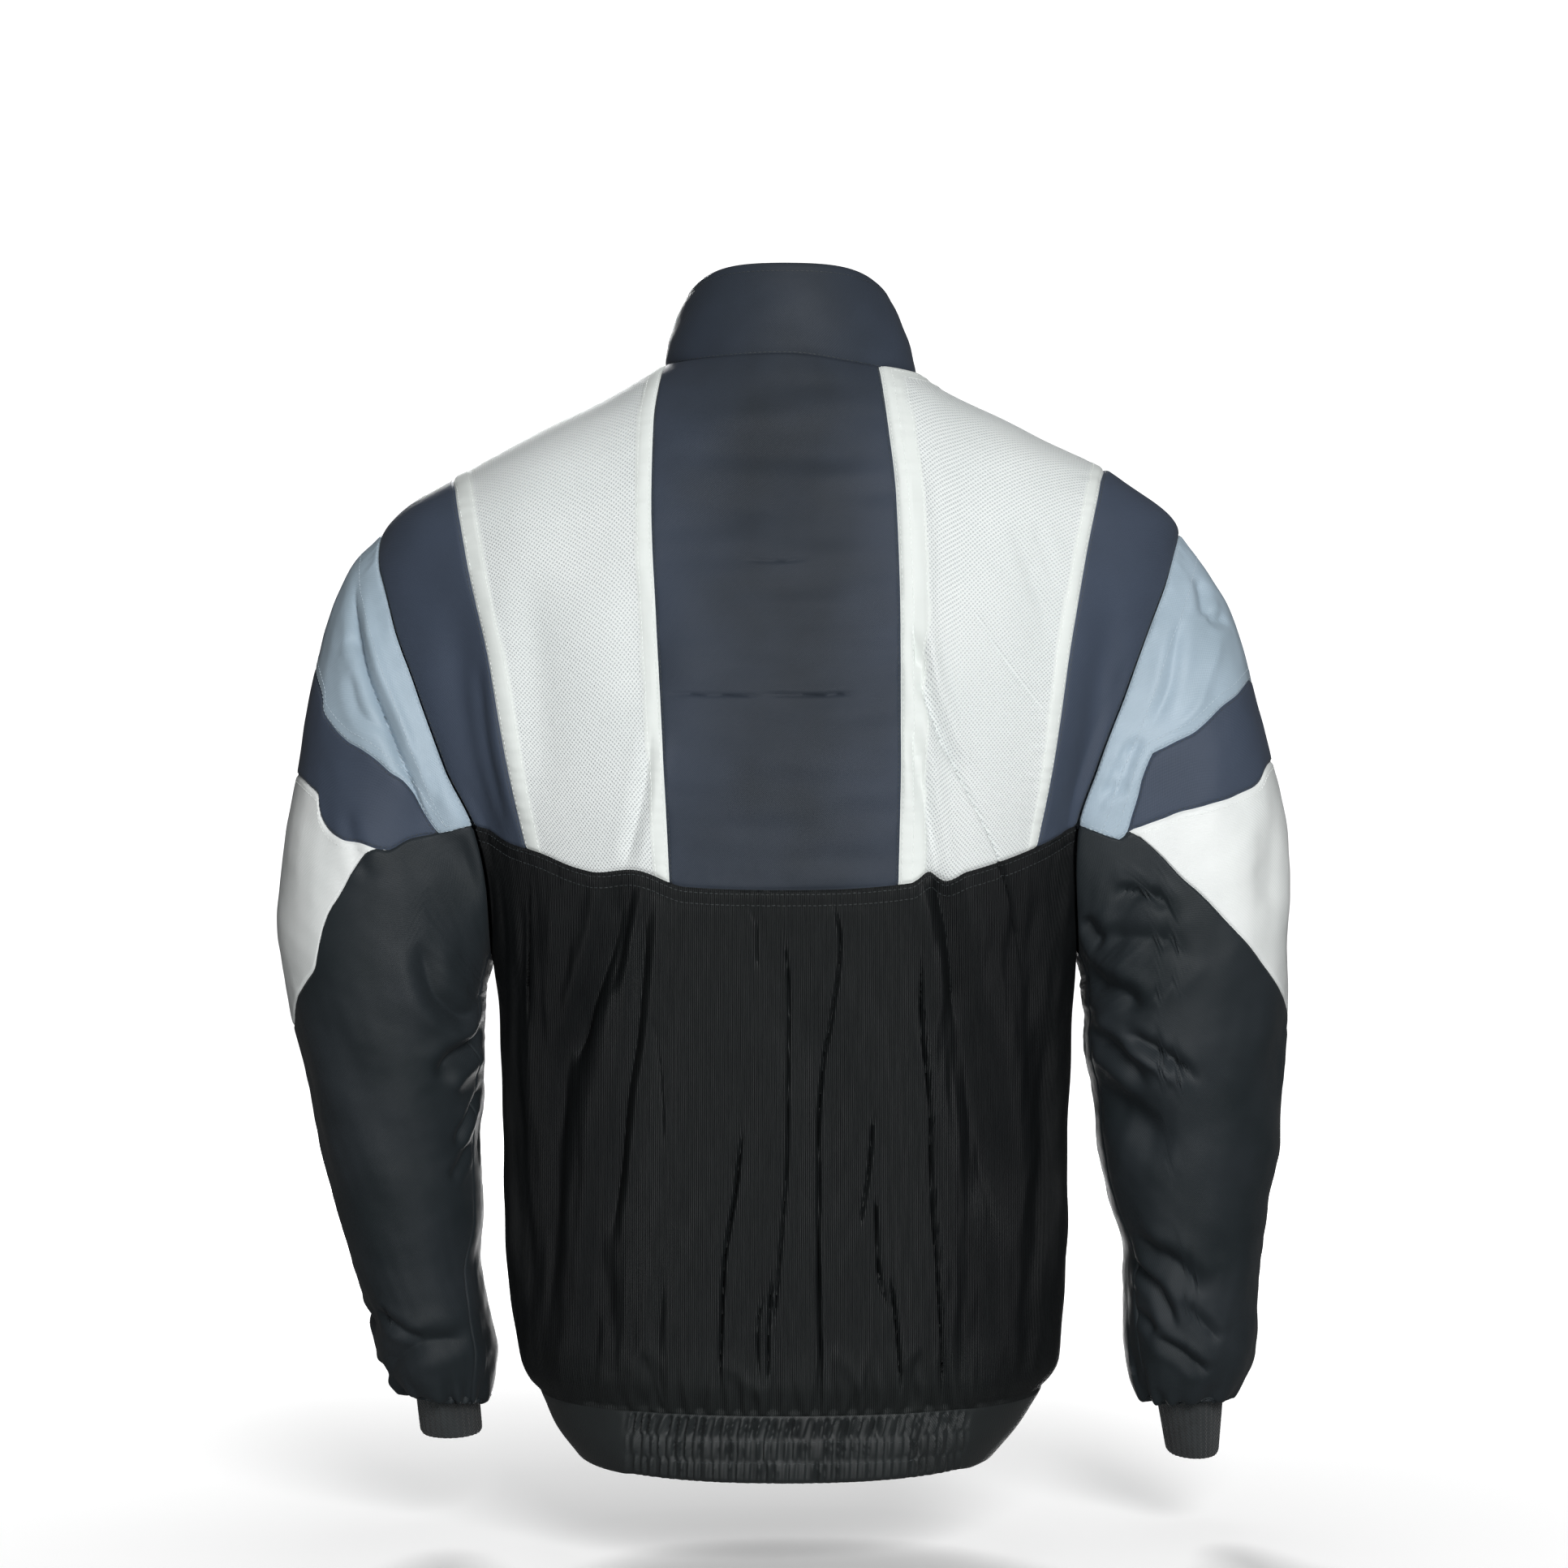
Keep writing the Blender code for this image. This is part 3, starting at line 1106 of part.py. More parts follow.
lower_back()
upper_back()
for wearers_side in ("left", "right"):
    front(wearers_side)
    sleeve(wearers_side)
    cuff(wearers_side)
    zip_tape(wearers_side)
hem_band()
collar()
slider_and_tab()
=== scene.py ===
"""Looks of a windbreaker jacket in its worn shape: cloth, seams, stitches, zip and studio.

Metres, +Z up. The front faces -Y and the wearer's left is +X. The origin lies between the shoulder
seams at the base of the neck. Each cloth piece is a thin wall on the form of its solid: a fine grid
between four seam lines, pressed in along listed folds, and tucked in along its seams.
"""

import math

import bmesh
import bpy
import numpy as np
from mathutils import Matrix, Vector
from mathutils.kdtree import KDTree


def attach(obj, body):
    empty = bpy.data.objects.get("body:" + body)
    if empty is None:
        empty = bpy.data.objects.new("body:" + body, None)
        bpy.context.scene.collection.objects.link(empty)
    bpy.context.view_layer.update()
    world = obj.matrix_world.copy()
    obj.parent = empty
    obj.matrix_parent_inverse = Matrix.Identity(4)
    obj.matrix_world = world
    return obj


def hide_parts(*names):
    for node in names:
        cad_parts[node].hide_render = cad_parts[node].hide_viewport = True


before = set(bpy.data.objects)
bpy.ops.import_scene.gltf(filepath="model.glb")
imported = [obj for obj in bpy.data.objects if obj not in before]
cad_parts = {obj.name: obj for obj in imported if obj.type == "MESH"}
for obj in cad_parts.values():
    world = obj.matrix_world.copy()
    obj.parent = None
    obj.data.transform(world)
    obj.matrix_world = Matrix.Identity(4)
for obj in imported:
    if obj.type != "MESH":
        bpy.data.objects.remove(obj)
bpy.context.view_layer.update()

BODY = "jacket"
SIDES = ("left", "right")  # the wearer's

# ---- the garment's form

# Level sections of the torso, hem to neck. left and right are half widths, back and front are
# depths from the side plane, square is the exponent of the rounded section (2 is an ellipse).
TORSO_COLUMNS = ("height", "left", "right", "back", "front", "square")
TORSO = (
    (-0.684, 0.1290, 0.1310, 0.106, 0.108, 2.20),
    (-0.663, 0.1450, 0.1490, 0.110, 0.113, 2.20),
    (-0.642, 0.1545, 0.1625, 0.113, 0.117, 2.20),
    (-0.634, 0.1595, 0.1680, 0.118, 0.122, 2.25),
    (-0.622, 0.1660, 0.1730, 0.124, 0.128, 2.30),
    (-0.600, 0.1705, 0.1755, 0.127, 0.131, 2.35),
    (-0.560, 0.1740, 0.1770, 0.127, 0.131, 2.35),
    (-0.500, 0.1760, 0.1775, 0.125, 0.130, 2.35),
    (-0.440, 0.1770, 0.1810, 0.123, 0.132, 2.35),
    (-0.400, 0.1790, 0.1830, 0.122, 0.134, 2.35),
    (-0.370, 0.1835, 0.1850, 0.122, 0.135, 2.35),
    (-0.330, 0.1935, 0.1905, 0.122, 0.135, 2.35),
    (-0.289, 0.2110, 0.2000, 0.121, 0.134, 2.35),
    (-0.250, 0.2370, 0.2190, 0.119, 0.131, 2.35),
    (-0.200, 0.2555, 0.2385, 0.114, 0.124, 2.35),
    (-0.162, 0.2620, 0.2460, 0.109, 0.115, 2.35),
    (-0.130, 0.2620, 0.2500, 0.103, 0.106, 2.30),
    (-0.102, 0.2540, 0.2500, 0.097, 0.097, 2.25),
    (-0.067, 0.2080, 0.2110, 0.089, 0.084, 2.20),
    (-0.041, 0.1590, 0.1590, 0.081, 0.071, 2.15),
    (-0.020, 0.1190, 0.1180, 0.073, 0.061, 2.10),
    (-0.006, 0.0930, 0.0900, 0.068, 0.054, 2.05),
    (0.004, 0.0755, 0.0730, 0.064, 0.048, 2.00),
    (0.014, 0.0600, 0.0580, 0.058, 0.040, 2.00),
)

# Seams on the torso.
HEM_BOTTOM = -0.684
HEM_TOP = -0.642
UNDERARM = -0.370
SHOULDER_TIP = -0.102
ARMHOLE_OPEN = 0.56  # half depth of the armhole as a share of the torso's depth there
YOKE_ANGLE = 112.0  # degrees round the armhole from the shoulder tip, where the yoke seam meets it
YOKE_BEND = 2.6  # how late towards the sides it rises again
YOKE_DIP = 0.038  # how far the yoke seam hangs lower at the centre back
SHOULDER_SEAM_ANGLE = -23.0  # degrees round the armhole where that seam ends
NECK_HALF_WIDTH = {"left": 0.0757, "right": 0.0845}
NECK_DEPTH = {"back": 0.0630, "front": 0.0820}
NECK_SIDE_TURN = 105.0  # degrees round the neck where the shoulder seam meets it
NECK_BLOCK_TURN = {"left": 76.0, "right": 44.5}  # where the centre back panel ends on the neck
ZIP_HALF_GAP = 0.0060  # from the centre line to the folded edge of each front
FAN_HEIGHT = -0.458  # above it the body's rows start to fan towards the armhole

# Small lifts of the yoke seam where pleats pull on it, as (middle, rise, half width at half the rise).
YOKE_SCALLOPS = (
    (0.089, 0.0065, 0.015),
    (-0.088, 0.0050, 0.006),
    (-0.099, -0.0030, 0.006),
    (0.150, 0.0020, 0.012),
)

# Seams of the colour blocks on the back, from the yoke seam (0) to the top of the panel (1), as
# distances from the centre line. inner and outer are the two edges of the pale mesh panel.
BLOCK_COLUMNS = ("rise", "inner_left", "inner_right", "outer_left", "outer_right")
BLOCKS = (
    (0.00, 0.0690, 0.0690, 0.1575, 0.1550),
    (0.25, 0.0730, 0.0705, 0.1690, 0.1650),
    (0.50, 0.0775, 0.0705, 0.1790, 0.1735),
    (0.75, 0.0810, 0.0685, 0.1930, 0.1840),
    (0.90, 0.0805, 0.0640, 0.2000, 0.1915),
    (1.00, 0.0770, 0.0605, 0.2050, 0.1975),
)
EDGE_TURN = 0.008  # a block edge turns over the shoulder this far below its top

# Sections of the sleeves, from the armhole seam to the cuff seam. outer and inner are points seen
# from the front, as (distance from the centre, height). back and front are half depths.
SLEEVE_COLUMNS = ("outer_x", "outer_z", "inner_x", "inner_z", "back", "front", "middle_y")
SLEEVES = {
    "left": (
        (0.2540, -0.102, 0.1835, -0.370, 0.058, 0.060, 0.000),
        (0.2735, -0.124, 0.1855, -0.377, 0.062, 0.062, 0.001),
        (0.2880, -0.158, 0.1870, -0.383, 0.066, 0.064, 0.002),
        (0.2990, -0.205, 0.1880, -0.389, 0.069, 0.066, 0.003),
        (0.3085, -0.258, 0.1886, -0.396, 0.070, 0.067, 0.003),
        (0.3170, -0.305, 0.1892, -0.405, 0.070, 0.067, 0.002),
        (0.3205, -0.345, 0.1898, -0.415, 0.069, 0.066, 0.000),
        (0.3180, -0.375, 0.1904, -0.427, 0.068, 0.065, -0.003),
        (0.3125, -0.405, 0.1912, -0.442, 0.066, 0.063, -0.006),
        (0.3055, -0.443, 0.1930, -0.464, 0.063, 0.060, -0.011),
        (0.2975, -0.484, 0.1945, -0.494, 0.059, 0.057, -0.017),
        (0.2885, -0.525, 0.1930, -0.530, 0.055, 0.054, -0.024),
        (0.2775, -0.565, 0.1955, -0.567, 0.051, 0.050, -0.032),
        (0.2665, -0.604, 0.1885, -0.606, 0.049, 0.048, -0.040),
        (0.2630, -0.624, 0.1848, -0.626, 0.047, 0.046, -0.044),
        (0.2570, -0.641, 0.1868, -0.645, 0.042, 0.041, -0.047),
        (0.2500, -0.653, 0.1900, -0.658, 0.036, 0.036, -0.049),
        (0.2440, -0.654, 0.1945, -0.660, 0.031, 0.031, -0.050),
        (0.2410, -0.644, 0.1975, -0.649, 0.029, 0.029, -0.050),
    ),
    "right": (
        (0.2500, -0.102, 0.1850, -0.370, 0.058, 0.060, 0.000),
        (0.2670, -0.124, 0.1872, -0.377, 0.062, 0.062, 0.001),
        (0.2855, -0.160, 0.1878, -0.383, 0.066, 0.064, 0.002),
        (0.2985, -0.205, 0.1884, -0.389, 0.069, 0.066, 0.003),
        (0.3095, -0.247, 0.1890, -0.396, 0.070, 0.067, 0.003),
        (0.3175, -0.290, 0.1895, -0.405, 0.070, 0.067, 0.002),
        (0.3195, -0.335, 0.1902, -0.415, 0.070, 0.067, 0.000),
        (0.3190, -0.380, 0.1912, -0.427, 0.069, 0.066, -0.003),
        (0.3180, -0.420, 0.1938, -0.442, 0.067, 0.064, -0.006),
        (0.3165, -0.453, 0.1975, -0.464, 0.063, 0.061, -0.011),
        (0.3165, -0.487, 0.2015, -0.494, 0.060, 0.058, -0.017),
        (0.3100, -0.527, 0.2090, -0.530, 0.056, 0.055, -0.024),
        (0.3065, -0.567, 0.2190, -0.568, 0.053, 0.052, -0.032),
        (0.3050, -0.606, 0.2190, -0.607, 0.051, 0.050, -0.040),
        (0.3035, -0.630, 0.2205, -0.631, 0.048, 0.047, -0.045),
        (0.2980, -0.646, 0.2240, -0.648, 0.043, 0.042, -0.048),
        (0.2920, -0.656, 0.2300, -0.659, 0.037, 0.037, -0.050),
        (0.2885, -0.657, 0.2365, -0.659, 0.032, 0.032, -0.051),
        (0.2865, -0.648, 0.2395, -0.651, 0.030, 0.030, -0.051),
    ),
}
SLEEVE_ROUND = 2.15
ARMHOLE_BLEND = 3.0  # rows over which the armhole's shape fades into the sleeve's own sections
LAST_ROW = len(SLEEVES["left"]) - 1
CUFF_DROP = {"left": (0.2370, 0.1950, -0.681), "right": (0.2830, 0.2475, -0.694)}
CUFF_MIDDLE_Y = -0.054
CUFF_INSET = 0.0010  # the cuff's top lies this far inside the sleeve's end

# Seams of the colour blocks on the sleeves, as (degrees round the sleeve from its outer line, row of
# the table of sections) points of the back half, which the front half mirrors. blue is the lower edge
# of the blue cap, dark of the dark stripe, white of the white elbow piece.
SLEEVE_EDGES = {
    "left": {
        "blue": (
            (0, 2.60), (24, 2.68), (35, 2.72), (39, 2.84), (48, 2.80), (59, 2.65), (68, 2.40), (77, 2.10),
            (84, 1.85), (89, 1.58), (94, 1.44), (100, 1.40), (106, 1.32), (112, 0.0),
        ),
        "dark": (
            (0, 3.95), (13, 3.90), (37, 3.80), (47, 3.76), (50, 3.94), (57, 4.00), (67, 3.90), (78, 3.60),
            (86, 3.35), (90, 3.15), (98, 2.30), (106, 1.32), (112, 0.0),
        ),
        "white": (
            (0, 8.30), (13, 8.20), (32, 7.65), (50, 6.95), (59, 6.45), (63, 5.80), (66, 5.25), (72, 4.70),
            (76, 4.20), (80, 3.75), (86, 3.36), (90, 3.15),
        ),
    },
    "right": {
        "blue": (
            (0, 2.85), (10, 2.75), (38, 2.55), (51, 2.35), (67, 2.05), (77, 1.65), (81, 1.46), (82.5, 1.37),
            (84, 1.345), (89, 1.36), (94, 1.45), (99, 1.50), (103, 1.56), (106, 1.50), (112, 0.0),
        ),
        "dark": (
            (0, 3.98), (10, 3.95), (33, 3.85), (40, 3.88), (59, 3.60), (76, 3.05), (90, 2.35), (99, 1.82),
            (103, 1.58), (106, 1.50), (112, 0.0),
        ),
        "white": (
            (0, 7.85), (11, 7.60), (37, 7.00), (54, 6.45), (69, 5.80), (81, 5.00), (90, 4.05), (99, 2.55),
            (103, 1.58), (106, 1.50),
        ),
    },
}
WHITE_TIP = {"left": 90.0, "right": 103.0}  # degrees round the sleeve where the white piece ends
BLOCK_TIP = 106.0  # where the blue cap's corner and the dark stripe's end lie

# The collar.
COLLAR_RIM_HEIGHT = (0.062, 0.049, 0.004)  # at the back, the sides and the zip
COLLAR_RIM_HALF_WIDTH = {"left": 0.0608, "right": 0.0655}
COLLAR_RIM_DEPTH = {"back": 0.058, "front": 0.072}
COLLAR_BELLY = 0.003  # how far its middle stands out
COLLAR_ZIP_TURN = (160.0, 178.0)  # it straightens towards the zip between these turns
COLLAR_FOOT = 0.0020  # how far its lower edge reaches under the neck seam
COLLAR_HEIGHT = 0.060  # its usual height, for the grid's rows
COLLAR_LINES = 170  # grid lines round it

# The cloth walls and their grids.
CLOTH = 0.0011
COLLAR_CLOTH = 0.0022  # two layers
BAND_CLOTH = 0.0018  # the folded hem band and the cuffs
GRID_STEP = 0.0030  # spacing of the grid on smooth cloth
FINE_STEP = 0.0022  # and on cloth with narrow folds
CREASE_STEP = (0.0009, 0.0040)  # across and down the lower back, whose creases run down
CREASE_ZONE = 0.107  # the creases lie this near the centre line; beyond it the step across doubles
MESH_STEP = 0.0018  # on the mesh panels, which have one narrow crease
CENTRE_STEP = (0.0030, 0.0012)  # across and up the centre panel, whose creases run across
FRONT_STEP = (0.0040, 0.0042)  # across and up the fronts, whose folds are broad
BAND_STEP = (0.0009, 0.0015)  # round and up the back of the hem band, whose tufts are narrow
STRIP_STEPS = (-0.0028, -0.0014, -0.0006, 0.0, 0.0008)  # grid lines beside the edge of a mesh strip
FACES_KEPT = 0.6  # of a cloth wall's faces: only its inside is thinned out
SEAM_ROWS = (0.0, 0.0006, 0.0013, 0.0022, 0.0036)  # grid lines beside a seam
TUCK_DEPTH = 0.0011  # how far an edge is turned in along its seam
TUCK_WIDTH = 0.0013
PRESS_END = 0.003  # small waves of a panel fade this near its seams
FOLD_END = 0.010  # and its folds this near the seams where they end
EDGES = ("bottom", "top", "first", "last")

# The elasticated stretch of the hem and the cloth gathered into it.
ELASTIC_MIDDLE = -0.008
ELASTIC_HALF_WIDTH = 0.104
ELASTIC_SHARES = (0.285, 0.690)  # where its stitches start and end along the hem band
GATHER_RISE = 0.060  # how far the gathers reach up the lower back
GATHER_PITCH = 0.0115
GATHER_DEPTH = 0.0034
BAND_ROWS = 3  # rows of tufts, one above the other
BAND_PITCH = 0.0054  # from tuft to tuft
BAND_FINE_PITCH = 0.0023  # from wrinkle to wrinkle on a tuft
BAND_DEPTH = 0.0023
BAND_ROW_DEPTH = 0.0016  # how far the stitches between the rows draw the cloth in

STRIPS = {  # the widths of the solid strips along the mesh panels' edges
    "left": {"first": (0.0107,), "last": (0.0125,)},
    "right": {"first": (0.0100, 0.0190), "last": (0.0100,)},
}
STRIP_RISE = 0.0005
STRIP_SLOPE = 0.0006  # over which a strip's edge rises
STRIP_FADE = 0.0004  # its finish fades this far to each side of its edge

# Sleeves and cuffs.
SLEEVE_GIRTH = 0.44  # the length round a sleeve's cloth
SLEEVE_ROW = 0.034  # the usual length of cloth between two sections
SLEEVE_SHORTEST = 0.03  # the least length that a piece's rows are spaced for
SLEEVE_FOLD_START = 0.8  # rows over which the folds fade in at the armhole
SLEEVE_SHIFT = {"left": 0.0, "right": 3.0}  # moves the small waves, so that the sleeves differ
SEAM_LINES = (-1.6, -0.9, -0.4, 0.0, 0.4, 0.9, 1.6)  # grid lines at the underarm seam, in degrees
SEAM_CLEAR = 2.4  # degrees from it within which there are no others
SEAM_GROOVE = 0.0009  # its depth and its width
CUFF_GATHERS = 13
CUFF_GATHER_DEPTH = 0.0045
CUFF_GATHER_START = 4.2  # rows above the sleeve's end
CUFF_GATHER_REACH = 2.4  # rows over which they deepen
CUFF_RIBS = 30
CUFF_RIB_POINTS = 10  # grid lines to a rib
CUFF_RIB_RISE = 0.0007
CUFF_LENGTH = 0.036  # what shows of it

# The zip.
TAPE_EDGE = 0.0004  # from the centre line
TAPE_WIDTH = 0.0150
TAPE_CLOTH = 0.0010
TAPE_SINK = 0.0005  # from the cloth's inner face to the tape
TAPE_BREAK = 0.004  # tape and teeth turn from the front to the collar this far below the neck seam
TAPE_ON_COLLAR = (0.03, 0.97)  # shares of the collar's height between which the tape runs
TEETH_ON_COLLAR = (0.06, 0.94)  # and its teeth
TEETH_START = 0.006  # above the hem
SLIDER_HEIGHT = -0.086
TOOTH_SIZE = (0.0042, 0.0013, 0.0018)  # across the zip, along it, and out
TOOTH_PITCH = 0.0030
TOOTH_MIDDLE = 0.0016  # from the centre line
TOOTH_APART = 0.0012  # further from it above the slider
TOOTH_RISE = TOOTH_SIZE[2] * 0.35  # from the tape to its middle
TOOTH_BEVEL = 0.0004

# Rows of stitches, by their distance from a seam or an edge.
YOKE_ROWS = (0.0030, 0.0098)
SEAM_STITCHES = 0.0018
STRIP_STITCHES = 0.0014  # inside the edge of a mesh strip
COLLAR_STITCHES = {"top": 0.0060, "bottom": 0.0020}
ZIP_STITCHES = 0.0075
ELBOW_STITCHES = 0.0045
CAP_STITCHES = {"bottom": (SEAM_STITCHES, 0.0180), "top": (SEAM_STITCHES, 0.0070)}
BAND_STITCHES = (0.0140, 0.0280)  # above the hem, between the rows of tufts
STITCH_LENGTH = 0.0024
STITCH_PITCH = 0.0031
STITCH_RISE = 0.12  # of the thread's thickness: how far a stitch's middle lies above the cloth
THREAD = 0.00045

# Kinds of folds, as (width, depth, ridge, sharp, fade). ridge is how far the cloth swells beside the
# fold. sharp is 2 for a soft trough and nears 1 for a crease. fade is the share of the fold's length
# over which each end fades. A negative depth makes a ridge.
FOLD_KINDS = {
    "crease": (0.0009, 0.0034, 0.0003, 1.4, 0.18),
    "fold": (0.0040, 0.0045, 0.0014, 1.4, 0.25),
    "pleat": (0.0064, 0.0080, 0.0022, 1.5, 0.25),
    "hollow": (0.0135, 0.0068, 0.0016, 2.0, 0.38),
    "ridge": (0.0046, -0.0022, 0.0, 1.6, 0.25),
}
SWELL_MIDDLE = 2.1  # of the fold's width: how far beside it the cloth swells most
SWELL_WIDTH = 1.1  # of the fold's width

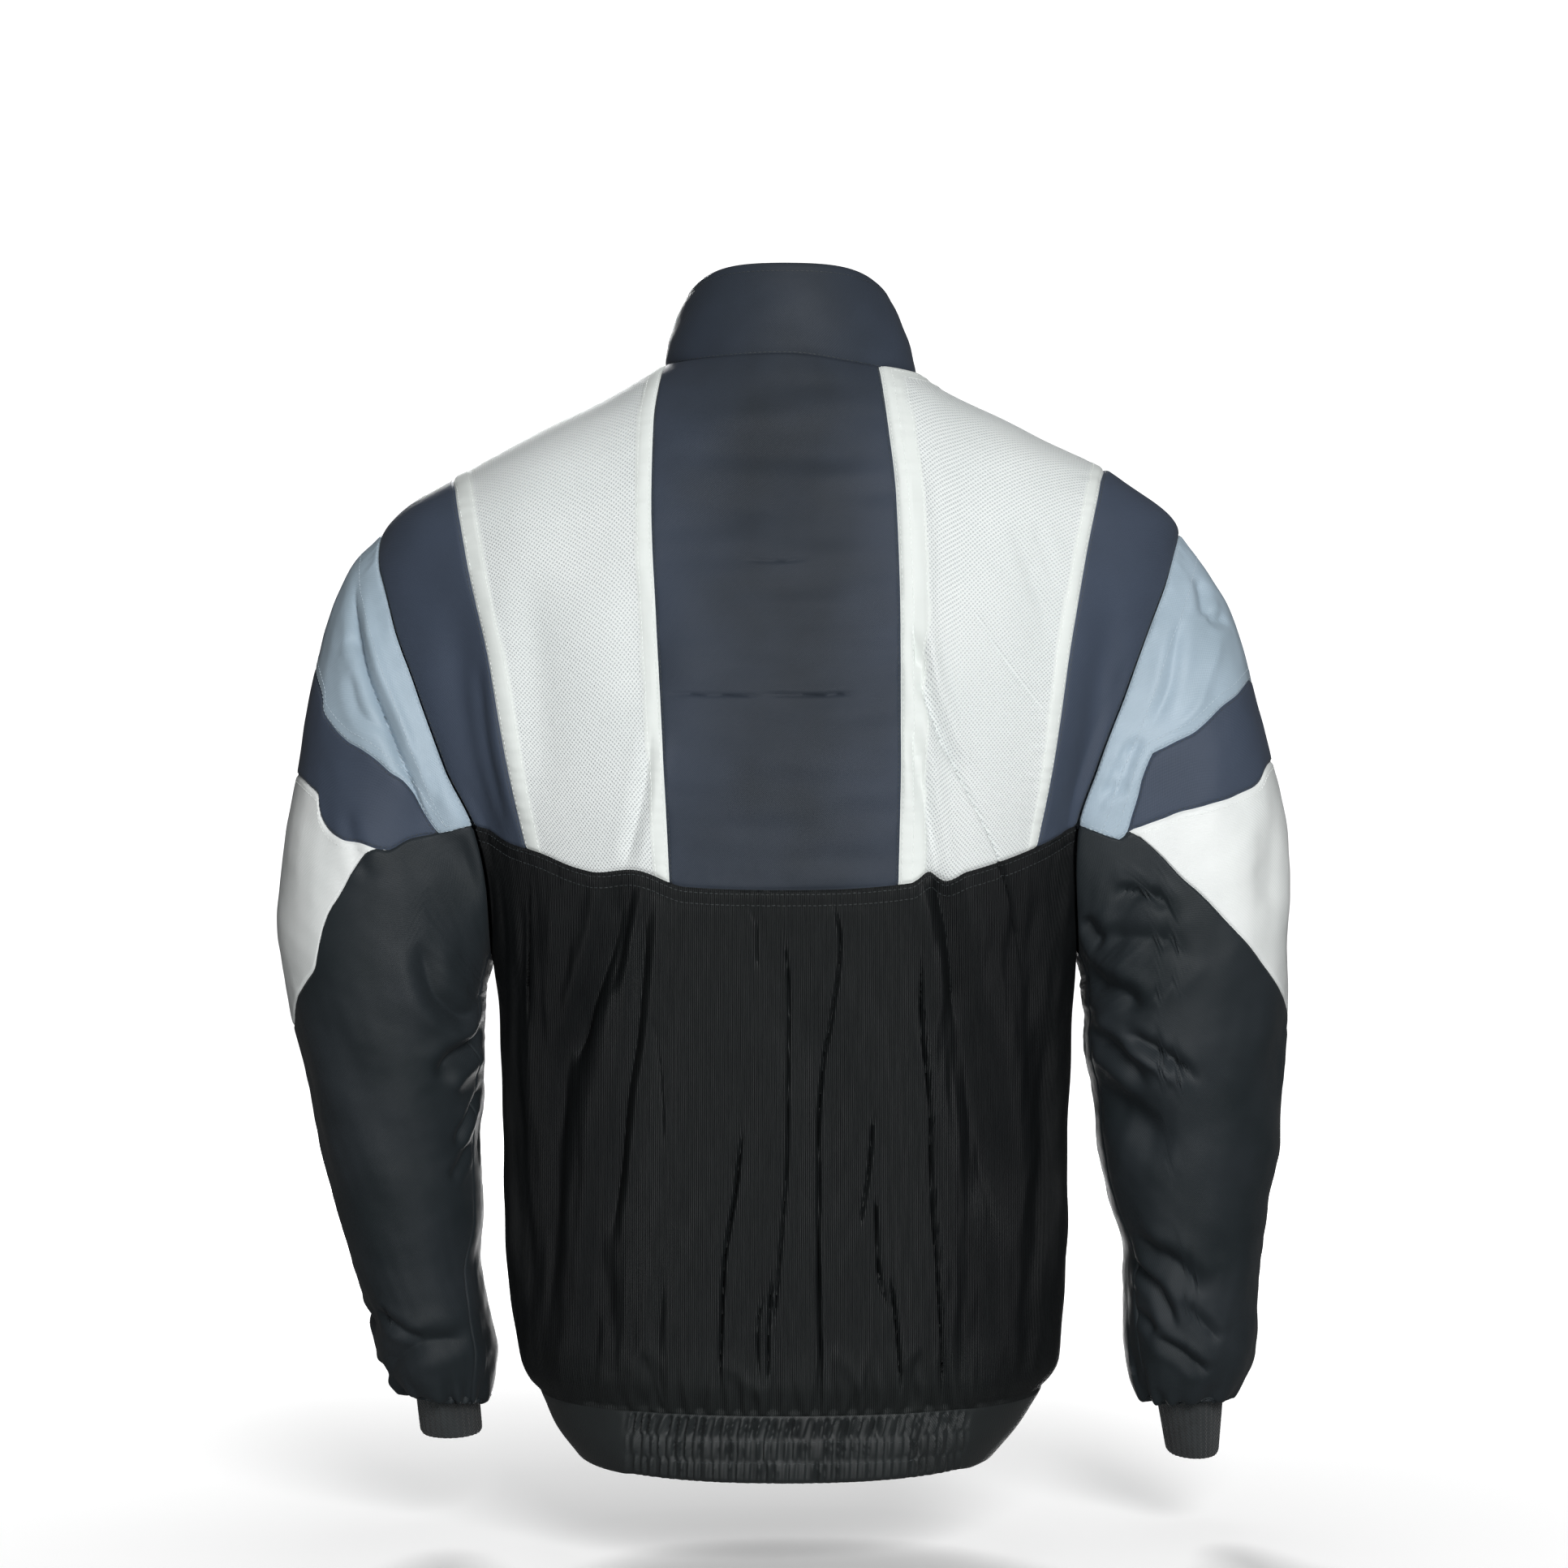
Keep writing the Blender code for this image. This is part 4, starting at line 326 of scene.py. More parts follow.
# The body's folds, as (kind, size, lean, path). The path's points are (distance to the wearer's left,
# height). size scales the kind's depth and ridge. lean is 0 where the cloth swells on both sides
# alike, and 1 or -1 where it swells only on one.
BODY_FOLDS = {
    "back": (
        # The pleats and hollows under the left mesh panel.
        ("pleat", 1.0, -0.6, ((0.097, -0.306), (0.104, -0.352), (0.112, -0.376), (0.122, -0.403),
                              (0.133, -0.440))),
        ("hollow", 1.3, 0, ((0.122, -0.350), (0.134, -0.420), (0.141, -0.485), (0.143, -0.560),
                              (0.140, -0.610))),
        ("fold", 0.7, 0, ((0.090, -0.312), (0.097, -0.351), (0.106, -0.392))),
        ("fold", 1.1, 0.5, ((0.080, -0.308), (0.085, -0.357), (0.089, -0.407), (0.095, -0.444),
                            (0.101, -0.493), (0.107, -0.545))),
        ("hollow", 0.8, 0, ((0.096, -0.420), (0.106, -0.490), (0.112, -0.560), (0.110, -0.635))),
        ("crease", 0.8, 0, ((0.156, -0.318), (0.157, -0.360), (0.156, -0.410))),
        # The middle of the lower back.
        ("crease", 0.5, 0, ((0.024, -0.330), (0.017, -0.345), (0.016, -0.374))),
        ("crease", 0.9, 0, ((0.002, -0.334), (-0.003, -0.389), (-0.002, -0.480), (0.002, -0.537),
                              (0.008, -0.605))),
        ("crease", 1.0, 0, ((-0.029, -0.328), (-0.034, -0.356), (-0.029, -0.398), (-0.023, -0.430))),
        ("crease", 1.5, 0, ((-0.026, -0.405), (-0.021, -0.470), (-0.021, -0.549), (-0.022, -0.645))),
        ("hollow", 0.75, 0, ((0.012, -0.325), (-0.009, -0.395), (-0.028, -0.462), (-0.025, -0.540),
                               (-0.014, -0.630))),
        ("crease", 1.2, 0, ((-0.054, -0.456), (-0.051, -0.492), (-0.045, -0.528))),
        ("crease", 1.4, 0, ((-0.055, -0.506), (-0.057, -0.554), (-0.065, -0.578))),
        ("crease", 1.5, 0, ((-0.064, -0.554), (-0.068, -0.589), (-0.071, -0.628))),
        ("crease", 1.5, 0, ((0.024, -0.458), (0.029, -0.503), (0.036, -0.549), (0.039, -0.626))),
        ("crease", 1.0, 0, ((0.006, -0.550), (0.009, -0.579), (0.010, -0.622))),
        ("crease", 0.8, 0, ((0.012, -0.560), (0.016, -0.590), (0.015, -0.625))),
        ("fold", 0.7, -0.3, ((0.072, -0.545), (0.076, -0.594), (0.074, -0.642))),
        ("ridge", 0.8, 0, ((0.117, -0.552), (0.112, -0.585), (0.109, -0.615))),
        ("crease", 0.5, 0, ((0.079, -0.400), (0.074, -0.440), (0.072, -0.480))),
        # The pleat under the right mesh panel, its broad hollow, and the long edge beside it.
        ("pleat", 1.1, -0.4, ((-0.088, -0.302), (-0.098, -0.337), (-0.104, -0.372), (-0.108, -0.410))),
        ("hollow", 1.4, 0.4, ((-0.102, -0.360), (-0.110, -0.412), (-0.117, -0.452), (-0.124, -0.490),
                              (-0.134, -0.545))),
        ("crease", 1.6, 0.5, ((-0.083, -0.345), (-0.083, -0.400), (-0.088, -0.458), (-0.089, -0.504),
                              (-0.092, -0.550), (-0.099, -0.640))),
        ("hollow", 0.7, 0, ((-0.112, -0.520), (-0.118, -0.570), (-0.113, -0.635))),
        ("hollow", 0.7, 0, ((-0.158, -0.400), (-0.160, -0.480), (-0.153, -0.580))),
        ("hollow", 0.7, 0, ((0.162, -0.420), (0.162, -0.510), (0.152, -0.600))),
        # The long thin crease from the right mesh panel into the lower back, and the folds beside it.
        ("crease", 0.9, -0.6, ((-0.076, -0.150), (-0.082, -0.196), (-0.094, -0.232), (-0.112, -0.268),
                               (-0.130, -0.305), (-0.140, -0.339), (-0.147, -0.378))),
        ("fold", 0.9, 0.5, ((-0.078, -0.165), (-0.085, -0.200), (-0.097, -0.235), (-0.110, -0.262))),
        ("fold", 0.8, 0.5, ((-0.074, -0.215), (-0.080, -0.245), (-0.088, -0.285), (-0.094, -0.322))),
        ("ridge", 1.3, 0, ((-0.083, -0.052), (-0.087, -0.120), (-0.089, -0.179), (-0.096, -0.220))),
        ("crease", 0.55, 0, ((-0.112, -0.150), (-0.134, -0.186), (-0.160, -0.220))),
        ("fold", 0.35, 0, ((-0.138, -0.096), (-0.149, -0.125), (-0.163, -0.166))),
        ("fold", 0.30, 0, ((-0.152, -0.100), (-0.159, -0.120), (-0.168, -0.146))),
        ("hollow", 0.35, 0, ((-0.140, -0.100), (-0.155, -0.150), (-0.166, -0.205))),
        ("fold", 0.6, 0.5, ((0.078, -0.222), (0.086, -0.270), (0.098, -0.318))),
        ("hollow", 0.35, 0, ((0.092, -0.120), (0.087, -0.180), (0.083, -0.235))),
        ("hollow", 0.45, 0, ((0.158, -0.110), (0.150, -0.200), (0.146, -0.290))),
        # The dark panels between the mesh and the armholes.
        ("hollow", 0.8, 0.4, ((0.205, -0.130), (0.200, -0.190), (0.188, -0.260), (0.178, -0.330))),
        ("hollow", 0.8, -0.4, ((-0.205, -0.130), (-0.196, -0.200), (-0.186, -0.260), (-0.174, -0.320))),
        ("fold", 0.5, 0, ((-0.212, -0.180), (-0.204, -0.240), (-0.190, -0.290))),
        ("fold", 0.5, 0, ((0.188, -0.180), (0.182, -0.235), (0.170, -0.290))),
        # Flat cross creases of the centre panel.
        ("crease", 0.45, 0.5, ((0.072, -0.206), (0.045, -0.207), (0.012, -0.2075))),
        ("crease", 0.55, 0.5, ((0.014, -0.2065), (-0.015, -0.207), (-0.044, -0.206))),
        ("crease", 0.35, 0.4, ((0.024, -0.125), (0.004, -0.126), (-0.015, -0.124))),
        ("hollow", 0.45, 0.4, ((0.080, -0.052), (0.033, -0.058), (-0.016, -0.055), (-0.064, -0.059))),
        ("hollow", 0.30, -0.3, ((0.074, -0.080), (0.023, -0.086), (-0.030, -0.082))),
        ("hollow", 0.25, 0, ((0.060, -0.102), (0.010, -0.099), (-0.030, -0.103))),
        # Short slanting ridges where the cloth is drawn into the elastic.
        ("ridge", 1.0, 0, ((0.040, -0.603), (0.026, -0.616), (0.012, -0.630))),
        ("ridge", 1.0, 0, ((-0.027, -0.597), (-0.038, -0.609), (-0.048, -0.628))),
        ("fold", 0.7, 0, ((0.086, -0.600), (0.081, -0.620), (0.084, -0.645))),
        ("fold", 0.7, 0, ((-0.083, -0.598), (-0.079, -0.620), (-0.083, -0.645))),
    ),
    "front": (
        ("hollow", 0.9, 0.3, ((0.148, -0.372), (0.143, -0.430), (0.139, -0.500), (0.143, -0.570))),
        ("fold", 1.0, -0.4, ((0.100, -0.330), (0.104, -0.410), (0.099, -0.480), (0.104, -0.560),
                             (0.108, -0.636))),
        ("fold", 0.6, 0, ((0.064, -0.300), (0.061, -0.360), (0.066, -0.430))),
        ("fold", 0.8, 0.4, ((0.070, -0.500), (0.066, -0.560), (0.071, -0.640))),
        ("hollow", 0.45, 0, ((0.036, -0.450), (0.039, -0.520), (0.034, -0.600))),
        ("pleat", 0.65, 0.3, ((0.190, -0.160), (0.178, -0.220), (0.158, -0.280), (0.140, -0.330))),
        ("fold", 0.7, 0, ((0.205, -0.210), (0.190, -0.270), (0.180, -0.320))),
        ("hollow", 0.4, 0, ((0.110, -0.110), (0.095, -0.170), (0.088, -0.240))),
        ("hollow", 0.9, -0.3, ((-0.145, -0.380), (-0.140, -0.450), (-0.144, -0.520), (-0.138, -0.590))),
        ("fold", 0.9, 0.4, ((-0.108, -0.310), (-0.102, -0.390), (-0.106, -0.470), (-0.100, -0.540))),
        ("fold", 0.8, 0, ((-0.078, -0.420), (-0.074, -0.500), (-0.080, -0.580), (-0.077, -0.640))),
        ("hollow", 0.4, 0, ((-0.048, -0.340), (-0.052, -0.400), (-0.047, -0.450))),
        ("fold", 0.6, -0.4, ((-0.038, -0.530), (-0.042, -0.590), (-0.037, -0.640))),
        ("pleat", 0.6, 0, ((-0.188, -0.170), (-0.174, -0.230), (-0.156, -0.285))),
        ("hollow", 0.4, 0, ((-0.120, -0.120), (-0.104, -0.190), (-0.096, -0.260))),
    ),
}

# Folds of the sleeves. Their paths are (degrees round the sleeve, row of the table of sections)
# points: the back is above 0 degrees and the front below.
SLEEVE_FOLDS = {
    "left": (
        ("fold", 1.2, 0.7, ((28, 0.7), (40, 1.05), (62, 1.30), (87, 1.35), (104, 1.42))),
        ("crease", 0.7, 0.7, ((28, 0.7), (40, 1.05), (62, 1.30), (87, 1.35), (104, 1.42))),
        ("fold", 0.9, 0, ((-36, 12.5), (-4, 12.8), (30, 13.2))),
        ("fold", 1.1, 0, ((-34, 14.5), (-2, 14.9), (30, 14.7))),
        ("fold", 0.5, 0, ((50, 1.75), (62, 1.95), (77, 1.45))),
        ("fold", 0.45, 0, ((42, 1.50), (52, 1.20))),
        ("hollow", 0.9, 0.4, ((88, 1.55), (104, 1.55), (118, 1.00), (136, 0.60))),
        ("pleat", 0.7, -0.6, ((112, 3.9), (119, 4.6), (128, 5.4), (146, 5.7), (163, 4.7))),
        ("pleat", 1.1, 0.4, ((178, 6.1), (160, 6.9), (145, 7.5), (122, 8.5))),
        ("fold", 1.0, 0.3, ((176, 8.6), (168, 8.8), (151, 9.4), (138, 9.9))),
        ("fold", 0.6, 0, ((160, 9.8), (148, 10.1), (130, 10.5))),
        ("pleat", 0.6, 0.5, ((28, 14.8), (60, 14.0), (95, 13.4), (135, 13.3))),
        ("fold", 0.7, 0, ((40, 12.7), (66, 13.0), (90, 13.4))),
        ("hollow", 0.35, 0, ((20, 8.2), (24, 9.6), (28, 11.0))),
        ("fold", 0.45, 0, ((66, 3.4), (82, 3.9), (92, 3.6))),
        ("fold", 0.45, 0, ((96, 0.35), (99, 0.80), (101, 1.20))),
        ("fold", 0.40, 0, ((91, 0.45), (94, 0.85), (97, 1.25))),
        ("fold", 0.35, 0, ((86, 0.50), (88, 0.85), (92, 1.20))),
        ("fold", 0.8, 0.5, ((-40, 0.9), (-62, 1.2), (-90, 1.3))),
        ("pleat", 0.9, 0.4, ((-172, 5.4), (-140, 6.4), (-112, 7.8))),
        ("pleat", 0.6, 0, ((-170, 7.8), (-146, 8.6), (-124, 9.4))),
        ("hollow", 0.55, 0, ((-100, 4.4), (-84, 5.8), (-70, 7.4))),
        ("fold", 1.0, 0.3, ((-135, 11.4), (-104, 11.9), (-76, 12.6))),
        ("fold", 0.8, 0, ((-118, 13.0), (-92, 13.5), (-60, 14.0))),
    ),
    "right": (
        ("fold", 1.0, 0.5, ((122, 1.65), (114, 2.5), (105, 3.40), (99, 4.3))),
        ("pleat", 0.7, 0, ((140, 0.5), (141, 1.4), (139, 2.4))),
        ("pleat", 0.6, 0.4, ((140, 2.1), (126, 3.2), (114, 4.15), (90, 5.55))),
        ("pleat", 0.8, 0.5, ((161, 2.4), (150, 3.9), (137, 4.9), (119, 6.3))),
        ("fold", 1.5, -0.5, ((136, 6.6), (125, 7.05), (106, 7.8), (88, 8.5))),
        ("pleat", 0.8, 0.4, ((164, 6.2), (150, 6.9), (134, 7.65), (117, 8.6))),
        ("hollow", 1.2, 0.3, ((164, 8.3), (146, 8.9), (129, 9.3), (107, 10.2))),
        ("ridge", 1.0, 0, ((122, 6.1), (101, 6.05), (84, 5.95))),
        ("pleat", 0.7, 0.4, ((150, 11.4), (130, 11.7), (113, 11.85), (83, 12.4))),
        ("fold", 1.2, 0, ((162, 11.9), (143, 12.1), (127, 12.3), (104, 13.0))),
        ("fold", 0.8, 0.4, ((108, 12.4), (90, 12.8), (70, 13.3))),
        ("fold", 1.0, 0.4, ((130, 13.1), (104, 13.55), (78, 14.3))),
        ("fold", 0.7, 0, ((153, 12.7), (140, 12.8), (125, 13.1))),
        ("fold", 0.9, 0, ((8, 7.6), (14, 8.3), (12, 9.2))),
        ("fold", 0.8, -0.5, ((24, 0.8), (30, 1.1), (37, 1.30))),
        ("fold", 0.7, 0, ((36, 1.30), (30, 1.55), (22, 1.72))),
        ("ridge", 0.9, 0, ((28, 1.7), (48, 1.80), (61, 1.85), (79, 1.40))),
        ("fold", 0.6, 0, ((44, 0.65), (56, 0.9), (68, 1.12), (80, 1.12))),
        ("hollow", 0.4, 0, ((40, 4.2), (44, 5.2), (52, 6.0))),
        ("fold", 0.85, 0, ((100, 0.35), (97, 0.80), (93, 1.15))),
        ("fold", 0.80, 0, ((95, 0.40), (92, 0.80), (88, 1.10))),
        ("fold", 0.70, 0, ((90, 0.45), (87, 0.80), (83, 1.05))),
        ("fold", 0.8, 0.5, ((-44, 0.8), (-64, 1.2), (-88, 1.3))),
        ("pleat", 0.9, 0.4, ((-170, 5.8), (-138, 6.8), (-108, 8.1))),
        ("pleat", 0.6, 0, ((-165, 8.0), (-140, 8.7), (-118, 9.7))),
        ("hollow", 0.55, 0, ((-104, 4.2), (-88, 5.4), (-72, 6.9))),
        ("fold", 1.0, 0.3, ((-140, 11.6), (-110, 12.0), (-80, 12.5))),
        ("fold", 0.8, 0, ((-120, 13.2), (-94, 13.6), (-66, 14.2))),
    ),
}
SLEEVE_SEAM_ANGLE = 164.0  # the long seam under the arm, at the armhole
SEAM_TURN = {  # it turns to the back towards the cuff: degrees by row
    "left": ((0, 0), (9, 0), (11, -7), (13, -28), (15, -33), (18, -36)),
    "right": ((0, 0), (9, 0), (11, -5), (13, -16), (15, -24), (18, -28)),
}
SEAM_TURN_REACH = 150.0  # degrees from the seam over which that turn fades


# ---- reading a table smoothly


def column(rows, columns, name):
    """One column of a table as an array."""
    return np.array([row[columns.index(name)] for row in rows], float)


def smooth_read(xs, ys, x):
    """Reads ys at x on a curve through the rows that never overshoots them."""
    x = np.clip(np.asarray(x, float), xs[0], xs[-1])
    step = np.diff(xs)
    slope = np.diff(ys) / step
    inner = np.zeros(len(xs) - 2)
    same_way = slope[:-1] * slope[1:] > 0
    weight_a = 2 * step[1:] + step[:-1]
    weight_b = step[1:] + 2 * step[:-1]
    mean = (weight_a + weight_b) / (
        weight_a / np.where(same_way, slope[:-1], 1) + weight_b / np.where(same_way, slope[1:], 1)
    )
    inner[same_way] = mean[same_way]
    tangent = np.concatenate([[slope[0]], inner, [slope[-1]]])
    k = np.clip(np.searchsorted(xs, x, side="right") - 1, 0, len(step) - 1)
    u = (x - xs[k]) / step[k]
    return (
        (1 + 2 * u) * (1 - u) ** 2 * ys[k]
        + u * (1 - u) ** 2 * step[k] * tangent[k]
        + u * u * (3 - 2 * u) * ys[k + 1]
        + u * u * (u - 1) * step[k] * tangent[k + 1]
    )


def ease(x):
    """0 below 0, 1 above 1, and a soft step between."""
    x = np.clip(x, 0, 1)
    return x * x * (3 - 2 * x)


def bump(x):
    """1 at 0, falling softly to 0 at 1 either way."""
    return ease(1 - np.abs(x))


def run_length(points):
    """Distance along a run of points from its start."""
    steps = np.linalg.norm(np.diff(points, axis=0), axis=-1)
    return np.concatenate([[0], np.cumsum(steps)])


def lengthwise(points):
    """Share of the way along a run of points, 0 at its start and 1 at its end."""
    along = run_length(points)
    return along / along[-1]


def read_along(points, length, stops):
    """The points at these stops of a run, whose own points lie at these lengths."""
    return np.stack([np.interp(stops, length, points[:, k]) for k in range(points.shape[1])], axis=1)


def resample(points, shares):
    """The points at these shares of a run's length."""
    return read_along(points, lengthwise(points), shares)


def curve_through(points, count=28):
    """A smooth curve through a few points."""
    points = np.array(points, float)
    along = lengthwise(points)
    shares = np.linspace(0, 1, count)
    return np.stack([smooth_read(along, points[:, k], shares) for k in range(points.shape[1])], axis=1)


def signed_power(value, power):
    return np.sign(value) * np.abs(value) ** power


def rumple(u, v, size_u, size_v, seed, waves=16):
    """Smooth uneven ups and downs, mostly between -1 and 1, of about this size in metres."""
    chance = np.random.default_rng(seed)
    total = np.zeros(np.broadcast(u, v).shape)
    for _ in range(waves):
        turn, phase = chance.uniform(0, 2 * np.pi, 2)
        pace = 2 * np.pi * chance.uniform(0.55, 1.45)
        total += np.sin(pace * (np.cos(turn) * u / size_u + np.sin(turn) * v / size_v) + phase)
    return total / math.sqrt(2 * waves)


# ---- the torso's form

TORSO_HEIGHTS = column(TORSO, TORSO_COLUMNS, "height")
TORSO_VALUES = {name: column(TORSO, TORSO_COLUMNS, name) for name in TORSO_COLUMNS[1:]}


def torso_size(name, z):
    """One of the table's sizes at these heights."""
    return smooth_read(TORSO_HEIGHTS, TORSO_VALUES[name], z)


def torso_width(x, z):
    """The half width at this height, on the side where x lies."""
    return np.where(x > 0, torso_size("left", z), torso_size("right", z))


def torso_depth(y, z):
    """The depth at this height, on the side where y lies."""
    return np.where(y > 0, torso_size("back", z), torso_size("front", z))


def torso_excess(p):
    """Below 0 inside the torso's form, 0 on it and above 0 outside, for rows of points."""
    x, y, z = p[..., 0], p[..., 1], p[..., 2]
    power = torso_size("square", z)
    return (np.abs(x) / torso_width(x, z)) ** power + (np.abs(y) / torso_depth(y, z)) ** power - 1


def torso_slope(p, step=2e-4):
    """The direction in which torso_excess grows, for rows of points."""
    slope = np.zeros_like(p)
    for k in range(3):
        shift = np.zeros(3)
        shift[k] = step
        slope[..., k] = (torso_excess(p + shift) - torso_excess(p - shift)) / (2 * step)
    return slope


def onto_torso(p, rounds=7):
    """Points near the torso's form, moved onto it."""
    p = np.array(p, float)
    for _ in range(rounds):
        slope = torso_slope(p)
        move = torso_excess(p) / np.maximum((slope**2).sum(-1), 1e-9)
        p = p - np.clip(move, -1e-2, 1e-2)[..., None] * slope
    return p


def torso_outward(p):
    """The direction out of the torso's form, at rows of points."""
    slope = torso_slope(p)
    return slope / np.linalg.norm(slope, axis=-1, keepdims=True)


def at_depth(x, z, facing):
    """The point of the form at this x and height, on the back (facing 1) or the front (-1)."""
    x, z = np.broadcast_arrays(np.asarray(x, float), np.asarray(z, float))
    power = torso_size("square", z)
    share = np.maximum(1 - (np.abs(x) / torso_width(x, z)) ** power, 0) ** (1 / power)
    return np.stack([x, facing * torso_depth(facing, z) * share, z], axis=-1)


def over_shoulder(x, y):
    """The point of the shoulder above x and y."""
    x, y = np.broadcast_arrays(np.asarray(x, float), np.asarray(y, float))
    low = np.full(x.shape, -0.20)
    high = np.full(x.shape, TORSO[-1][0])
    for _ in range(40):
        middle = (low + high) / 2
        inside = torso_excess(np.stack([x, y, middle], axis=-1)) < 0
        low = np.where(inside, middle, low)
        high = np.where(inside, high, middle)
    return np.stack([x, y, low], axis=-1)


def side_sign(side):
    return 1 if side == "left" else -1


def armhole_curve(side, angle):
    """The armhole seam: angle 0 at the shoulder tip, positive down the back, 180 at the underarm."""
    turn = np.radians(np.asarray(angle, float))
    height = (SHOULDER_TIP + UNDERARM) / 2 + (SHOULDER_TIP - UNDERARM) / 2 * np.cos(turn)
    opening = ARMHOLE_OPEN * np.abs(np.sin(turn))
    power = torso_size("square", height)
    width = torso_size(side, height) * (1 - opening**power) ** (1 / power)
    depth = torso_depth(np.sin(turn), height)
    return np.stack([side_sign(side) * width, np.sign(turn) * depth * opening, height], axis=-1)


# ---- seam lines of the body


def neckline(turn):
    """The neck seam: turn 0 at the centre back, positive to the wearer's left, 180 at the zip."""
    turn = np.radians(np.asarray(turn, float))
    width = np.where(np.sin(turn) > 0, NECK_HALF_WIDTH["left"], NECK_HALF_WIDTH["right"])
    depth = np.where(np.cos(turn) > 0, NECK_DEPTH["back"], NECK_DEPTH["front"])
    return over_shoulder(width * np.sin(turn), depth * np.cos(turn))


def zip_turn(side):
    """Degrees round the neck where the front's edge meets it."""
    return 180.0 - math.degrees(math.asin(ZIP_HALF_GAP / NECK_HALF_WIDTH[side]))


def ring(height, first, last):
    """A level line round the torso. Turns are in degrees, 0 at the back, positive to the left."""
    turn = np.radians(np.linspace(first, last, 400))
    power = 2 / torso_size("square", height)
    x = signed_power(np.sin(turn), power) * torso_width(np.sin(turn), height)
    y = signed_power(np.cos(turn), power) * torso_depth(np.cos(turn), height)
    return np.stack([x, y, np.full_like(x, height)], axis=-1)


def back_ring(height):
    """A level line round the back, from side seam to side seam."""
    return ring(height, -90, 90)


def front_ring(side, height):
    """A level line from the side seam to the zip."""
    power = torso_size("square", height) / 2
    share = (ZIP_HALF_GAP / torso_size(side, height)) ** power
    last = 180.0 - math.degrees(math.asin(share))
    return ring(height, side_sign(side) * 90, side_sign(side) * last)


def yoke_height(x):
    """The height of the yoke seam at these distances to the wearer's left."""
    ends = armhole_curve("right", YOKE_ANGLE), armhole_curve("left", YOKE_ANGLE)
    share = np.where(x > 0, x / ends[1][0], x / ends[0][0])
    height = ends[1][2] - YOKE_DIP * (1 - np.abs(share) ** YOKE_BEND)
    for middle, rise, half_width in YOKE_SCALLOPS:
        height = height + rise * bump((x - middle) / (2 * half_width))
    return height


def yoke_line(first, last):
    """The seam across the back between two distances to the wearer's left."""
    x = np.linspace(first, last, 300)
    return at_depth(x, yoke_height(x), 1)


def yoke_end(side):
    return armhole_curve(side, YOKE_ANGLE)[0]


def shoulder_line(side):
    """The shoulder seam, from the neck to the armhole."""
    start = neckline(side_sign(side) * NECK_SIDE_TURN)
    end = armhole_curve(side, SHOULDER_SEAM_ANGLE)
    line = onto_torso(start + np.linspace(0, 1, 120)[:, None] * (end - start))
    line[0], line[-1] = start, end
    return line


def block_corner(side):
    """The share of the shoulder seam's length where the mesh panel ends."""
    line = shoulder_line(side)
    outer = column(BLOCKS, BLOCK_COLUMNS, f"outer_{side}")[-1]
    return float(np.interp(outer, np.abs(line[:, 0]), lengthwise(line)))


def block_edge(side, edge, top):
    """An edge of the mesh panel, from its point on the yoke seam up to its point at the top."""
    rises = column(BLOCKS, BLOCK_COLUMNS, "rise")
    places = column(BLOCKS, BLOCK_COLUMNS, f"{edge}_{side}")
    low = side_sign(side) * places[0]
    bottom = at_depth(low, yoke_height(low), 1)
    rise = np.linspace(0, 1, 160)
    height = bottom[2] + (top[2] - EDGE_TURN - bottom[2]) * rise
    up_the_back = at_depth(side_sign(side) * smooth_read(rises, places, rise), height, 1)
    over = up_the_back[-1] + np.linspace(0, 1, 30)[1:, None] * (top - up_the_back[-1])
    line = np.concatenate([up_the_back, onto_torso(over)])
    line[-1] = top
    return line


def armhole_run(side, first, last):
    return armhole_curve(side, np.linspace(first, last, 240))


def side_line(side, height, angle):
    """The side seam from this height to the underarm, and on up the armhole to this angle."""
    heights = np.linspace(height, UNDERARM, 60)[:-1]
    seam = np.stack([side_sign(side) * torso_size(side, heights), 0 * heights, heights], axis=1)
    return np.concatenate([seam, armhole_run(side, math.copysign(180, angle), angle)])


# ---- sheets between seam lines


def spaced(length, step=GRID_STEP, first=SEAM_ROWS, last=SEAM_ROWS):
    """Shares along a run: the given distances beside each end, then a step apart."""
    open_length = length - first[-1] - last[-1]
    count = max(2, round(open_length / step))
    middle = first[-1] + open_length * np.arange(1, count) / count
    return np.concatenate([first, middle, length - np.array(last)[::-1]]) / length


def spaced_for_creases(length):
    """Shares along a line round the back: a fine step in the middle and a wider one beside it."""
    fine, wide = CREASE_STEP[0], 2 * CREASE_STEP[0]
    start = length / 2 - CREASE_ZONE
    side = start * spaced(start, wide, last=(0.0,))
    middle = np.linspace(start, length - start, round(2 * CREASE_ZONE / fine) + 1)
    return np.concatenate([side[:-1], middle, length - side[-2::-1]]) / length


def stretched(bottom, top, first, last, pull=1):
    """Points between four lines: bottom and top run across, first and last run from bottom to top.

    pull says how close to its edge an end line's bend stays: 1 spreads it over the whole sheet.
    """
    across = ((lengthwise(bottom) + lengthwise(top)) / 2)[None, :, None]
    up = ((lengthwise(first) + lengthwise(last)) / 2)[:, None, None]
    grid = (1 - up) * bottom + up * top
    from_first = first[:, None] - (1 - up) * bottom[0] - up * top[0]
    from_last = last[:, None] - (1 - up) * bottom[-1] - up * top[-1]
    grid = grid + (1 - across) ** pull * from_first + across**pull * from_last
    grid[1:-1, 1:-1] = onto_torso(grid[1:-1, 1:-1])
    return grid


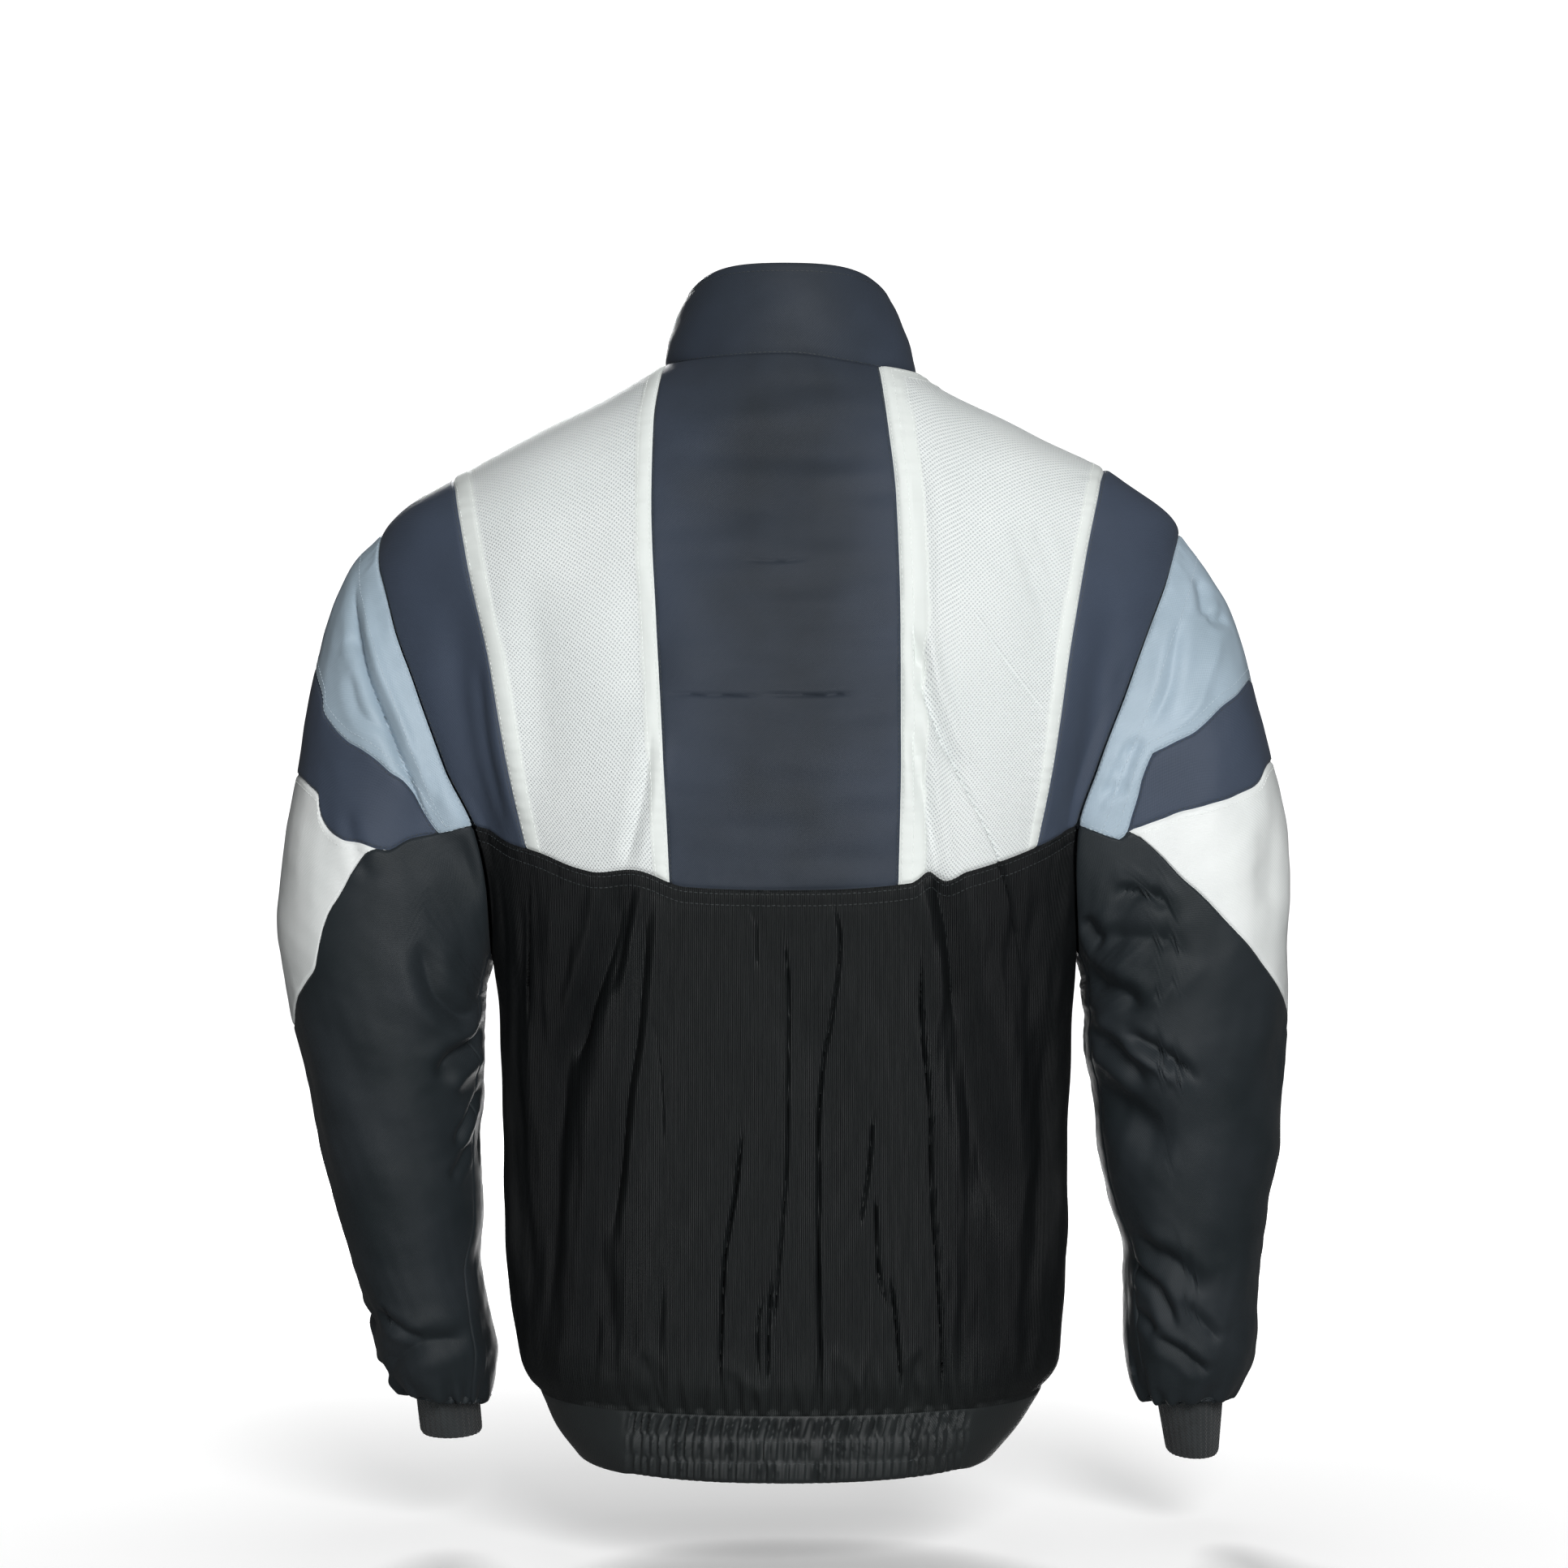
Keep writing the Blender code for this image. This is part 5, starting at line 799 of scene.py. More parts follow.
def seam_distance(grid, edge):
    """Each point's distance to an edge of its sheet, along the grid."""
    axis = 0 if edge in ("bottom", "top") else 1
    steps = np.linalg.norm(np.diff(grid, axis=axis), axis=-1)
    start = np.zeros_like(grid[:1, :, 0] if axis == 0 else grid[:, :1, 0])
    along = np.concatenate([start, np.cumsum(steps, axis=axis)], axis=axis)
    if edge in ("top", "last"):
        along = (along[-1:] if axis == 0 else along[:, -1:]) - along
    return along


def fold_press(points, outward, path, kind, size, lean):
    """How far a fold moves these points outwards. It runs along path and fades at both ends."""
    width, depth, ridge, sharp, fade = FOLD_KINDS[kind]
    near = np.full(points.shape[:-1], np.inf)
    along = np.zeros(points.shape[:-1])
    aside = np.zeros(points.shape[:-1])
    reach = lengthwise(path)
    for k in range(len(path) - 1):
        run = path[k + 1] - path[k]
        share = np.clip(((points - path[k]) * run).sum(-1) / (run**2).sum(), 0, 1)
        offset = points - path[k] - share[..., None] * run
        distance = np.linalg.norm(offset, axis=-1)
        closer = distance < near
        beside_run = (np.cross(outward, run / np.linalg.norm(run)) * offset).sum(-1)
        aside = np.where(closer, beside_run, aside)
        near = np.where(closer, distance, near)
        along = np.where(closer, reach[k] + share * (reach[k + 1] - reach[k]), along)
    ends = ease(along / fade) * ease((1 - along) / fade)
    trough = np.exp(-((near / width) ** sharp))
    swell = np.exp(-(((near - SWELL_MIDDLE * width) / (SWELL_WIDTH * width)) ** 2))
    swell = swell * (1 + lean * np.tanh(aside / width))
    return size * ends * (ridge * swell - depth * trough)


# ---- cloth pieces

PIECES = {}  # name: the outer face's grid, its outward directions and its object


def grid_outward(grid, hint, around=False):
    """Each point's outward direction on a finished grid; hint says which side is out."""
    across = np.gradient(grid, axis=1)
    if around:
        across[:, 0] = across[:, -1] = grid[:, 1] - grid[:, -2]
    normal = np.cross(across, np.gradient(grid, axis=0))
    normal *= np.sign((normal * hint).sum(-1, keepdims=True))
    length = np.linalg.norm(normal, axis=-1, keepdims=True)
    return np.where(length > 1e-12, normal / np.maximum(length, 1e-12), hint)


def tuck(grid, edges, depth=TUCK_DEPTH, width=TUCK_WIDTH):
    """How far the points beside these edges are turned in."""
    total = np.zeros(grid.shape[:2])
    for edge in edges:
        total = total - depth * np.exp(-((seam_distance(grid, edge) / width) ** 2))
    return total


def stitch_groove(grid, edge, distance, depth=0.00035, width=0.0011):
    """The line of small dents that a row of stitches pulls into the cloth."""
    return -depth * np.exp(-(((seam_distance(grid, edge) - distance) / width) ** 2))


def pucker(grid, edge, along, seed, depth=0.00045, reach=0.009, pitch=0.0075):
    """Short waves across a seam, where its thread draws the cloth together."""
    away = seam_distance(grid, edge)
    wave = rumple(along, away, pitch, 0.03, seed)
    return depth * wave * np.exp(-away / reach)


def cloth_piece(name, grid, hint, cloth_place, thickness, finish, around=False):
    """A cloth wall under a grid of points, in place of the solid of this name.

    hint says which side is out, cloth_place is each point's place on the cloth in metres, and around
    says that the grid's last column meets its first.
    """
    rows, columns = grid.shape[:2]
    bpy.ops.object.select_all(action="DESELECT")
    bpy.ops.mesh.primitive_grid_add(x_subdivisions=columns - 1, y_subdivisions=rows - 1, size=1)
    piece = bpy.context.active_object
    piece.name = piece.data.name = f"{name}_cloth"
    mesh = piece.data
    mesh.vertices.foreach_set("co", grid.reshape(-1).astype(np.float32))
    corners = np.zeros(len(mesh.loops), int)
    mesh.loops.foreach_get("vertex_index", corners)
    places = cloth_place.reshape(-1, 2)[corners]
    mesh.uv_layers[0].name = "cloth"
    mesh.uv_layers[0].data.foreach_set("uv", places.reshape(-1).astype(np.float32))
    model = bmesh.new()
    model.from_mesh(mesh)
    bmesh.ops.remove_doubles(model, verts=model.verts, dist=1e-6)
    bmesh.ops.dissolve_degenerate(model, edges=model.edges, dist=1e-6)
    model.normal_update()
    middle = (rows // 2) * columns + columns // 2
    place, out = Vector(grid.reshape(-1, 3)[middle]), Vector(hint.reshape(-1, 3)[middle])
    nearest = min(model.faces, key=lambda face: (face.calc_center_median() - place).length_squared)
    if nearest.normal.dot(out) < 0:
        bmesh.ops.reverse_faces(model, faces=model.faces)
    model.to_mesh(mesh)
    model.free()
    wall = piece.modifiers.new("wall", "SOLIDIFY")
    wall.thickness = thickness
    wall.offset = -1
    wall.shell_vertex_group = piece.vertex_groups.new(name="inside").name
    bpy.ops.object.modifier_apply(modifier=wall.name)
    thinned = piece.modifiers.new("thinned", "DECIMATE")
    thinned.vertex_group = "inside"
    thinned.ratio = FACES_KEPT
    bpy.ops.object.modifier_apply(modifier=thinned.name)
    piece.vertex_groups.clear()
    bpy.ops.object.shade_smooth_by_angle(angle=math.radians(60))
    mesh.materials.append(finish)
    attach(piece, BODY)
    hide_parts(name)
    PIECES[name] = (grid, grid_outward(grid, hint, around), piece)


def body_folds(grid, facing):
    """All the folds of one side of the body, at these points."""
    total = np.zeros(grid.shape[:2])
    outward = torso_outward(grid)
    for kind, size, lean, path in BODY_FOLDS["back" if facing > 0 else "front"]:
        line = curve_through(path)
        spine = at_depth(line[:, 0], line[:, 1], facing)
        total = total + fold_press(grid, outward, spine, kind, size, lean)
    return total


def on_cloth(grid):
    """Each point's place on the cloth in metres: across from the first column, and up."""
    across = np.linalg.norm(np.diff(grid, axis=1), axis=-1).mean(axis=0)
    along = np.linalg.norm(np.diff(grid, axis=0), axis=-1).mean(axis=1)
    u = np.concatenate([[0], np.cumsum(across)])
    v = np.concatenate([[0], np.cumsum(along)])
    return np.stack(np.meshgrid(u, v), axis=-1)


def round_and_up(grid):
    """Each point's distance round the back from the centre line, and its height."""
    share = np.linspace(0, 1, 200)
    flat = torso_size("back", FAN_HEIGHT) / torso_size("left", FAN_HEIGHT)
    power = torso_size("square", FAN_HEIGHT)
    curve = np.stack([share, flat * (1 - share**power) ** (1 / power)], axis=1)
    x, z = grid[..., 0], grid[..., 2]
    width = torso_width(x, z)
    reach = np.interp(np.abs(x) / width, share, run_length(curve)) * width
    return np.stack([np.sign(x) * reach, z], axis=-1)


def shut(grid, edges, reach):
    """0 on these edges and 1 beyond this distance from them, so that neighbours meet."""
    total = np.ones(grid.shape[:2])
    for edge in edges:
        total = total * ease(seam_distance(grid, edge) / reach)
    return total


def body_panel(name, lines, facing, finish, press, fold_ends=(), tucks=None, pull=1, below=None,
               place=on_cloth):
    """A panel of the body between its four seam lines, with its folds and tucked edges.

    press gives its waves and stitches, and below the rows of points under its bottom line.
    """
    grid = stretched(*lines, pull=pull)
    if below is not None:
        grid = np.concatenate([below, grid[1:]])
    outward = torso_outward(grid)
    moved = body_folds(grid, facing) * shut(grid, fold_ends, FOLD_END)
    moved = moved + press(grid) * shut(grid, EDGES, PRESS_END)
    moved = moved + (tucks(grid) if tucks else tuck(grid, EDGES))
    grid = grid + moved[..., None] * outward
    cloth_piece(name, grid, outward, place(grid), CLOTH, finish)


def between(lines_across, lines_up, steps=(GRID_STEP, GRID_STEP), near=(SEAM_ROWS, SEAM_ROWS)):
    """The four seam lines of a panel, with matching points: bottom, top, first and last."""
    across = spaced(max(run_length(line)[-1] for line in lines_across), steps[0], *near)
    up = spaced(max(run_length(line)[-1] for line in lines_up), steps[1])
    return [resample(line, across) for line in lines_across] + [resample(line, up) for line in lines_up]


def level_rows(line_at, heights, across):
    """Rows of points at these heights, on lines that line_at gives."""
    return np.stack([resample(line_at(height), across) for height in heights])


def heights_to_fan(step):
    """The heights of a panel's level rows, from the hem band up to where the rows fan."""
    return HEM_TOP + (FAN_HEIGHT - HEM_TOP) * spaced(FAN_HEIGHT - HEM_TOP, step, last=(0.0,))


# ---- the body's panels


def at_elastic(x, soft=0.02):
    """1 over the elastic at the centre of the hem, 0 beside it."""
    return ease((ELASTIC_HALF_WIDTH + soft / 2 - np.abs(x - ELASTIC_MIDDLE)) / soft)


def hem_tuck(grid, edge):
    """The seam of the hem band: drawn in over the elastic and hardly seen beside it."""
    return tuck(grid, (edge,)) * (0.2 + 1.3 * at_elastic(grid[..., 0]))


def gather_wave(grid):
    """Soft uneven waves where the lower back is drawn into the elastic, fading up the panel."""
    x, z = grid[..., 0], grid[..., 2]
    rise = z - HEM_TOP
    inside = at_elastic(x, 0.04)
    wander = 0.0025 * rumple(x, z, 0.05, 0.05, seed=5)
    reach = GATHER_RISE * (0.75 + 0.5 * rumple(x, 0 * z, 0.018, 1.0, seed=6))
    wave = np.cos(2 * np.pi * (x + wander) / GATHER_PITCH)
    return GATHER_DEPTH * inside * ease(1 - rise / np.maximum(reach, 0.01)) * (wave - 1) / 2


def back_press(grid):
    """Fine upright waves, both rows of stitches, and the puckers and gathers at the seams."""
    x, z = grid[..., 0], grid[..., 2]
    below_yoke = yoke_height(x) - z
    at_sides = ease((np.abs(x) - 0.07) / 0.06)
    soft = (0.0005 + 0.0006 * at_sides) * rumple(x, z, 0.018, 0.13, seed=11)
    soft = soft + 0.0004 * rumple(x, z, 0.008, 0.05, seed=12)
    soft = soft + 0.0016 * at_sides * rumple(x, z, 0.05, 0.3, seed=14)
    stitches = sum(stitch_groove(grid, "top", row, depth=0.0006) for row in YOKE_ROWS)
    pleats = pucker(grid, "top", x, seed=13, depth=0.0008, reach=0.014, pitch=0.009) + gather_wave(grid)
    return soft * ease(below_yoke / 0.05) + stitches + pleats


def back_tucks(grid):
    return tuck(grid, ("top", "first", "last")) + hem_tuck(grid, "bottom")


def lower_back():
    """The gathered lower back, from the hem band to the yoke seam."""
    across = spaced_for_creases(run_length(back_ring(FAN_HEIGHT))[-1])
    rings = level_rows(back_ring, heights_to_fan(CREASE_STEP[1]), across)
    sides = [side_line(side, FAN_HEIGHT, YOKE_ANGLE) for side in ("right", "left")]
    near_yoke = SEAM_ROWS + (0.0065, YOKE_ROWS[1])
    up = spaced(run_length(sides[0])[-1], CREASE_STEP[1], first=(0.0,), last=near_yoke)
    yoke = yoke_line(yoke_end("right"), yoke_end("left"))
    lines = (rings[-1], resample(yoke, across), resample(sides[0], up), resample(sides[1], up))
    body_panel("back_lower_panel", lines, 1, CRINKLED, back_press,
               fold_ends=("first", "last"), tucks=back_tucks, pull=3, below=rings, place=round_and_up)


def mesh_press(grid):
    """The raised edge strips of the mesh panel, their stitches and a soft drape."""
    x, z = grid[..., 0], grid[..., 2]
    strips = np.zeros(grid.shape[:2])
    for edge, widths in STRIPS["left" if x.mean() > 0 else "right"].items():
        for width in widths:
            strips += STRIP_RISE * ease((width - seam_distance(grid, edge)) / STRIP_SLOPE)
            strips += stitch_groove(grid, edge, width - STRIP_STITCHES)
        strips += stitch_groove(grid, edge, SEAM_STITCHES)
        strips += pucker(grid, edge, z, seed=21, depth=0.0006, reach=0.012)
    return strips + 0.0009 * rumple(x, z, 0.06, 0.14, seed=22)


def strip_rows(widths):
    """Grid lines beside a mesh panel's edge, closer at the edges of its strips."""
    return SEAM_ROWS + tuple(width + step for width in widths for step in STRIP_STEPS)


def side_press(grid):
    """A soft drape, and the puckers of the yoke seam."""
    x, z = grid[..., 0], grid[..., 2]
    return 0.0008 * rumple(x, z, 0.05, 0.10, seed=41) + pucker(grid, "bottom", x, seed=42)


def centre_press(grid):
    """Low waves across, and the puckers of the yoke seam."""
    x, z = grid[..., 0], grid[..., 2]
    return 0.0006 * rumple(x, z, 0.10, 0.022, seed=31) + pucker(grid, "bottom", x, seed=32)


def side_and_mesh(side):
    """The dark side panel and the pale mesh panel of one side. Gives the mesh panel's inner edge."""
    seam = shoulder_line(side)
    share = np.linspace(0, 1, 200)
    corner = block_corner(side)
    outer = block_edge(side, "outer", resample(seam, [corner])[0])
    neck = neckline(side_sign(side) * np.linspace(NECK_BLOCK_TURN[side], NECK_SIDE_TURN, 60))
    inner = block_edge(side, "inner", neck[0])
    low_outer, low_inner = outer[0, 0], inner[0, 0]
    lines = between(
        (yoke_line(low_outer, yoke_end(side)), resample(seam, corner + (1 - corner) * share)),
        (outer, armhole_run(side, YOKE_ANGLE, SHOULDER_SEAM_ANGLE)),
    )
    body_panel(f"back_side_panel_{side}", lines, 1, CHARCOAL, side_press,
               fold_ends=("top", "last"))
    lines = between(
        (yoke_line(low_inner, low_outer), resample(seam, corner * share)),
        (np.concatenate([inner, neck[1:]]), outer),
        steps=(MESH_STEP, MESH_STEP),
        near=[strip_rows(STRIPS[side][edge]) for edge in ("first", "last")],
    )
    body_panel(f"back_mesh_panel_{side}", lines, 1, MESH, mesh_press, fold_ends=("top",))
    return inner


def upper_back():
    """All panels between the yoke seam, the armholes, the shoulder seams and the neck."""
    left, right = [side_and_mesh(side) for side in SIDES]
    turns = np.linspace(-NECK_BLOCK_TURN["right"], NECK_BLOCK_TURN["left"], 160)
    lines = between(
        (yoke_line(right[0, 0], left[0, 0]), neckline(turns)), (right, left), steps=CENTRE_STEP
    )
    body_panel("back_centre_panel", lines, 1, CHARCOAL, centre_press, fold_ends=("top",))


def front_press(grid):
    """Soft upright waves, and two rows of stitches beside the zip."""
    x, z = grid[..., 0], grid[..., 2]
    soft = 0.0013 * rumple(x, z, 0.045, 0.20, seed=51) + 0.0003 * rumple(x, z, 0.018, 0.07, seed=52)
    edge = stitch_groove(grid, "last", SEAM_STITCHES) + stitch_groove(grid, "last", ZIP_STITCHES)
    return soft * ease(seam_distance(grid, "last") / 0.03) + edge


def front(side):
    """A front, from the hem band to the neck and the shoulder seam."""
    sign = side_sign(side)
    across = spaced(run_length(front_ring(side, FAN_HEIGHT))[-1], FRONT_STEP[0])
    rings = level_rows(lambda height: front_ring(side, height), heights_to_fan(FRONT_STEP[1]), across)
    neck = neckline(sign * np.linspace(NECK_SIDE_TURN, zip_turn(side), 120))
    neck_end = neckline(sign * zip_turn(side))
    edge = at_depth(sign * ZIP_HALF_GAP, np.linspace(FAN_HEIGHT, neck_end[2], 200), -1)
    edge[-1] = neck_end
    armhole_side = side_line(side, FAN_HEIGHT, SHOULDER_SEAM_ANGLE)
    up = spaced(run_length(armhole_side)[-1], FRONT_STEP[1], first=(0.0,))
    top = np.concatenate([shoulder_line(side)[::-1], neck[1:]])
    lines = (rings[-1], resample(top, across), resample(armhole_side, up), resample(edge, up))
    body_panel(f"front_{side}", lines, -1, BLACK, front_press, fold_ends=("top", "first"),
               pull=1.3, below=rings)


def band_press(grid):
    """Shirring of the elastic: uneven tufts between the rows of stitches, deepest in the top row."""
    x = grid[..., 0]
    share = np.clip((grid[..., 2] - HEM_BOTTOM) / (HEM_TOP - HEM_BOTTOM), 0, 0.999) * BAND_ROWS
    row = np.floor(share)
    top = row == BAND_ROWS - 1
    inside = at_elastic(x, 0.008)
    slant = np.where(top, 0.0030, 0.0006) * (share - row)
    shift = slant + 0.0014 * rumple(x, 0.02 * row, 0.02, 0.013, seed=61)
    tufts = np.cos(2 * np.pi * (x + shift) / BAND_PITCH)
    wave = tufts + 0.35 * np.cos(2 * np.pi * (x + shift) / BAND_FINE_PITCH)
    height = np.where(top, 1.25, 0.85) + 0.5 * rumple(x, 0.02 * row, 0.012, 0.011, seed=62)
    between_rows = np.abs(np.sin(np.pi * share)) ** 0.6
    ridges = BAND_DEPTH * inside * height * (0.25 + 0.75 * between_rows) * (wave - 1) / 2
    return ridges - BAND_ROW_DEPTH * inside * (1 - between_rows)


def hem_band():
    """The hem band: its back, with the elastic, and a plain part under each front."""
    heights = HEM_BOTTOM + (HEM_TOP - HEM_BOTTOM) * spaced(HEM_TOP - HEM_BOTTOM, BAND_STEP[1])
    grid = level_rows(back_ring, heights, spaced(run_length(back_ring(HEM_TOP))[-1], BAND_STEP[0]))
    outward = torso_outward(grid)
    moved = tuck(grid, ("bottom", "first", "last")) + hem_tuck(grid, "top")
    moved = moved + band_press(grid) * shut(grid, ("top", "first", "last"), PRESS_END)
    grid = grid + moved[..., None] * outward
    cloth_piece("hem_band_back", grid, outward, on_cloth(grid), BAND_CLOTH, BAND)
    for side in SIDES:
        across = spaced(run_length(front_ring(side, HEM_TOP))[-1], FRONT_STEP[0])
        grid = level_rows(lambda height: front_ring(side, height), heights, across)
        outward = torso_outward(grid)
        grid = grid + tuck(grid, EDGES)[..., None] * outward
        cloth_piece(f"hem_band_front_{side}", grid, outward, on_cloth(grid), BAND_CLOTH, BAND)


# ---- the collar


def collar_points(turn, rise):
    """The collar's outer face: turn round the neck in degrees, rise 0 at the seam and 1 at the rim."""
    turn, rise = np.broadcast_arrays(np.asarray(turn, float), np.asarray(rise, float))
    base = neckline(turn)
    angle = np.radians(turn)
    back, sides, at_zip = COLLAR_RIM_HEIGHT
    to_front = (1 - np.cos(angle)) / 2
    height = np.where(
        to_front < 0.5,
        back + (sides - back) * ease(2 * to_front),
        sides + (at_zip - sides) * ease(to_front * 2 - 1),
    )
    width = np.where(turn > 0, COLLAR_RIM_HALF_WIDTH["left"], COLLAR_RIM_HALF_WIDTH["right"])
    depth = np.where(np.cos(angle) > 0, COLLAR_RIM_DEPTH["back"], COLLAR_RIM_DEPTH["front"])
    x = width * np.sin(angle)
    first, last = COLLAR_ZIP_TURN
    near_zip = ease((np.abs(turn) - first) / (last - first))
    x = x + near_zip * (base[..., 0] - x)
    rim = np.stack([x, depth * np.cos(angle), height], axis=-1)
    out = np.stack([np.sin(angle), np.cos(angle), 0 * angle], axis=-1)
    out = out * (1 - near_zip)[..., None] - np.array([0, 1, 0]) * near_zip[..., None]
    belly = COLLAR_BELLY * np.sin(np.pi * rise)
    return base + (rim - base) * rise[..., None] + belly[..., None] * out


def collar_outward(turn, rise):
    """The collar's outward direction, measured over a small step each way."""
    step_turn, step_rise = 0.5, 0.01
    across = collar_points(turn + step_turn, rise) - collar_points(turn - step_turn, rise)
    up = collar_points(turn, rise + step_rise) - collar_points(turn, rise - step_rise)
    outward = np.cross(up, across)
    return outward / np.linalg.norm(outward, axis=-1, keepdims=True)


def collar():
    """The stand collar, from the neck seam to its rim."""
    turns = np.linspace(-zip_turn("right"), zip_turn("left"), COLLAR_LINES)
    turn, rise = np.meshgrid(turns, spaced(COLLAR_HEIGHT))
    grid = collar_points(turn, rise)
    outward = collar_outward(turn, rise)
    place = on_cloth(grid)
    soft = 0.0007 * rumple(place[..., 0], place[..., 1], 0.06, 0.03, seed=71)
    moved = tuck(grid, EDGES) + soft * np.sin(np.pi * rise)
    for edge, distance in COLLAR_STITCHES.items():
        moved = moved + stitch_groove(grid, edge, distance)
    grid = grid + moved[..., None] * outward
    grid[..., 2] -= COLLAR_FOOT * np.exp(-((seam_distance(grid, "bottom") / 0.0025) ** 2))
    cloth_piece("collar", grid, outward, place, COLLAR_CLOTH, CHARCOAL)


# ---- the sleeves


def section_points(side, turn, row):
    """A point of a sleeve's own sections, this far round it in radians and along it in rows."""
    rows = np.arange(LAST_ROW + 1.0)
    value = {
        name: smooth_read(rows, column(SLEEVES[side], SLEEVE_COLUMNS, name), row)
        for name in SLEEVE_COLUMNS
    }
    cosine, sine = np.cos(turn), np.sin(turn)
    outwards = signed_power(cosine, 2 / SLEEVE_ROUND)
    backwards = signed_power(sine, 2 / SLEEVE_ROUND)
    depth = np.where(sine > 0, value["back"], value["front"])
    x, z = (
        (value[f"outer_{axis}"] + value[f"inner_{axis}"]) / 2
        + (value[f"outer_{axis}"] - value[f"inner_{axis}"]) / 2 * outwards
        for axis in "xz"
    )
    return np.stack([side_sign(side) * x, value["middle_y"] + depth * backwards, z], axis=-1)


def sleeve_points(side, angle, row):
    """The sleeve's outer face. angle is 0 on the outer line, 90 at the back, 180 on the inner line."""
    angle, row = np.broadcast_arrays(np.asarray(angle, float), np.asarray(row, float))
    turn = np.radians(angle)
    from_armhole = armhole_curve(side, angle) - section_points(side, turn, np.zeros_like(row))
    share = 1 - ease(row / ARMHOLE_BLEND)
    return section_points(side, turn, row) + share[..., None] * from_armhole


def sleeve_outward(side, angle, row):
    angle, row = np.broadcast_arrays(np.asarray(angle, float), np.asarray(row, float))
    before, after = np.clip(row - 0.05, 0, LAST_ROW), np.clip(row + 0.05, 0, LAST_ROW)
    around = sleeve_points(side, angle + 1.0, row) - sleeve_points(side, angle - 1.0, row)
    along = sleeve_points(side, angle, after) - sleeve_points(side, angle, before)
    outward = -side_sign(side) * np.cross(around, along)
    return outward / np.linalg.norm(outward, axis=-1, keepdims=True)


def block_row(side, edge, angle):
    """The row of a colour block's lower edge at these angles."""
    angles, rows = np.array(SLEEVE_EDGES[side][edge], float).T
    return smooth_read(angles, rows, np.abs(angle))


def sleeve_place(side, angle, row):
    """The place on the sleeve's cloth in metres: round it, and down from the armhole."""
    rows = np.arange(LAST_ROW + 1.0)
    outer, inner = (
        np.stack([column(SLEEVES[side], SLEEVE_COLUMNS, f"{edge}_{axis}") for axis in "xz"], axis=1)
        for edge in ("outer", "inner")
    )
    down = run_length((outer + inner) / 2)
    return np.stack([SLEEVE_GIRTH * angle / 360, np.interp(row, rows, down)], axis=-1)


def sleeve_press(side, grid, outward, place):
    """Folds and small waves of a sleeve, outwards, at these points."""
    u, v = place[..., 0], place[..., 1]
    total = 0.0010 * rumple(u + SLEEVE_SHIFT[side], v, 0.065, 0.055, seed=81)
    total = total + 0.00022 * rumple(u + SLEEVE_SHIFT[side], v, 0.022, 0.016, seed=82)
    for kind, size, lean, path in SLEEVE_FOLDS[side]:
        line = curve_through(path)
        spine = sleeve_points(side, line[:, 0], line[:, 1])
        total = total + fold_press(grid, outward, spine, kind, size, lean)
    return total


def sleeve_piece(side, name, finish, limit, first_row, last_row, step=GRID_STEP, around=False):
    """A piece of the sleeve between two edges, given as functions of the angle.

    It reaches limit degrees round each way. around says that it closes under the arm.
    """
    angles = np.linspace(-limit, limit, round(SLEEVE_GIRTH * limit / 180 / step) + 1)
    if around:
        clear = np.abs(angles - SLEEVE_SEAM_ANGLE) > SEAM_CLEAR
        angles = np.sort(np.concatenate([angles[clear], SLEEVE_SEAM_ANGLE + np.array(SEAM_LINES)]))
    span = np.abs(last_row(angles) - first_row(angles)).max()
    share = spaced(max(SLEEVE_SHORTEST, SLEEVE_ROW * span), step)[:, None]
    row = first_row(angles)[None] * (1 - share) + last_row(angles)[None] * share
    angle = np.broadcast_to(angles[None], row.shape)
    away = (angle - SLEEVE_SEAM_ANGLE + 180) % 360 - 180
    if around:
        turns = smooth_read(*np.array(SEAM_TURN[side], float).T, row)
        angle = angle + turns * ease(1 - np.abs(away) / SEAM_TURN_REACH)
    grid = sleeve_points(side, angle, row)
    outward = sleeve_outward(side, angle, row)
    place = sleeve_place(side, angle, row)
    fade = ease(row / SLEEVE_FOLD_START)
    moved = tuck(grid, ("bottom", "top")) + fade * sleeve_press(side, grid, outward, place)
    if around:
        groove = SEAM_GROOVE * np.exp(-((SLEEVE_GIRTH * away / 360 / SEAM_GROOVE) ** 2))
        moved = moved + cuff_gathers(side, angle, row) - groove
    if name == "sleeve_blue_cap":
        waves = pucker(grid, "bottom", place[..., 0], seed=83, depth=0.0009, reach=0.009, pitch=0.008)
        moved = moved + waves * shut(grid, EDGES, PRESS_END)
    grid = grid + moved[..., None] * outward
    if around:
        grid[:, -1] = grid[:, 0]
    cloth_piece(f"{name}_{side}", grid, outward, place, CLOTH, finish, around)


def cuff_gathers(side, angle, row):
    """Pleats where the sleeve is drawn into its cuff."""
    turn = np.radians(angle)
    wander = 0.5 + 0.35 * np.sin(5 * turn + side_sign(side)) + 0.25 * np.sin(9 * turn + 2)
    reach = ease((row - (LAST_ROW - CUFF_GATHER_START + 0.8 * wander)) / CUFF_GATHER_REACH)
    return -CUFF_GATHER_DEPTH * reach * (0.5 - 0.5 * np.cos(CUFF_GATHERS * turn + 1.5 * np.sin(3 * turn)))


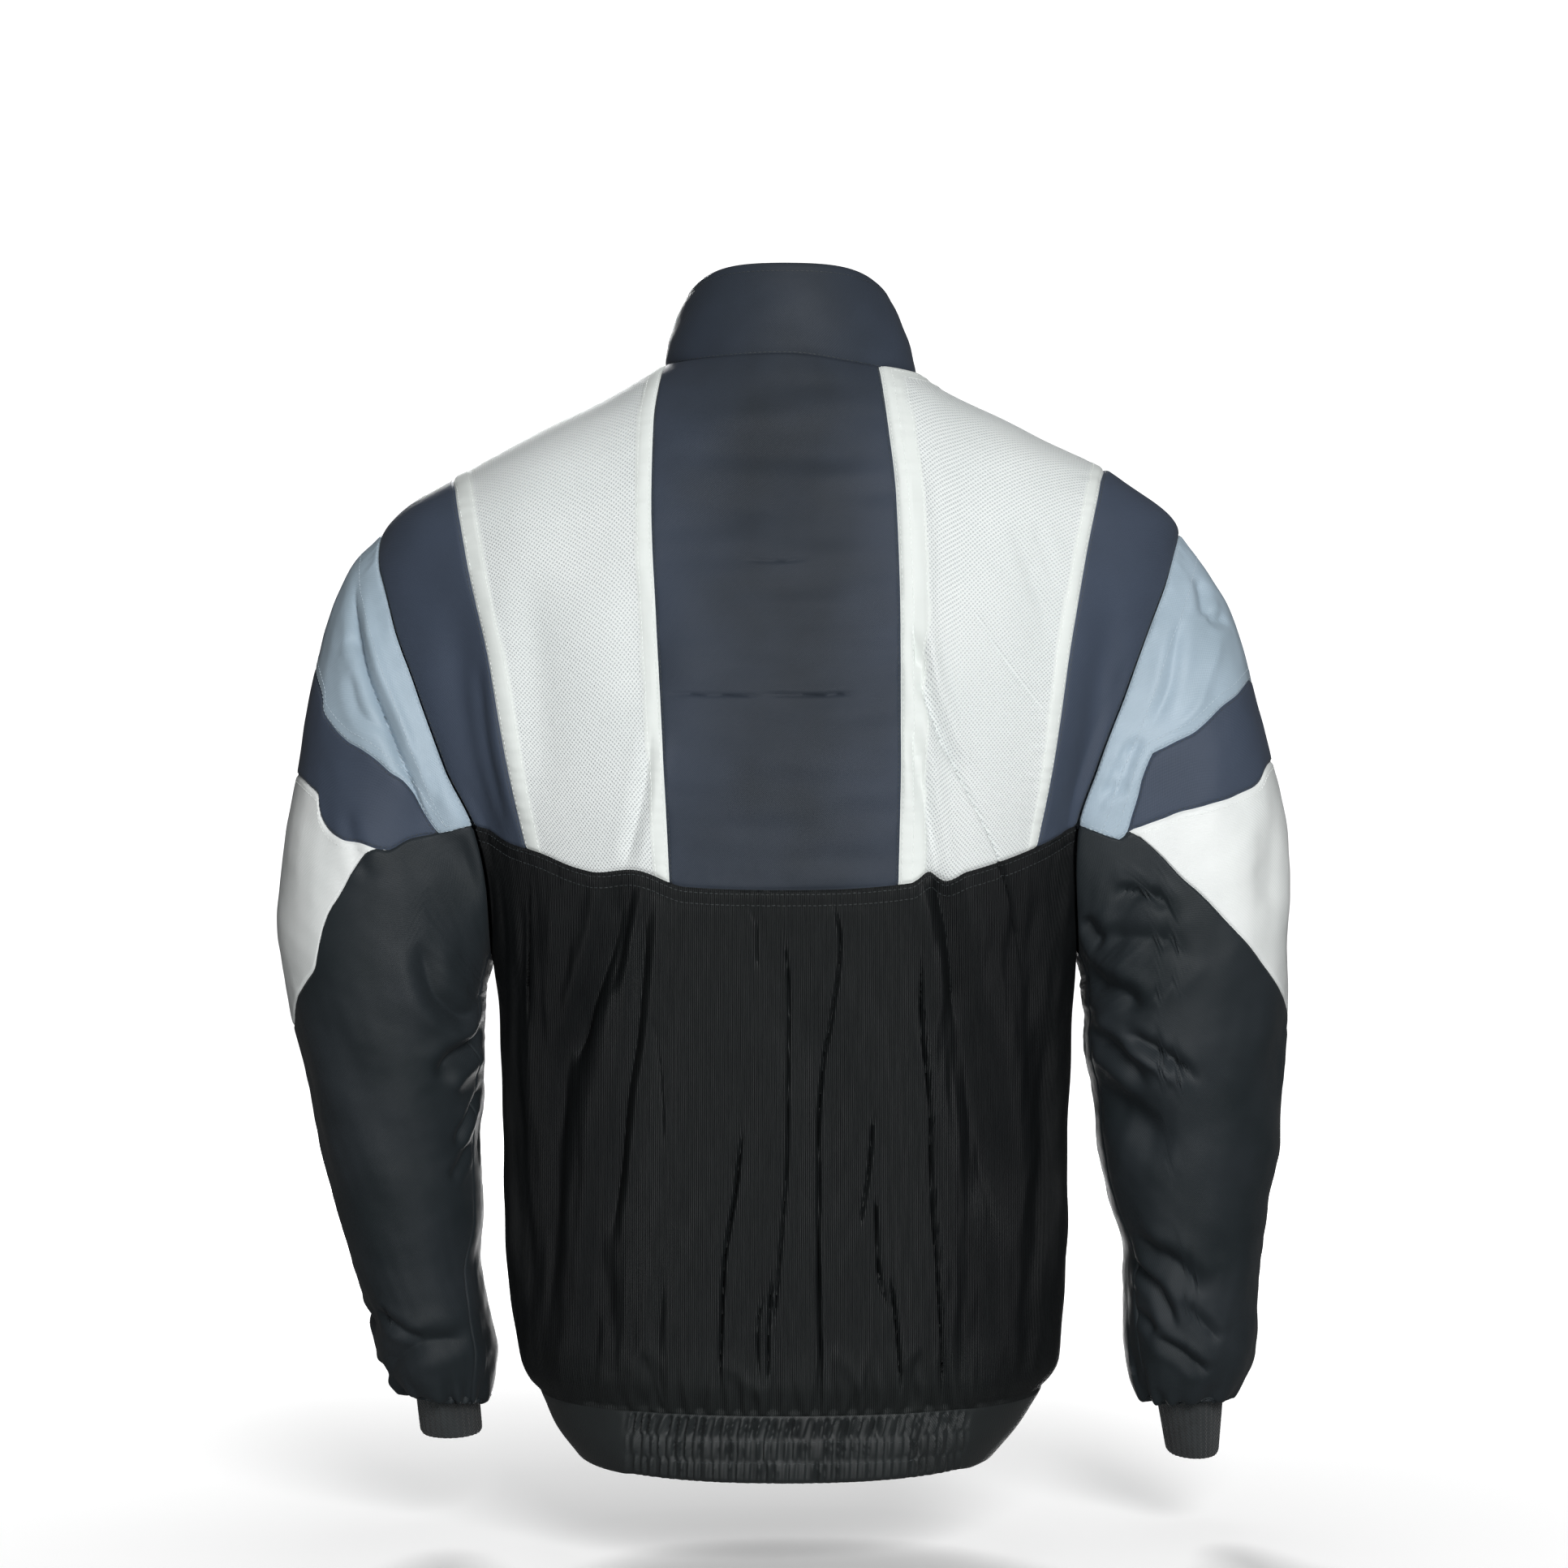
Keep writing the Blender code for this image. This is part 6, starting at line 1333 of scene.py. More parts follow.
def sleeve(side):
    """The four pieces of a sleeve."""
    def edge(name):
        return lambda angles: block_row(side, name, angles)

    def lower_start(angles):
        past_white = np.abs(angles) >= WHITE_TIP[side]
        return np.where(past_white, block_row(side, "dark", angles), block_row(side, "white", angles))

    sleeve_piece(side, "sleeve_blue_cap", BLUE, YOKE_ANGLE, lambda a: 0 * a, edge("blue"),
                 step=FINE_STEP)
    sleeve_piece(side, "sleeve_dark_stripe", CHARCOAL, BLOCK_TIP, edge("blue"),
                 edge("dark"))
    sleeve_piece(side, "sleeve_elbow_piece", WHITE, WHITE_TIP[side], edge("dark"),
                 edge("white"), step=FINE_STEP)
    sleeve_piece(side, "sleeve_lower", BLACK, 180.0, lower_start,
                 lambda a: np.full_like(a, LAST_ROW), step=FINE_STEP, around=True)


def cuff(side):
    """The rib-knit cuff, hanging out of the sleeve's blousing."""
    outer_x, outer_z, inner_x, inner_z, depth, _, middle_y = SLEEVES[side][-1]
    low_outer, low_inner, low_height = CUFF_DROP[side]
    angle = np.radians(np.linspace(0, 360, CUFF_RIB_POINTS * CUFF_RIBS + 1))
    share = spaced(CUFF_LENGTH, FINE_STEP)[:, None]
    top_height = (outer_z + inner_z) / 2 + (outer_z - inner_z) / 2 * np.cos(angle)
    height = top_height + (low_height - top_height) * share
    outside = outer_x + (low_outer - outer_x) * share
    inside_x = inner_x + (low_inner - inner_x) * share
    middle = middle_y + (CUFF_MIDDLE_Y - middle_y) * share
    rib = CUFF_RIB_RISE * (0.5 + 0.5 * np.cos(CUFF_RIBS * angle)) ** 0.7
    inset = CUFF_INSET + CUFF_RIB_RISE - rib
    x = (outside + inside_x) / 2 + ((outside - inside_x) / 2 - inset) * np.cos(angle)
    y = middle + (depth - inset) * np.sin(angle)
    grid = np.stack([side_sign(side) * x, y, height], axis=-1)[::-1]
    outward = np.stack([side_sign(side) * np.cos(angle), np.sin(angle), 0 * angle], axis=-1)
    outward = np.broadcast_to(outward, grid.shape)
    grid = grid + tuck(grid, ("bottom", "top"))[..., None] * outward
    grid[:, -1] = grid[:, 0]
    cloth_piece(f"cuff_{side}", grid, outward, on_cloth(grid), BAND_CLOTH, RIB, around=True)


# ---- the zip


def tape(side):
    """The woven tape behind each front's edge, from the hem to the collar's rim."""
    x = np.linspace(TAPE_EDGE, TAPE_WIDTH, 8)
    sign = side_sign(side)
    neck_height = neckline(sign * zip_turn(side))[2]
    heights = np.linspace(HEM_BOTTOM, neck_height - TAPE_BREAK, 170)[:, None]
    body = at_depth(sign * x[None], heights, -1)
    body_out = torso_outward(body)
    behind = np.where(heights < HEM_TOP + 0.003, BAND_CLOTH, CLOTH)[..., None] + TAPE_SINK
    rises = np.linspace(*TAPE_ON_COLLAR, 20)[:, None]
    turns = sign * (180 - np.degrees(np.arcsin(x / NECK_HALF_WIDTH[side])))[None]
    upper = collar_points(turns, rises)
    upper_out = collar_outward(*np.broadcast_arrays(turns, rises))
    grid = np.concatenate([body - behind * body_out, upper - (COLLAR_CLOTH + TAPE_SINK) * upper_out])
    outward = np.concatenate([body_out, upper_out])
    cloth_piece(f"zip_tape_{side}", grid, outward, on_cloth(grid), TAPE_CLOTH, TAPE)


def tooth_template():
    """One moulded tooth: a block with softened edges, for the tape's edge."""
    bpy.ops.object.select_all(action="DESELECT")
    bpy.ops.mesh.primitive_cube_add(size=1)
    tooth = bpy.context.active_object
    tooth.scale = TOOTH_SIZE
    bpy.ops.object.transform_apply(location=False, rotation=False, scale=True)
    soften = tooth.modifiers.new("soft edges", "BEVEL")
    soften.width = TOOTH_BEVEL
    soften.segments = 1
    bpy.ops.object.modifier_apply(modifier=soften.name)
    return taken(tooth)


def taken(thing):
    """A template's points and faces; the object itself goes."""
    points = np.array([vertex.co for vertex in thing.data.vertices])
    faces = [tuple(face.vertices) for face in thing.data.polygons]
    mesh = thing.data
    bpy.data.objects.remove(thing)
    bpy.data.meshes.remove(mesh)
    return points, faces


def repeated(name, template, places, along, outward, finish):
    """Copies of a template, joined: its X runs along, its Z outward, and its middle lies at places."""
    points, faces = template
    along = along / np.linalg.norm(along, axis=-1, keepdims=True)
    aside = np.cross(outward, along)
    aside /= np.linalg.norm(aside, axis=-1, keepdims=True)
    up = np.cross(along, aside)
    frames = np.stack([along, aside, up], axis=1)
    all_points = (places[:, None] + np.einsum("pk,nkx->npx", points, frames)).reshape(-1, 3)
    starts = len(points) * np.arange(len(places))
    all_faces = [tuple(int(start) + corner for corner in face) for start in starts for face in faces]
    mesh = bpy.data.meshes.new(name)
    mesh.from_pydata(all_points.tolist(), [], all_faces)
    piece = bpy.data.objects.new(name, mesh)
    bpy.context.collection.objects.link(piece)
    mesh.materials.append(finish)
    for face in mesh.polygons:
        face.use_smooth = True
    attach(piece, BODY)


def zip_teeth():
    """The teeth on both tapes, closed below the slider and apart above it."""
    template = tooth_template()
    for side in SIDES:
        sign = side_sign(side)
        phase = 0.0 if side == "left" else TOOTH_PITCH / 2
        neck_height = neckline(sign * zip_turn(side))[2]
        heights = np.linspace(HEM_BOTTOM + TEETH_START, neck_height - TAPE_BREAK, 500)
        path = at_depth(sign * TOOTH_MIDDLE + 0 * heights, heights, -1)
        out = torso_outward(path)
        path = path - (CLOTH + TAPE_SINK - TOOTH_RISE) * out
        rises = np.linspace(*TEETH_ON_COLLAR, 80)
        turn = sign * (180 - math.degrees(math.asin(TOOTH_MIDDLE / NECK_HALF_WIDTH[side])))
        upper, upper_out = collar_points(turn, rises), collar_outward(turn + 0 * rises, rises)
        path = np.concatenate([path, upper - (COLLAR_CLOTH + TAPE_SINK - TOOTH_RISE) * upper_out])
        out = np.concatenate([out, upper_out])
        length = run_length(path)
        stops = np.arange(phase + 0.001, length[-1], TOOTH_PITCH)
        place = read_along(path, length, stops)
        place[:, 0] += sign * np.where(place[:, 2] < SLIDER_HEIGHT, 0.0, TOOTH_APART)
        along = np.broadcast_to(np.array([1.0, 0, 0]), place.shape)
        facing = read_along(out, length, stops)
        repeated(f"zip_teeth_{side}", template, place, along, facing, TEETH)


# ---- stitches


def stitch_template():
    """One stitch: a long bead of thread."""
    bpy.ops.object.select_all(action="DESELECT")
    bpy.ops.mesh.primitive_uv_sphere_add(segments=6, ring_count=4, radius=1, rotation=(0, math.pi / 2, 0))
    stitch = bpy.context.active_object
    bpy.ops.object.transform_apply(location=False, rotation=True, scale=False)
    stitch.scale = (STITCH_LENGTH / 2, THREAD / 2, THREAD / 2)
    bpy.ops.object.transform_apply(location=False, rotation=False, scale=True)
    return taken(stitch)


def beside(piece_name, edge, distance):
    """The line on a piece's face this far from one of its edges, and the outward directions there."""
    grid, outward, _ = PIECES[piece_name]
    away = seam_distance(grid, edge)
    if edge in ("bottom", "top"):
        grid, outward, away = grid.swapaxes(0, 1), outward.swapaxes(0, 1), away.swapaxes(0, 1)
    if edge in ("top", "last"):
        grid, outward, away = grid[:, ::-1], outward[:, ::-1], away[:, ::-1]
    rows = range(len(grid))
    return [
        np.stack([[np.interp(distance, away[i], values[i, :, k]) for k in range(3)] for i in rows])
        for values in (grid, outward)
    ]


def stitch_row(piece_name, edge, distance, start=0.0, end=1.0):
    """Places, directions and outward directions of the stitches of one row."""
    line, out = beside(piece_name, edge, distance)
    length = run_length(line)
    count = max(2, round((end - start) * length[-1] / STITCH_PITCH))
    stops = (start + (end - start) * (np.arange(count) + 0.5) / count) * length[-1]
    half = STITCH_LENGTH / 2
    before, place, after = (read_along(line, length, stops + shift) for shift in (-half, 0.0, half))
    facing = read_along(out, length, stops)
    facing /= np.linalg.norm(facing, axis=-1, keepdims=True)
    return place + THREAD * STITCH_RISE * facing, after - before, facing


def stitching(name, finish, rows):
    """One joined piece of stitches along several rows."""
    parts = [stitch_row(*row) for row in rows]
    place, along, facing = (np.concatenate([part[k] for part in parts]) for k in range(3))
    repeated(name, STITCH, place, along, facing, finish)


# ---- finishes


def shade(hexadecimal):
    """An sRGB hex colour as linear red, green, blue and alpha."""
    values = [int(hexadecimal[k:k + 2], 16) / 255 for k in (1, 3, 5)]
    return (*[v / 12.92 if v <= 0.04045 else ((v + 0.055) / 1.055) ** 2.4 for v in values], 1.0)


def add_node(tree, kind, inputs=None, **settings):
    """Adds a node. inputs maps its sockets to values, or to other nodes' outputs."""
    node = tree.nodes.new(kind)
    for name, value in settings.items():
        setattr(node, name, value)
    for socket, value in (inputs or {}).items():
        if isinstance(value, bpy.types.NodeSocket):
            tree.links.new(value, node.inputs[socket])
        else:
            node.inputs[socket].default_value = value
    return node


def new_finish(name, roughness, ior=1.5, **more):
    """A material with its main shader; more sets further sockets of the shader."""
    finish = bpy.data.materials.new(name)
    finish.use_nodes = True
    tree = finish.node_tree
    shader = tree.nodes["Principled BSDF"]
    shader.inputs["Roughness"].default_value = roughness
    shader.inputs["IOR"].default_value = ior
    for socket, value in more.items():
        shader.inputs[socket.replace("_", " ")].default_value = value
    return finish, tree, shader


def two_tones(tree, factor, low, high):
    """A colour between two, by a factor from 0 to 1."""
    mix = add_node(tree, "ShaderNodeMix", {"Factor": factor}, data_type="RGBA")
    mix.inputs[6].default_value = shade(low)
    mix.inputs[7].default_value = shade(high)
    return mix.outputs[2]


def stepped(tree, value, low, high, to_low=0.0, to_high=1.0):
    """A value read from one range into another, held at its ends."""
    ranged = add_node(tree, "ShaderNodeMapRange", {
        "Value": value, "From Min": low, "From Max": high, "To Min": to_low, "To Max": to_high,
    })
    return ranged.outputs[0]


def summed(tree, first, second, share=1.0):
    """first plus share of second."""
    return add_node(
        tree, "ShaderNodeMath", {0: second, 1: share, 2: first}, operation="MULTIPLY_ADD"
    ).outputs[0]


def plain_weave(tree, thread):
    """Height of a plain weave with this thread spacing in metres, on the cloth's own map."""
    place = add_node(tree, "ShaderNodeUVMap", uv_map="cloth").outputs[0]
    scaled = add_node(
        tree, "ShaderNodeVectorMath", {0: place, 1: (math.pi / thread,) * 3}, operation="MULTIPLY"
    ).outputs[0]
    split = add_node(tree, "ShaderNodeSeparateXYZ", {0: scaled})
    waves = [
        add_node(tree, "ShaderNodeMath", {0: split.outputs[k]}, operation="SINE").outputs[0]
        for k in (0, 1)
    ]
    return add_node(tree, "ShaderNodeMath", {0: waves[0], 1: waves[1]}, operation="MULTIPLY").outputs[0]


def soft_noise(tree, size, detail=2.0):
    """Uneven noise from 0 to 1 with features of this size in metres."""
    place = add_node(tree, "ShaderNodeTexCoord").outputs["Object"]
    noise = add_node(tree, "ShaderNodeTexNoise", {"Vector": place, "Scale": 1 / size, "Detail": detail})
    return noise.outputs["Fac"]


def uneven(tree, size):
    """A tone that drifts from 0 to 1 over patches of this size in metres."""
    return stepped(tree, soft_noise(tree, size), *NOISE_RANGE)


def coloured(tree, shader, tone, low, high):
    """Gives the shader a base colour between two, by a tone from 0 to 1."""
    tree.links.new(two_tones(tree, tone, low, high), shader.inputs["Base Color"])


def bumped(tree, shader, height, distance):
    bump_node = add_node(tree, "ShaderNodeBump", {"Height": height, "Distance": distance})
    tree.links.new(bump_node.outputs[0], shader.inputs["Normal"])


NOISE_RANGE = (0.3, 0.7)  # nearly all of a noise lies between these
CRINKLE_PITCH = 0.0012
CRINKLE_STRETCH = 0.16  # its pattern changes this much more slowly down the cloth than across
CRINKLE_PATCH = 0.0035
HOLE_PITCH = 0.0020  # between the mesh's holes, drawn coarser than the usual 1.3 mm so that they show
HOLE_RIM = (0.17, 0.34)  # of that pitch: from a hole's middle, where its rim starts and ends
PAINTED_SHEEN_SPAN = (0.02, 0.13)  # painted sheen: the charcoal cloth is drawn paler and bluer at this distance from the centre line
PAINTED_SHADE_SPAN = (0.08, 0.135)  # painted shade: the crinkled cloth is drawn darker at this distance from the centre line, and rougher
PAINTED_LIGHT_BELOW = (-0.595, -0.632)  # painted light: the crinkled cloth is drawn paler between these heights, where it faces down from the lamps


def placed(tree):
    """The distance from the centre line, and the height."""
    place = add_node(tree, "ShaderNodeTexCoord").outputs["Object"]
    split = add_node(tree, "ShaderNodeSeparateXYZ", {0: place})
    aside = add_node(tree, "ShaderNodeMath", {0: split.outputs["X"]}, operation="ABSOLUTE").outputs[0]
    return aside, split.outputs["Z"]


def woven(name, low, high, thread=0.0007, relief=0.00005, roughness=0.5, level=0.3, crumple=3.0,
          painted_sheen=False):
    """Plain-woven polyester: threads crossing, small crumples, and soft unevenness in tone.

    thread is the spacing of the threads, relief their height, and painted_sheen paints a sheen that makes
    the sides paler.
    """
    finish, tree, shader = new_finish(
        name, roughness, Sheen_Weight=0.02, Sheen_Roughness=0.45, Specular_IOR_Level=level
    )
    tone = uneven(tree, 0.05)
    if painted_sheen:
        # Painted sheen: the colour moves towards the paler one away from the centre line.
        tone = summed(tree, stepped(tree, placed(tree)[0], *PAINTED_SHEEN_SPAN, 0.0, 0.8), tone, 0.2)
    coloured(tree, shader, tone, low, high)
    height = summed(tree, plain_weave(tree, thread), soft_noise(tree, 0.012, 3.0), crumple)
    bumped(tree, shader, height, relief)
    return finish


def crinkled():
    """Crinkle-finished polyester: fine upright ribs, a silky lustre and hardly any colour."""
    finish, tree, shader = new_finish("crinkled polyester, piece-dyed", 0.46, Specular_IOR_Level=0.2)
    place = add_node(tree, "ShaderNodeUVMap", uv_map="cloth").outputs[0]
    upright = add_node(tree, "ShaderNodeMapping", {
        "Vector": place, "Scale": (1, CRINKLE_STRETCH, 1),
    }).outputs[0]
    wander = add_node(
        tree, "ShaderNodeTexNoise", {"Vector": upright, "Scale": 1 / CRINKLE_PATCH, "Detail": 2.0}
    ).outputs["Fac"]
    # At scale 1 the bands of Blender's wave texture are 2 pi / 20 apart.
    ribs = add_node(tree, "ShaderNodeTexWave", {
        "Vector": upright, "Scale": 2 * math.pi / (20 * CRINKLE_PITCH),
        "Distortion": 1.2, "Detail": 1.5, "Detail Scale": 1.2,
    }, bands_direction="X")
    height = summed(tree, ribs.outputs["Fac"], wander, 0.8)
    # Painted shade in the ribs' valleys, and tone that drifts at random with the crinkles' noise: the
    # colour follows the height.
    tone = stepped(tree, height, 0.3, 1.5)
    aside, rise = placed(tree)
    # Painted light: paler towards the hem band, where the cloth faces down.
    tone = summed(tree, stepped(tree, rise, *PAINTED_LIGHT_BELOW, 0.0, 0.5), tone, 0.6)
    # Painted shade: darker towards the sides, where the cloth turns from the light.
    tone = summed(tree, tone, stepped(tree, aside, *PAINTED_SHADE_SPAN, 0.0, 1.0), -0.45)
    coloured(tree, shader, tone, "#080b0d", "#262929")
    tree.links.new(stepped(tree, aside, *PAINTED_SHADE_SPAN, 0.46, 0.56), shader.inputs["Roughness"])
    bumped(tree, shader, height, 0.0003)
    return finish


def perforated():
    """Warp-knit polyester mesh: rows of small round holes set diamond-wise, with solid edge strips."""
    finish, tree, shader = new_finish(
        "warp-knit mesh, white polyester", 0.62,
        Sheen_Weight=0.05, Sheen_Roughness=0.5, Specular_IOR_Level=0.3,
    )
    place = add_node(tree, "ShaderNodeUVMap", uv_map="cloth").outputs[0]
    turned = add_node(tree, "ShaderNodeMapping", {
        "Vector": place, "Rotation": (0, 0, math.radians(45)), "Scale": (1 / HOLE_PITCH,) * 3,
    }).outputs[0]
    cell = add_node(tree, "ShaderNodeVectorMath", {0: turned}, operation="FRACTION").outputs[0]
    from_middle = add_node(
        tree, "ShaderNodeVectorMath", {0: cell, 1: (0.5, 0.5, 0.0)}, operation="SUBTRACT"
    ).outputs[0]
    away = add_node(tree, "ShaderNodeVectorMath", {0: from_middle}, operation="LENGTH").outputs["Value"]
    solid = stepped(tree, away, *HOLE_RIM)
    strip = add_node(tree, "ShaderNodeAttribute", attribute_name="strip").outputs["Fac"]
    covered = add_node(tree, "ShaderNodeMath", {0: solid, 1: strip}, operation="MAXIMUM").outputs[0]
    net = two_tones(tree, uneven(tree, 0.06), "#d9dedd", "#dfe3e2")
    mixed = add_node(tree, "ShaderNodeMix", {"Factor": covered, 7: net}, data_type="RGBA")
    mixed.inputs[6].default_value = shade("#c6cccd")
    whole = add_node(tree, "ShaderNodeMix", {"Factor": strip, 6: mixed.outputs[2]}, data_type="RGBA")
    whole.inputs[7].default_value = shade("#d6dbd8")
    tree.links.new(whole.outputs[2], shader.inputs["Base Color"])
    bumped(tree, shader, covered, 0.0004)
    return finish


def rib_knit():
    """Rib-knit acrylic: upright stitches, soft and dull."""
    finish, tree, shader = new_finish(
        "1x1 rib knit, dyed acrylic", 0.85, Sheen_Weight=0.1, Sheen_Roughness=0.6
    )
    coloured(tree, shader, uneven(tree, 0.02), "#191d1f", "#262b2d")
    height = summed(tree, plain_weave(tree, 0.0012), soft_noise(tree, 0.002, 3.0), 0.8)
    bumped(tree, shader, height, 0.0003)
    return finish


def twill_tape():
    """Woven zip tape: a dull herringbone of polyester."""
    finish, tree, shader = new_finish("herringbone tape, dyed polyester", 0.7)
    coloured(tree, shader, uneven(tree, 0.02), "#15181a", "#202426")
    bumped(tree, shader, plain_weave(tree, 0.0008), 0.0002)
    return finish


def lacquered_zinc():
    """Die-cast zinc under a dark lacquer: smooth, with handling marks."""
    finish, tree, shader = new_finish("die-cast zinc, dark lacquer", 0.32, Metallic=0.9)
    coloured(tree, shader, uneven(tree, 0.004), "#3c3f42", "#55595c")
    marks = stepped(tree, soft_noise(tree, 0.002), *NOISE_RANGE, 0.25, 0.42)
    tree.links.new(marks, shader.inputs["Roughness"])
    return finish


def moulded_teeth():
    """Moulded polyacetal: a slight gloss."""
    finish, tree, shader = new_finish("moulded polyacetal, black", 0.35)
    coloured(tree, shader, uneven(tree, 0.003), "#141617", "#1f2224")
    return finish


def sewing_thread(name, low, high):
    """Spun polyester thread: twisted strands, slightly glossy."""
    finish, tree, shader = new_finish(name, 0.55, Sheen_Weight=0.05)
    coloured(tree, shader, uneven(tree, 0.004), low, high)
    return finish


# Plain-woven polyester shows threads of 0.25 mm; they are drawn 0.6 to 0.8 mm apart so that they show.
# The charcoal carries painted sheen on its sides, where the cloth turns to the light.
CHARCOAL = woven("plain-woven polyester, charcoal", "#292e34", "#404958", level=0.12, painted_sheen=True)
BLACK = woven("plain-woven polyester, black", "#1e2427", "#282d31", level=0.18, crumple=2.5)
WHITE = woven("plain-woven polyester, white", "#d8dcdb", "#e1e4e3")
BLUE = woven("polyester taffeta, pale blue", "#93a4b0", "#a0b1be", thread=0.0006, roughness=0.42)
BAND = woven("shirred polyester over elastic", "#15191a", "#1e2324", thread=0.0008, relief=0.00006,
             roughness=0.55, level=0.5)
CRINKLED, MESH, RIB, TAPE = crinkled(), perforated(), rib_knit(), twill_tape()
ZINC, TEETH = lacquered_zinc(), moulded_teeth()
DARK_THREAD = sewing_thread("spun polyester thread, charcoal", "#2b3133", "#3b4143")
WHITE_THREAD = sewing_thread("spun polyester thread, white", "#e2e7e5", "#f2f5f3")
BLUE_THREAD = sewing_thread("spun polyester thread, pale blue", "#a9b8c2", "#c0ccd4")


# ---- the garment


def mark_strips(side):
    """Marks the solid edge strips of a mesh panel, which its finish reads."""
    grid, _, piece = PIECES[f"back_mesh_panel_{side}"]
    share = np.zeros(grid.shape[:2])
    for edge, widths in STRIPS[side].items():
        inside = widths[-1] + STRIP_FADE - seam_distance(grid, edge)
        share = np.maximum(share, ease(inside / (2 * STRIP_FADE)))
    tree = KDTree(grid.shape[0] * grid.shape[1])
    for k, point in enumerate(grid.reshape(-1, 3)):
        tree.insert(point, k)
    tree.balance()
    values = [share.reshape(-1)[tree.find(vertex.co)[1]] for vertex in piece.data.vertices]
    layer = piece.data.attributes.new("strip", "FLOAT", "POINT")
    layer.data.foreach_set("value", np.array(values, np.float32))


lower_back()
upper_back()
hem_band()
collar()
for wearers_side in SIDES:
    front(wearers_side)
    sleeve(wearers_side)
    cuff(wearers_side)
    tape(wearers_side)
    mark_strips(wearers_side)

STITCH = stitch_template()
zip_teeth()
stitching("stitches_dark", DARK_THREAD, [
    *(("back_lower_panel", "top", distance) for distance in YOKE_ROWS),
    *(("back_centre_panel", edge, SEAM_STITCHES) for edge in ("first", "last")),
    *(("collar", edge, distance) for edge, distance in COLLAR_STITCHES.items()),
    *(("hem_band_back", "bottom", distance, *ELASTIC_SHARES) for distance in BAND_STITCHES),
    *((f"back_side_panel_{side}", edge, SEAM_STITCHES) for side in SIDES for edge in ("first", "last")),
    *((f"sleeve_dark_stripe_{side}", edge, SEAM_STITCHES) for side in SIDES for edge in ("bottom", "top")),
    *((f"front_{side}", "last", ZIP_STITCHES) for side in SIDES),
    *((f"hem_band_front_{side}", "top", SEAM_STITCHES) for side in SIDES),
])
stitching("stitches_white", WHITE_THREAD, [
    *(
        (f"back_mesh_panel_{side}", edge, distance)
        for side in SIDES
        for edge in ("first", "last")
        for distance in (SEAM_STITCHES, *(width - STRIP_STITCHES for width in STRIPS[side][edge]))
    ),
    *((f"sleeve_elbow_piece_{side}", "bottom", ELBOW_STITCHES) for side in SIDES),
])
stitching("stitches_blue", BLUE_THREAD, [
    (f"sleeve_blue_cap_{side}", edge, distance)
    for edge, distances in CAP_STITCHES.items()
    for side in SIDES
    for distance in distances
])

for node_name in ("zip_slider", "zip_pull_tab"):
    for material_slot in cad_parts[node_name].material_slots:
        material_slot.material = ZINC


GATHERED = ("back_lower_panel", "hem_band_back", "cuff_left", "cuff_right")
HELD = {"collar": "folded", **dict.fromkeys(GATHERED, "gathered")}


# ---- the studio

FLOOR = -0.745
ROOM_RADIUS = 4.0  # wide enough to stand round every camera
ROOM_BEND = 1.2  # the floor curves up into the wall over this distance
ROOM_HEIGHT = 3.5
PAPER_GLOW = (0.8, 1.8, 0.12, 1.0)  # two distances from the jacket, and how bright the paper is there
# The lamps, as (name, place, size, power). Both fills stand below the floor, which holds back no light.
LAMPS = (
    ("key", (-0.7, 2.5, 0.75), 1.3, 64.0),
    ("fill", (0.15, 2.2, -1.2), 1.6, 22.0),
    ("front_key", (0.35, -2.5, 0.75), 1.0, 60.0),
    ("front_fill", (-0.15, -2.2, -1.2), 1.2, 20.0),
    ("top", (0.0, 0.1, 2.0), 1.4, 6.0),
)
LAMP_AIM = (0, 0, -0.3)
ROOM_LIGHT = 0.10  # from all round
CAMERA_PLACE = (0.0, 2.2, -0.2606)
PICTURE_SIZE = 1932  # pixels
FOCAL_LENGTH = 4272  # pixels
SENSOR_WIDTH = 36  # millimetres


def studio_paper():
    """Matt white paper, which glows more and more away from the jacket, so that the room is white."""
    finish, tree, shader = new_finish("studio paper, matt white", 0.9)
    coloured(tree, shader, uneven(tree, 0.4), "#f6f6f6", "#f9f9f9")
    place = add_node(tree, "ShaderNodeTexCoord").outputs["Object"]
    away = add_node(tree, "ShaderNodeVectorMath", {0: place}, operation="LENGTH").outputs["Value"]
    shader.inputs["Emission Color"].default_value = (1, 1, 1, 1)
    tree.links.new(stepped(tree, away, *PAPER_GLOW), shader.inputs["Emission Strength"])
    return finish


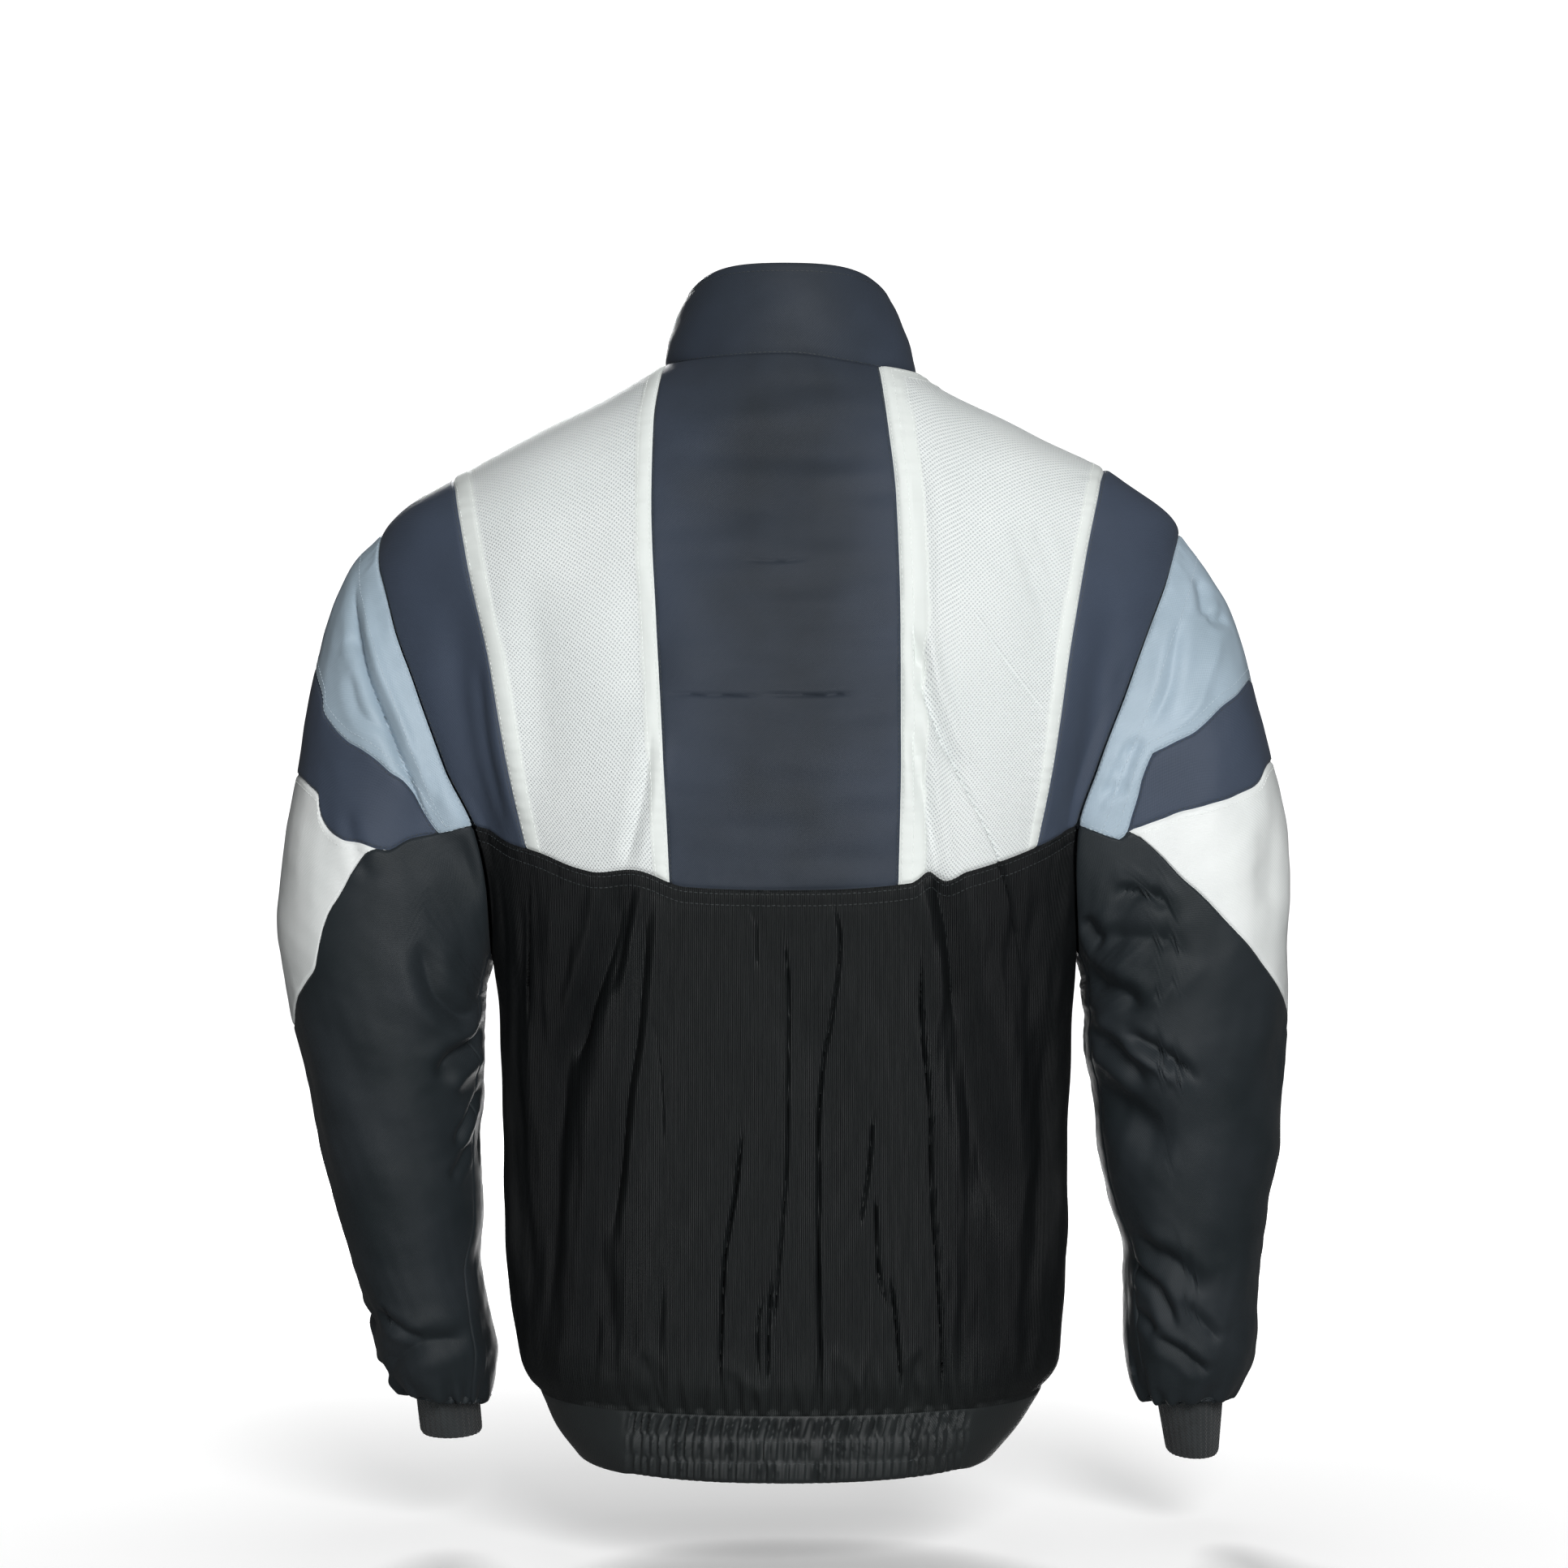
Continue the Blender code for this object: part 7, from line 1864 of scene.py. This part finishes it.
def floor_and_backdrop():
    """A round floor that curves up into a wall, in one sheet."""
    bpy.ops.object.select_all(action="DESELECT")
    bpy.ops.mesh.primitive_grid_add(x_subdivisions=96, y_subdivisions=48, size=1)
    room = bpy.context.active_object
    room.name = room.data.name = "floor_and_backdrop"
    for vertex in room.data.vertices:
        turn = 2 * math.pi * (vertex.co.x + 0.5)
        reach = (vertex.co.y + 0.5) * (ROOM_RADIUS + ROOM_BEND * (math.pi / 2 - 1) + ROOM_HEIGHT)
        bend = min(max((reach - ROOM_RADIUS + ROOM_BEND) / ROOM_BEND, 0.0), math.pi / 2)
        flat = min(reach, ROOM_RADIUS - ROOM_BEND)
        radius = flat + ROOM_BEND * math.sin(bend)
        climb = max(reach - (ROOM_RADIUS - ROOM_BEND) - ROOM_BEND * math.pi / 2, 0.0)
        height = FLOOR + ROOM_BEND * (1 - math.cos(bend)) + climb
        vertex.co = (radius * math.sin(turn), radius * math.cos(turn), height)
    bpy.ops.object.shade_smooth()
    room.visible_diffuse = room.visible_glossy = room.visible_shadow = False
    room.data.materials.append(studio_paper())


def add_lamp(name, place, size, power):
    lamp = bpy.data.lights.new(name, "AREA")
    lamp.shape = "DISK"
    lamp.size = size
    lamp.energy = power
    stand = bpy.data.objects.new(name, lamp)
    stand.location = place
    stand.rotation_euler = (Vector(LAMP_AIM) - Vector(place)).to_track_quat("-Z", "Y").to_euler()
    stand.visible_camera = False
    bpy.context.collection.objects.link(stand)


def light_all_round():
    world = bpy.data.worlds.new("soft white room")
    world.use_nodes = True
    background = world.node_tree.nodes["Background"]
    background.inputs["Color"].default_value = (1, 1, 1, 1)
    background.inputs["Strength"].default_value = ROOM_LIGHT
    bpy.context.scene.world = world


def add_camera():
    """The camera, level with the middle of the jacket and square to its back."""
    camera = bpy.data.cameras.new("camera")
    camera.sensor_width = SENSOR_WIDTH
    camera.lens = SENSOR_WIDTH * FOCAL_LENGTH / PICTURE_SIZE
    eye = bpy.data.objects.new("camera", camera)
    eye.location = CAMERA_PLACE
    eye.rotation_euler = (math.pi / 2, 0, math.pi)
    bpy.context.collection.objects.link(eye)
    bpy.context.scene.camera = eye


floor_and_backdrop()
bpy.context.scene.view_settings.view_transform = "Standard"
for settings in LAMPS:
    add_lamp(*settings)
light_all_round()
add_camera()
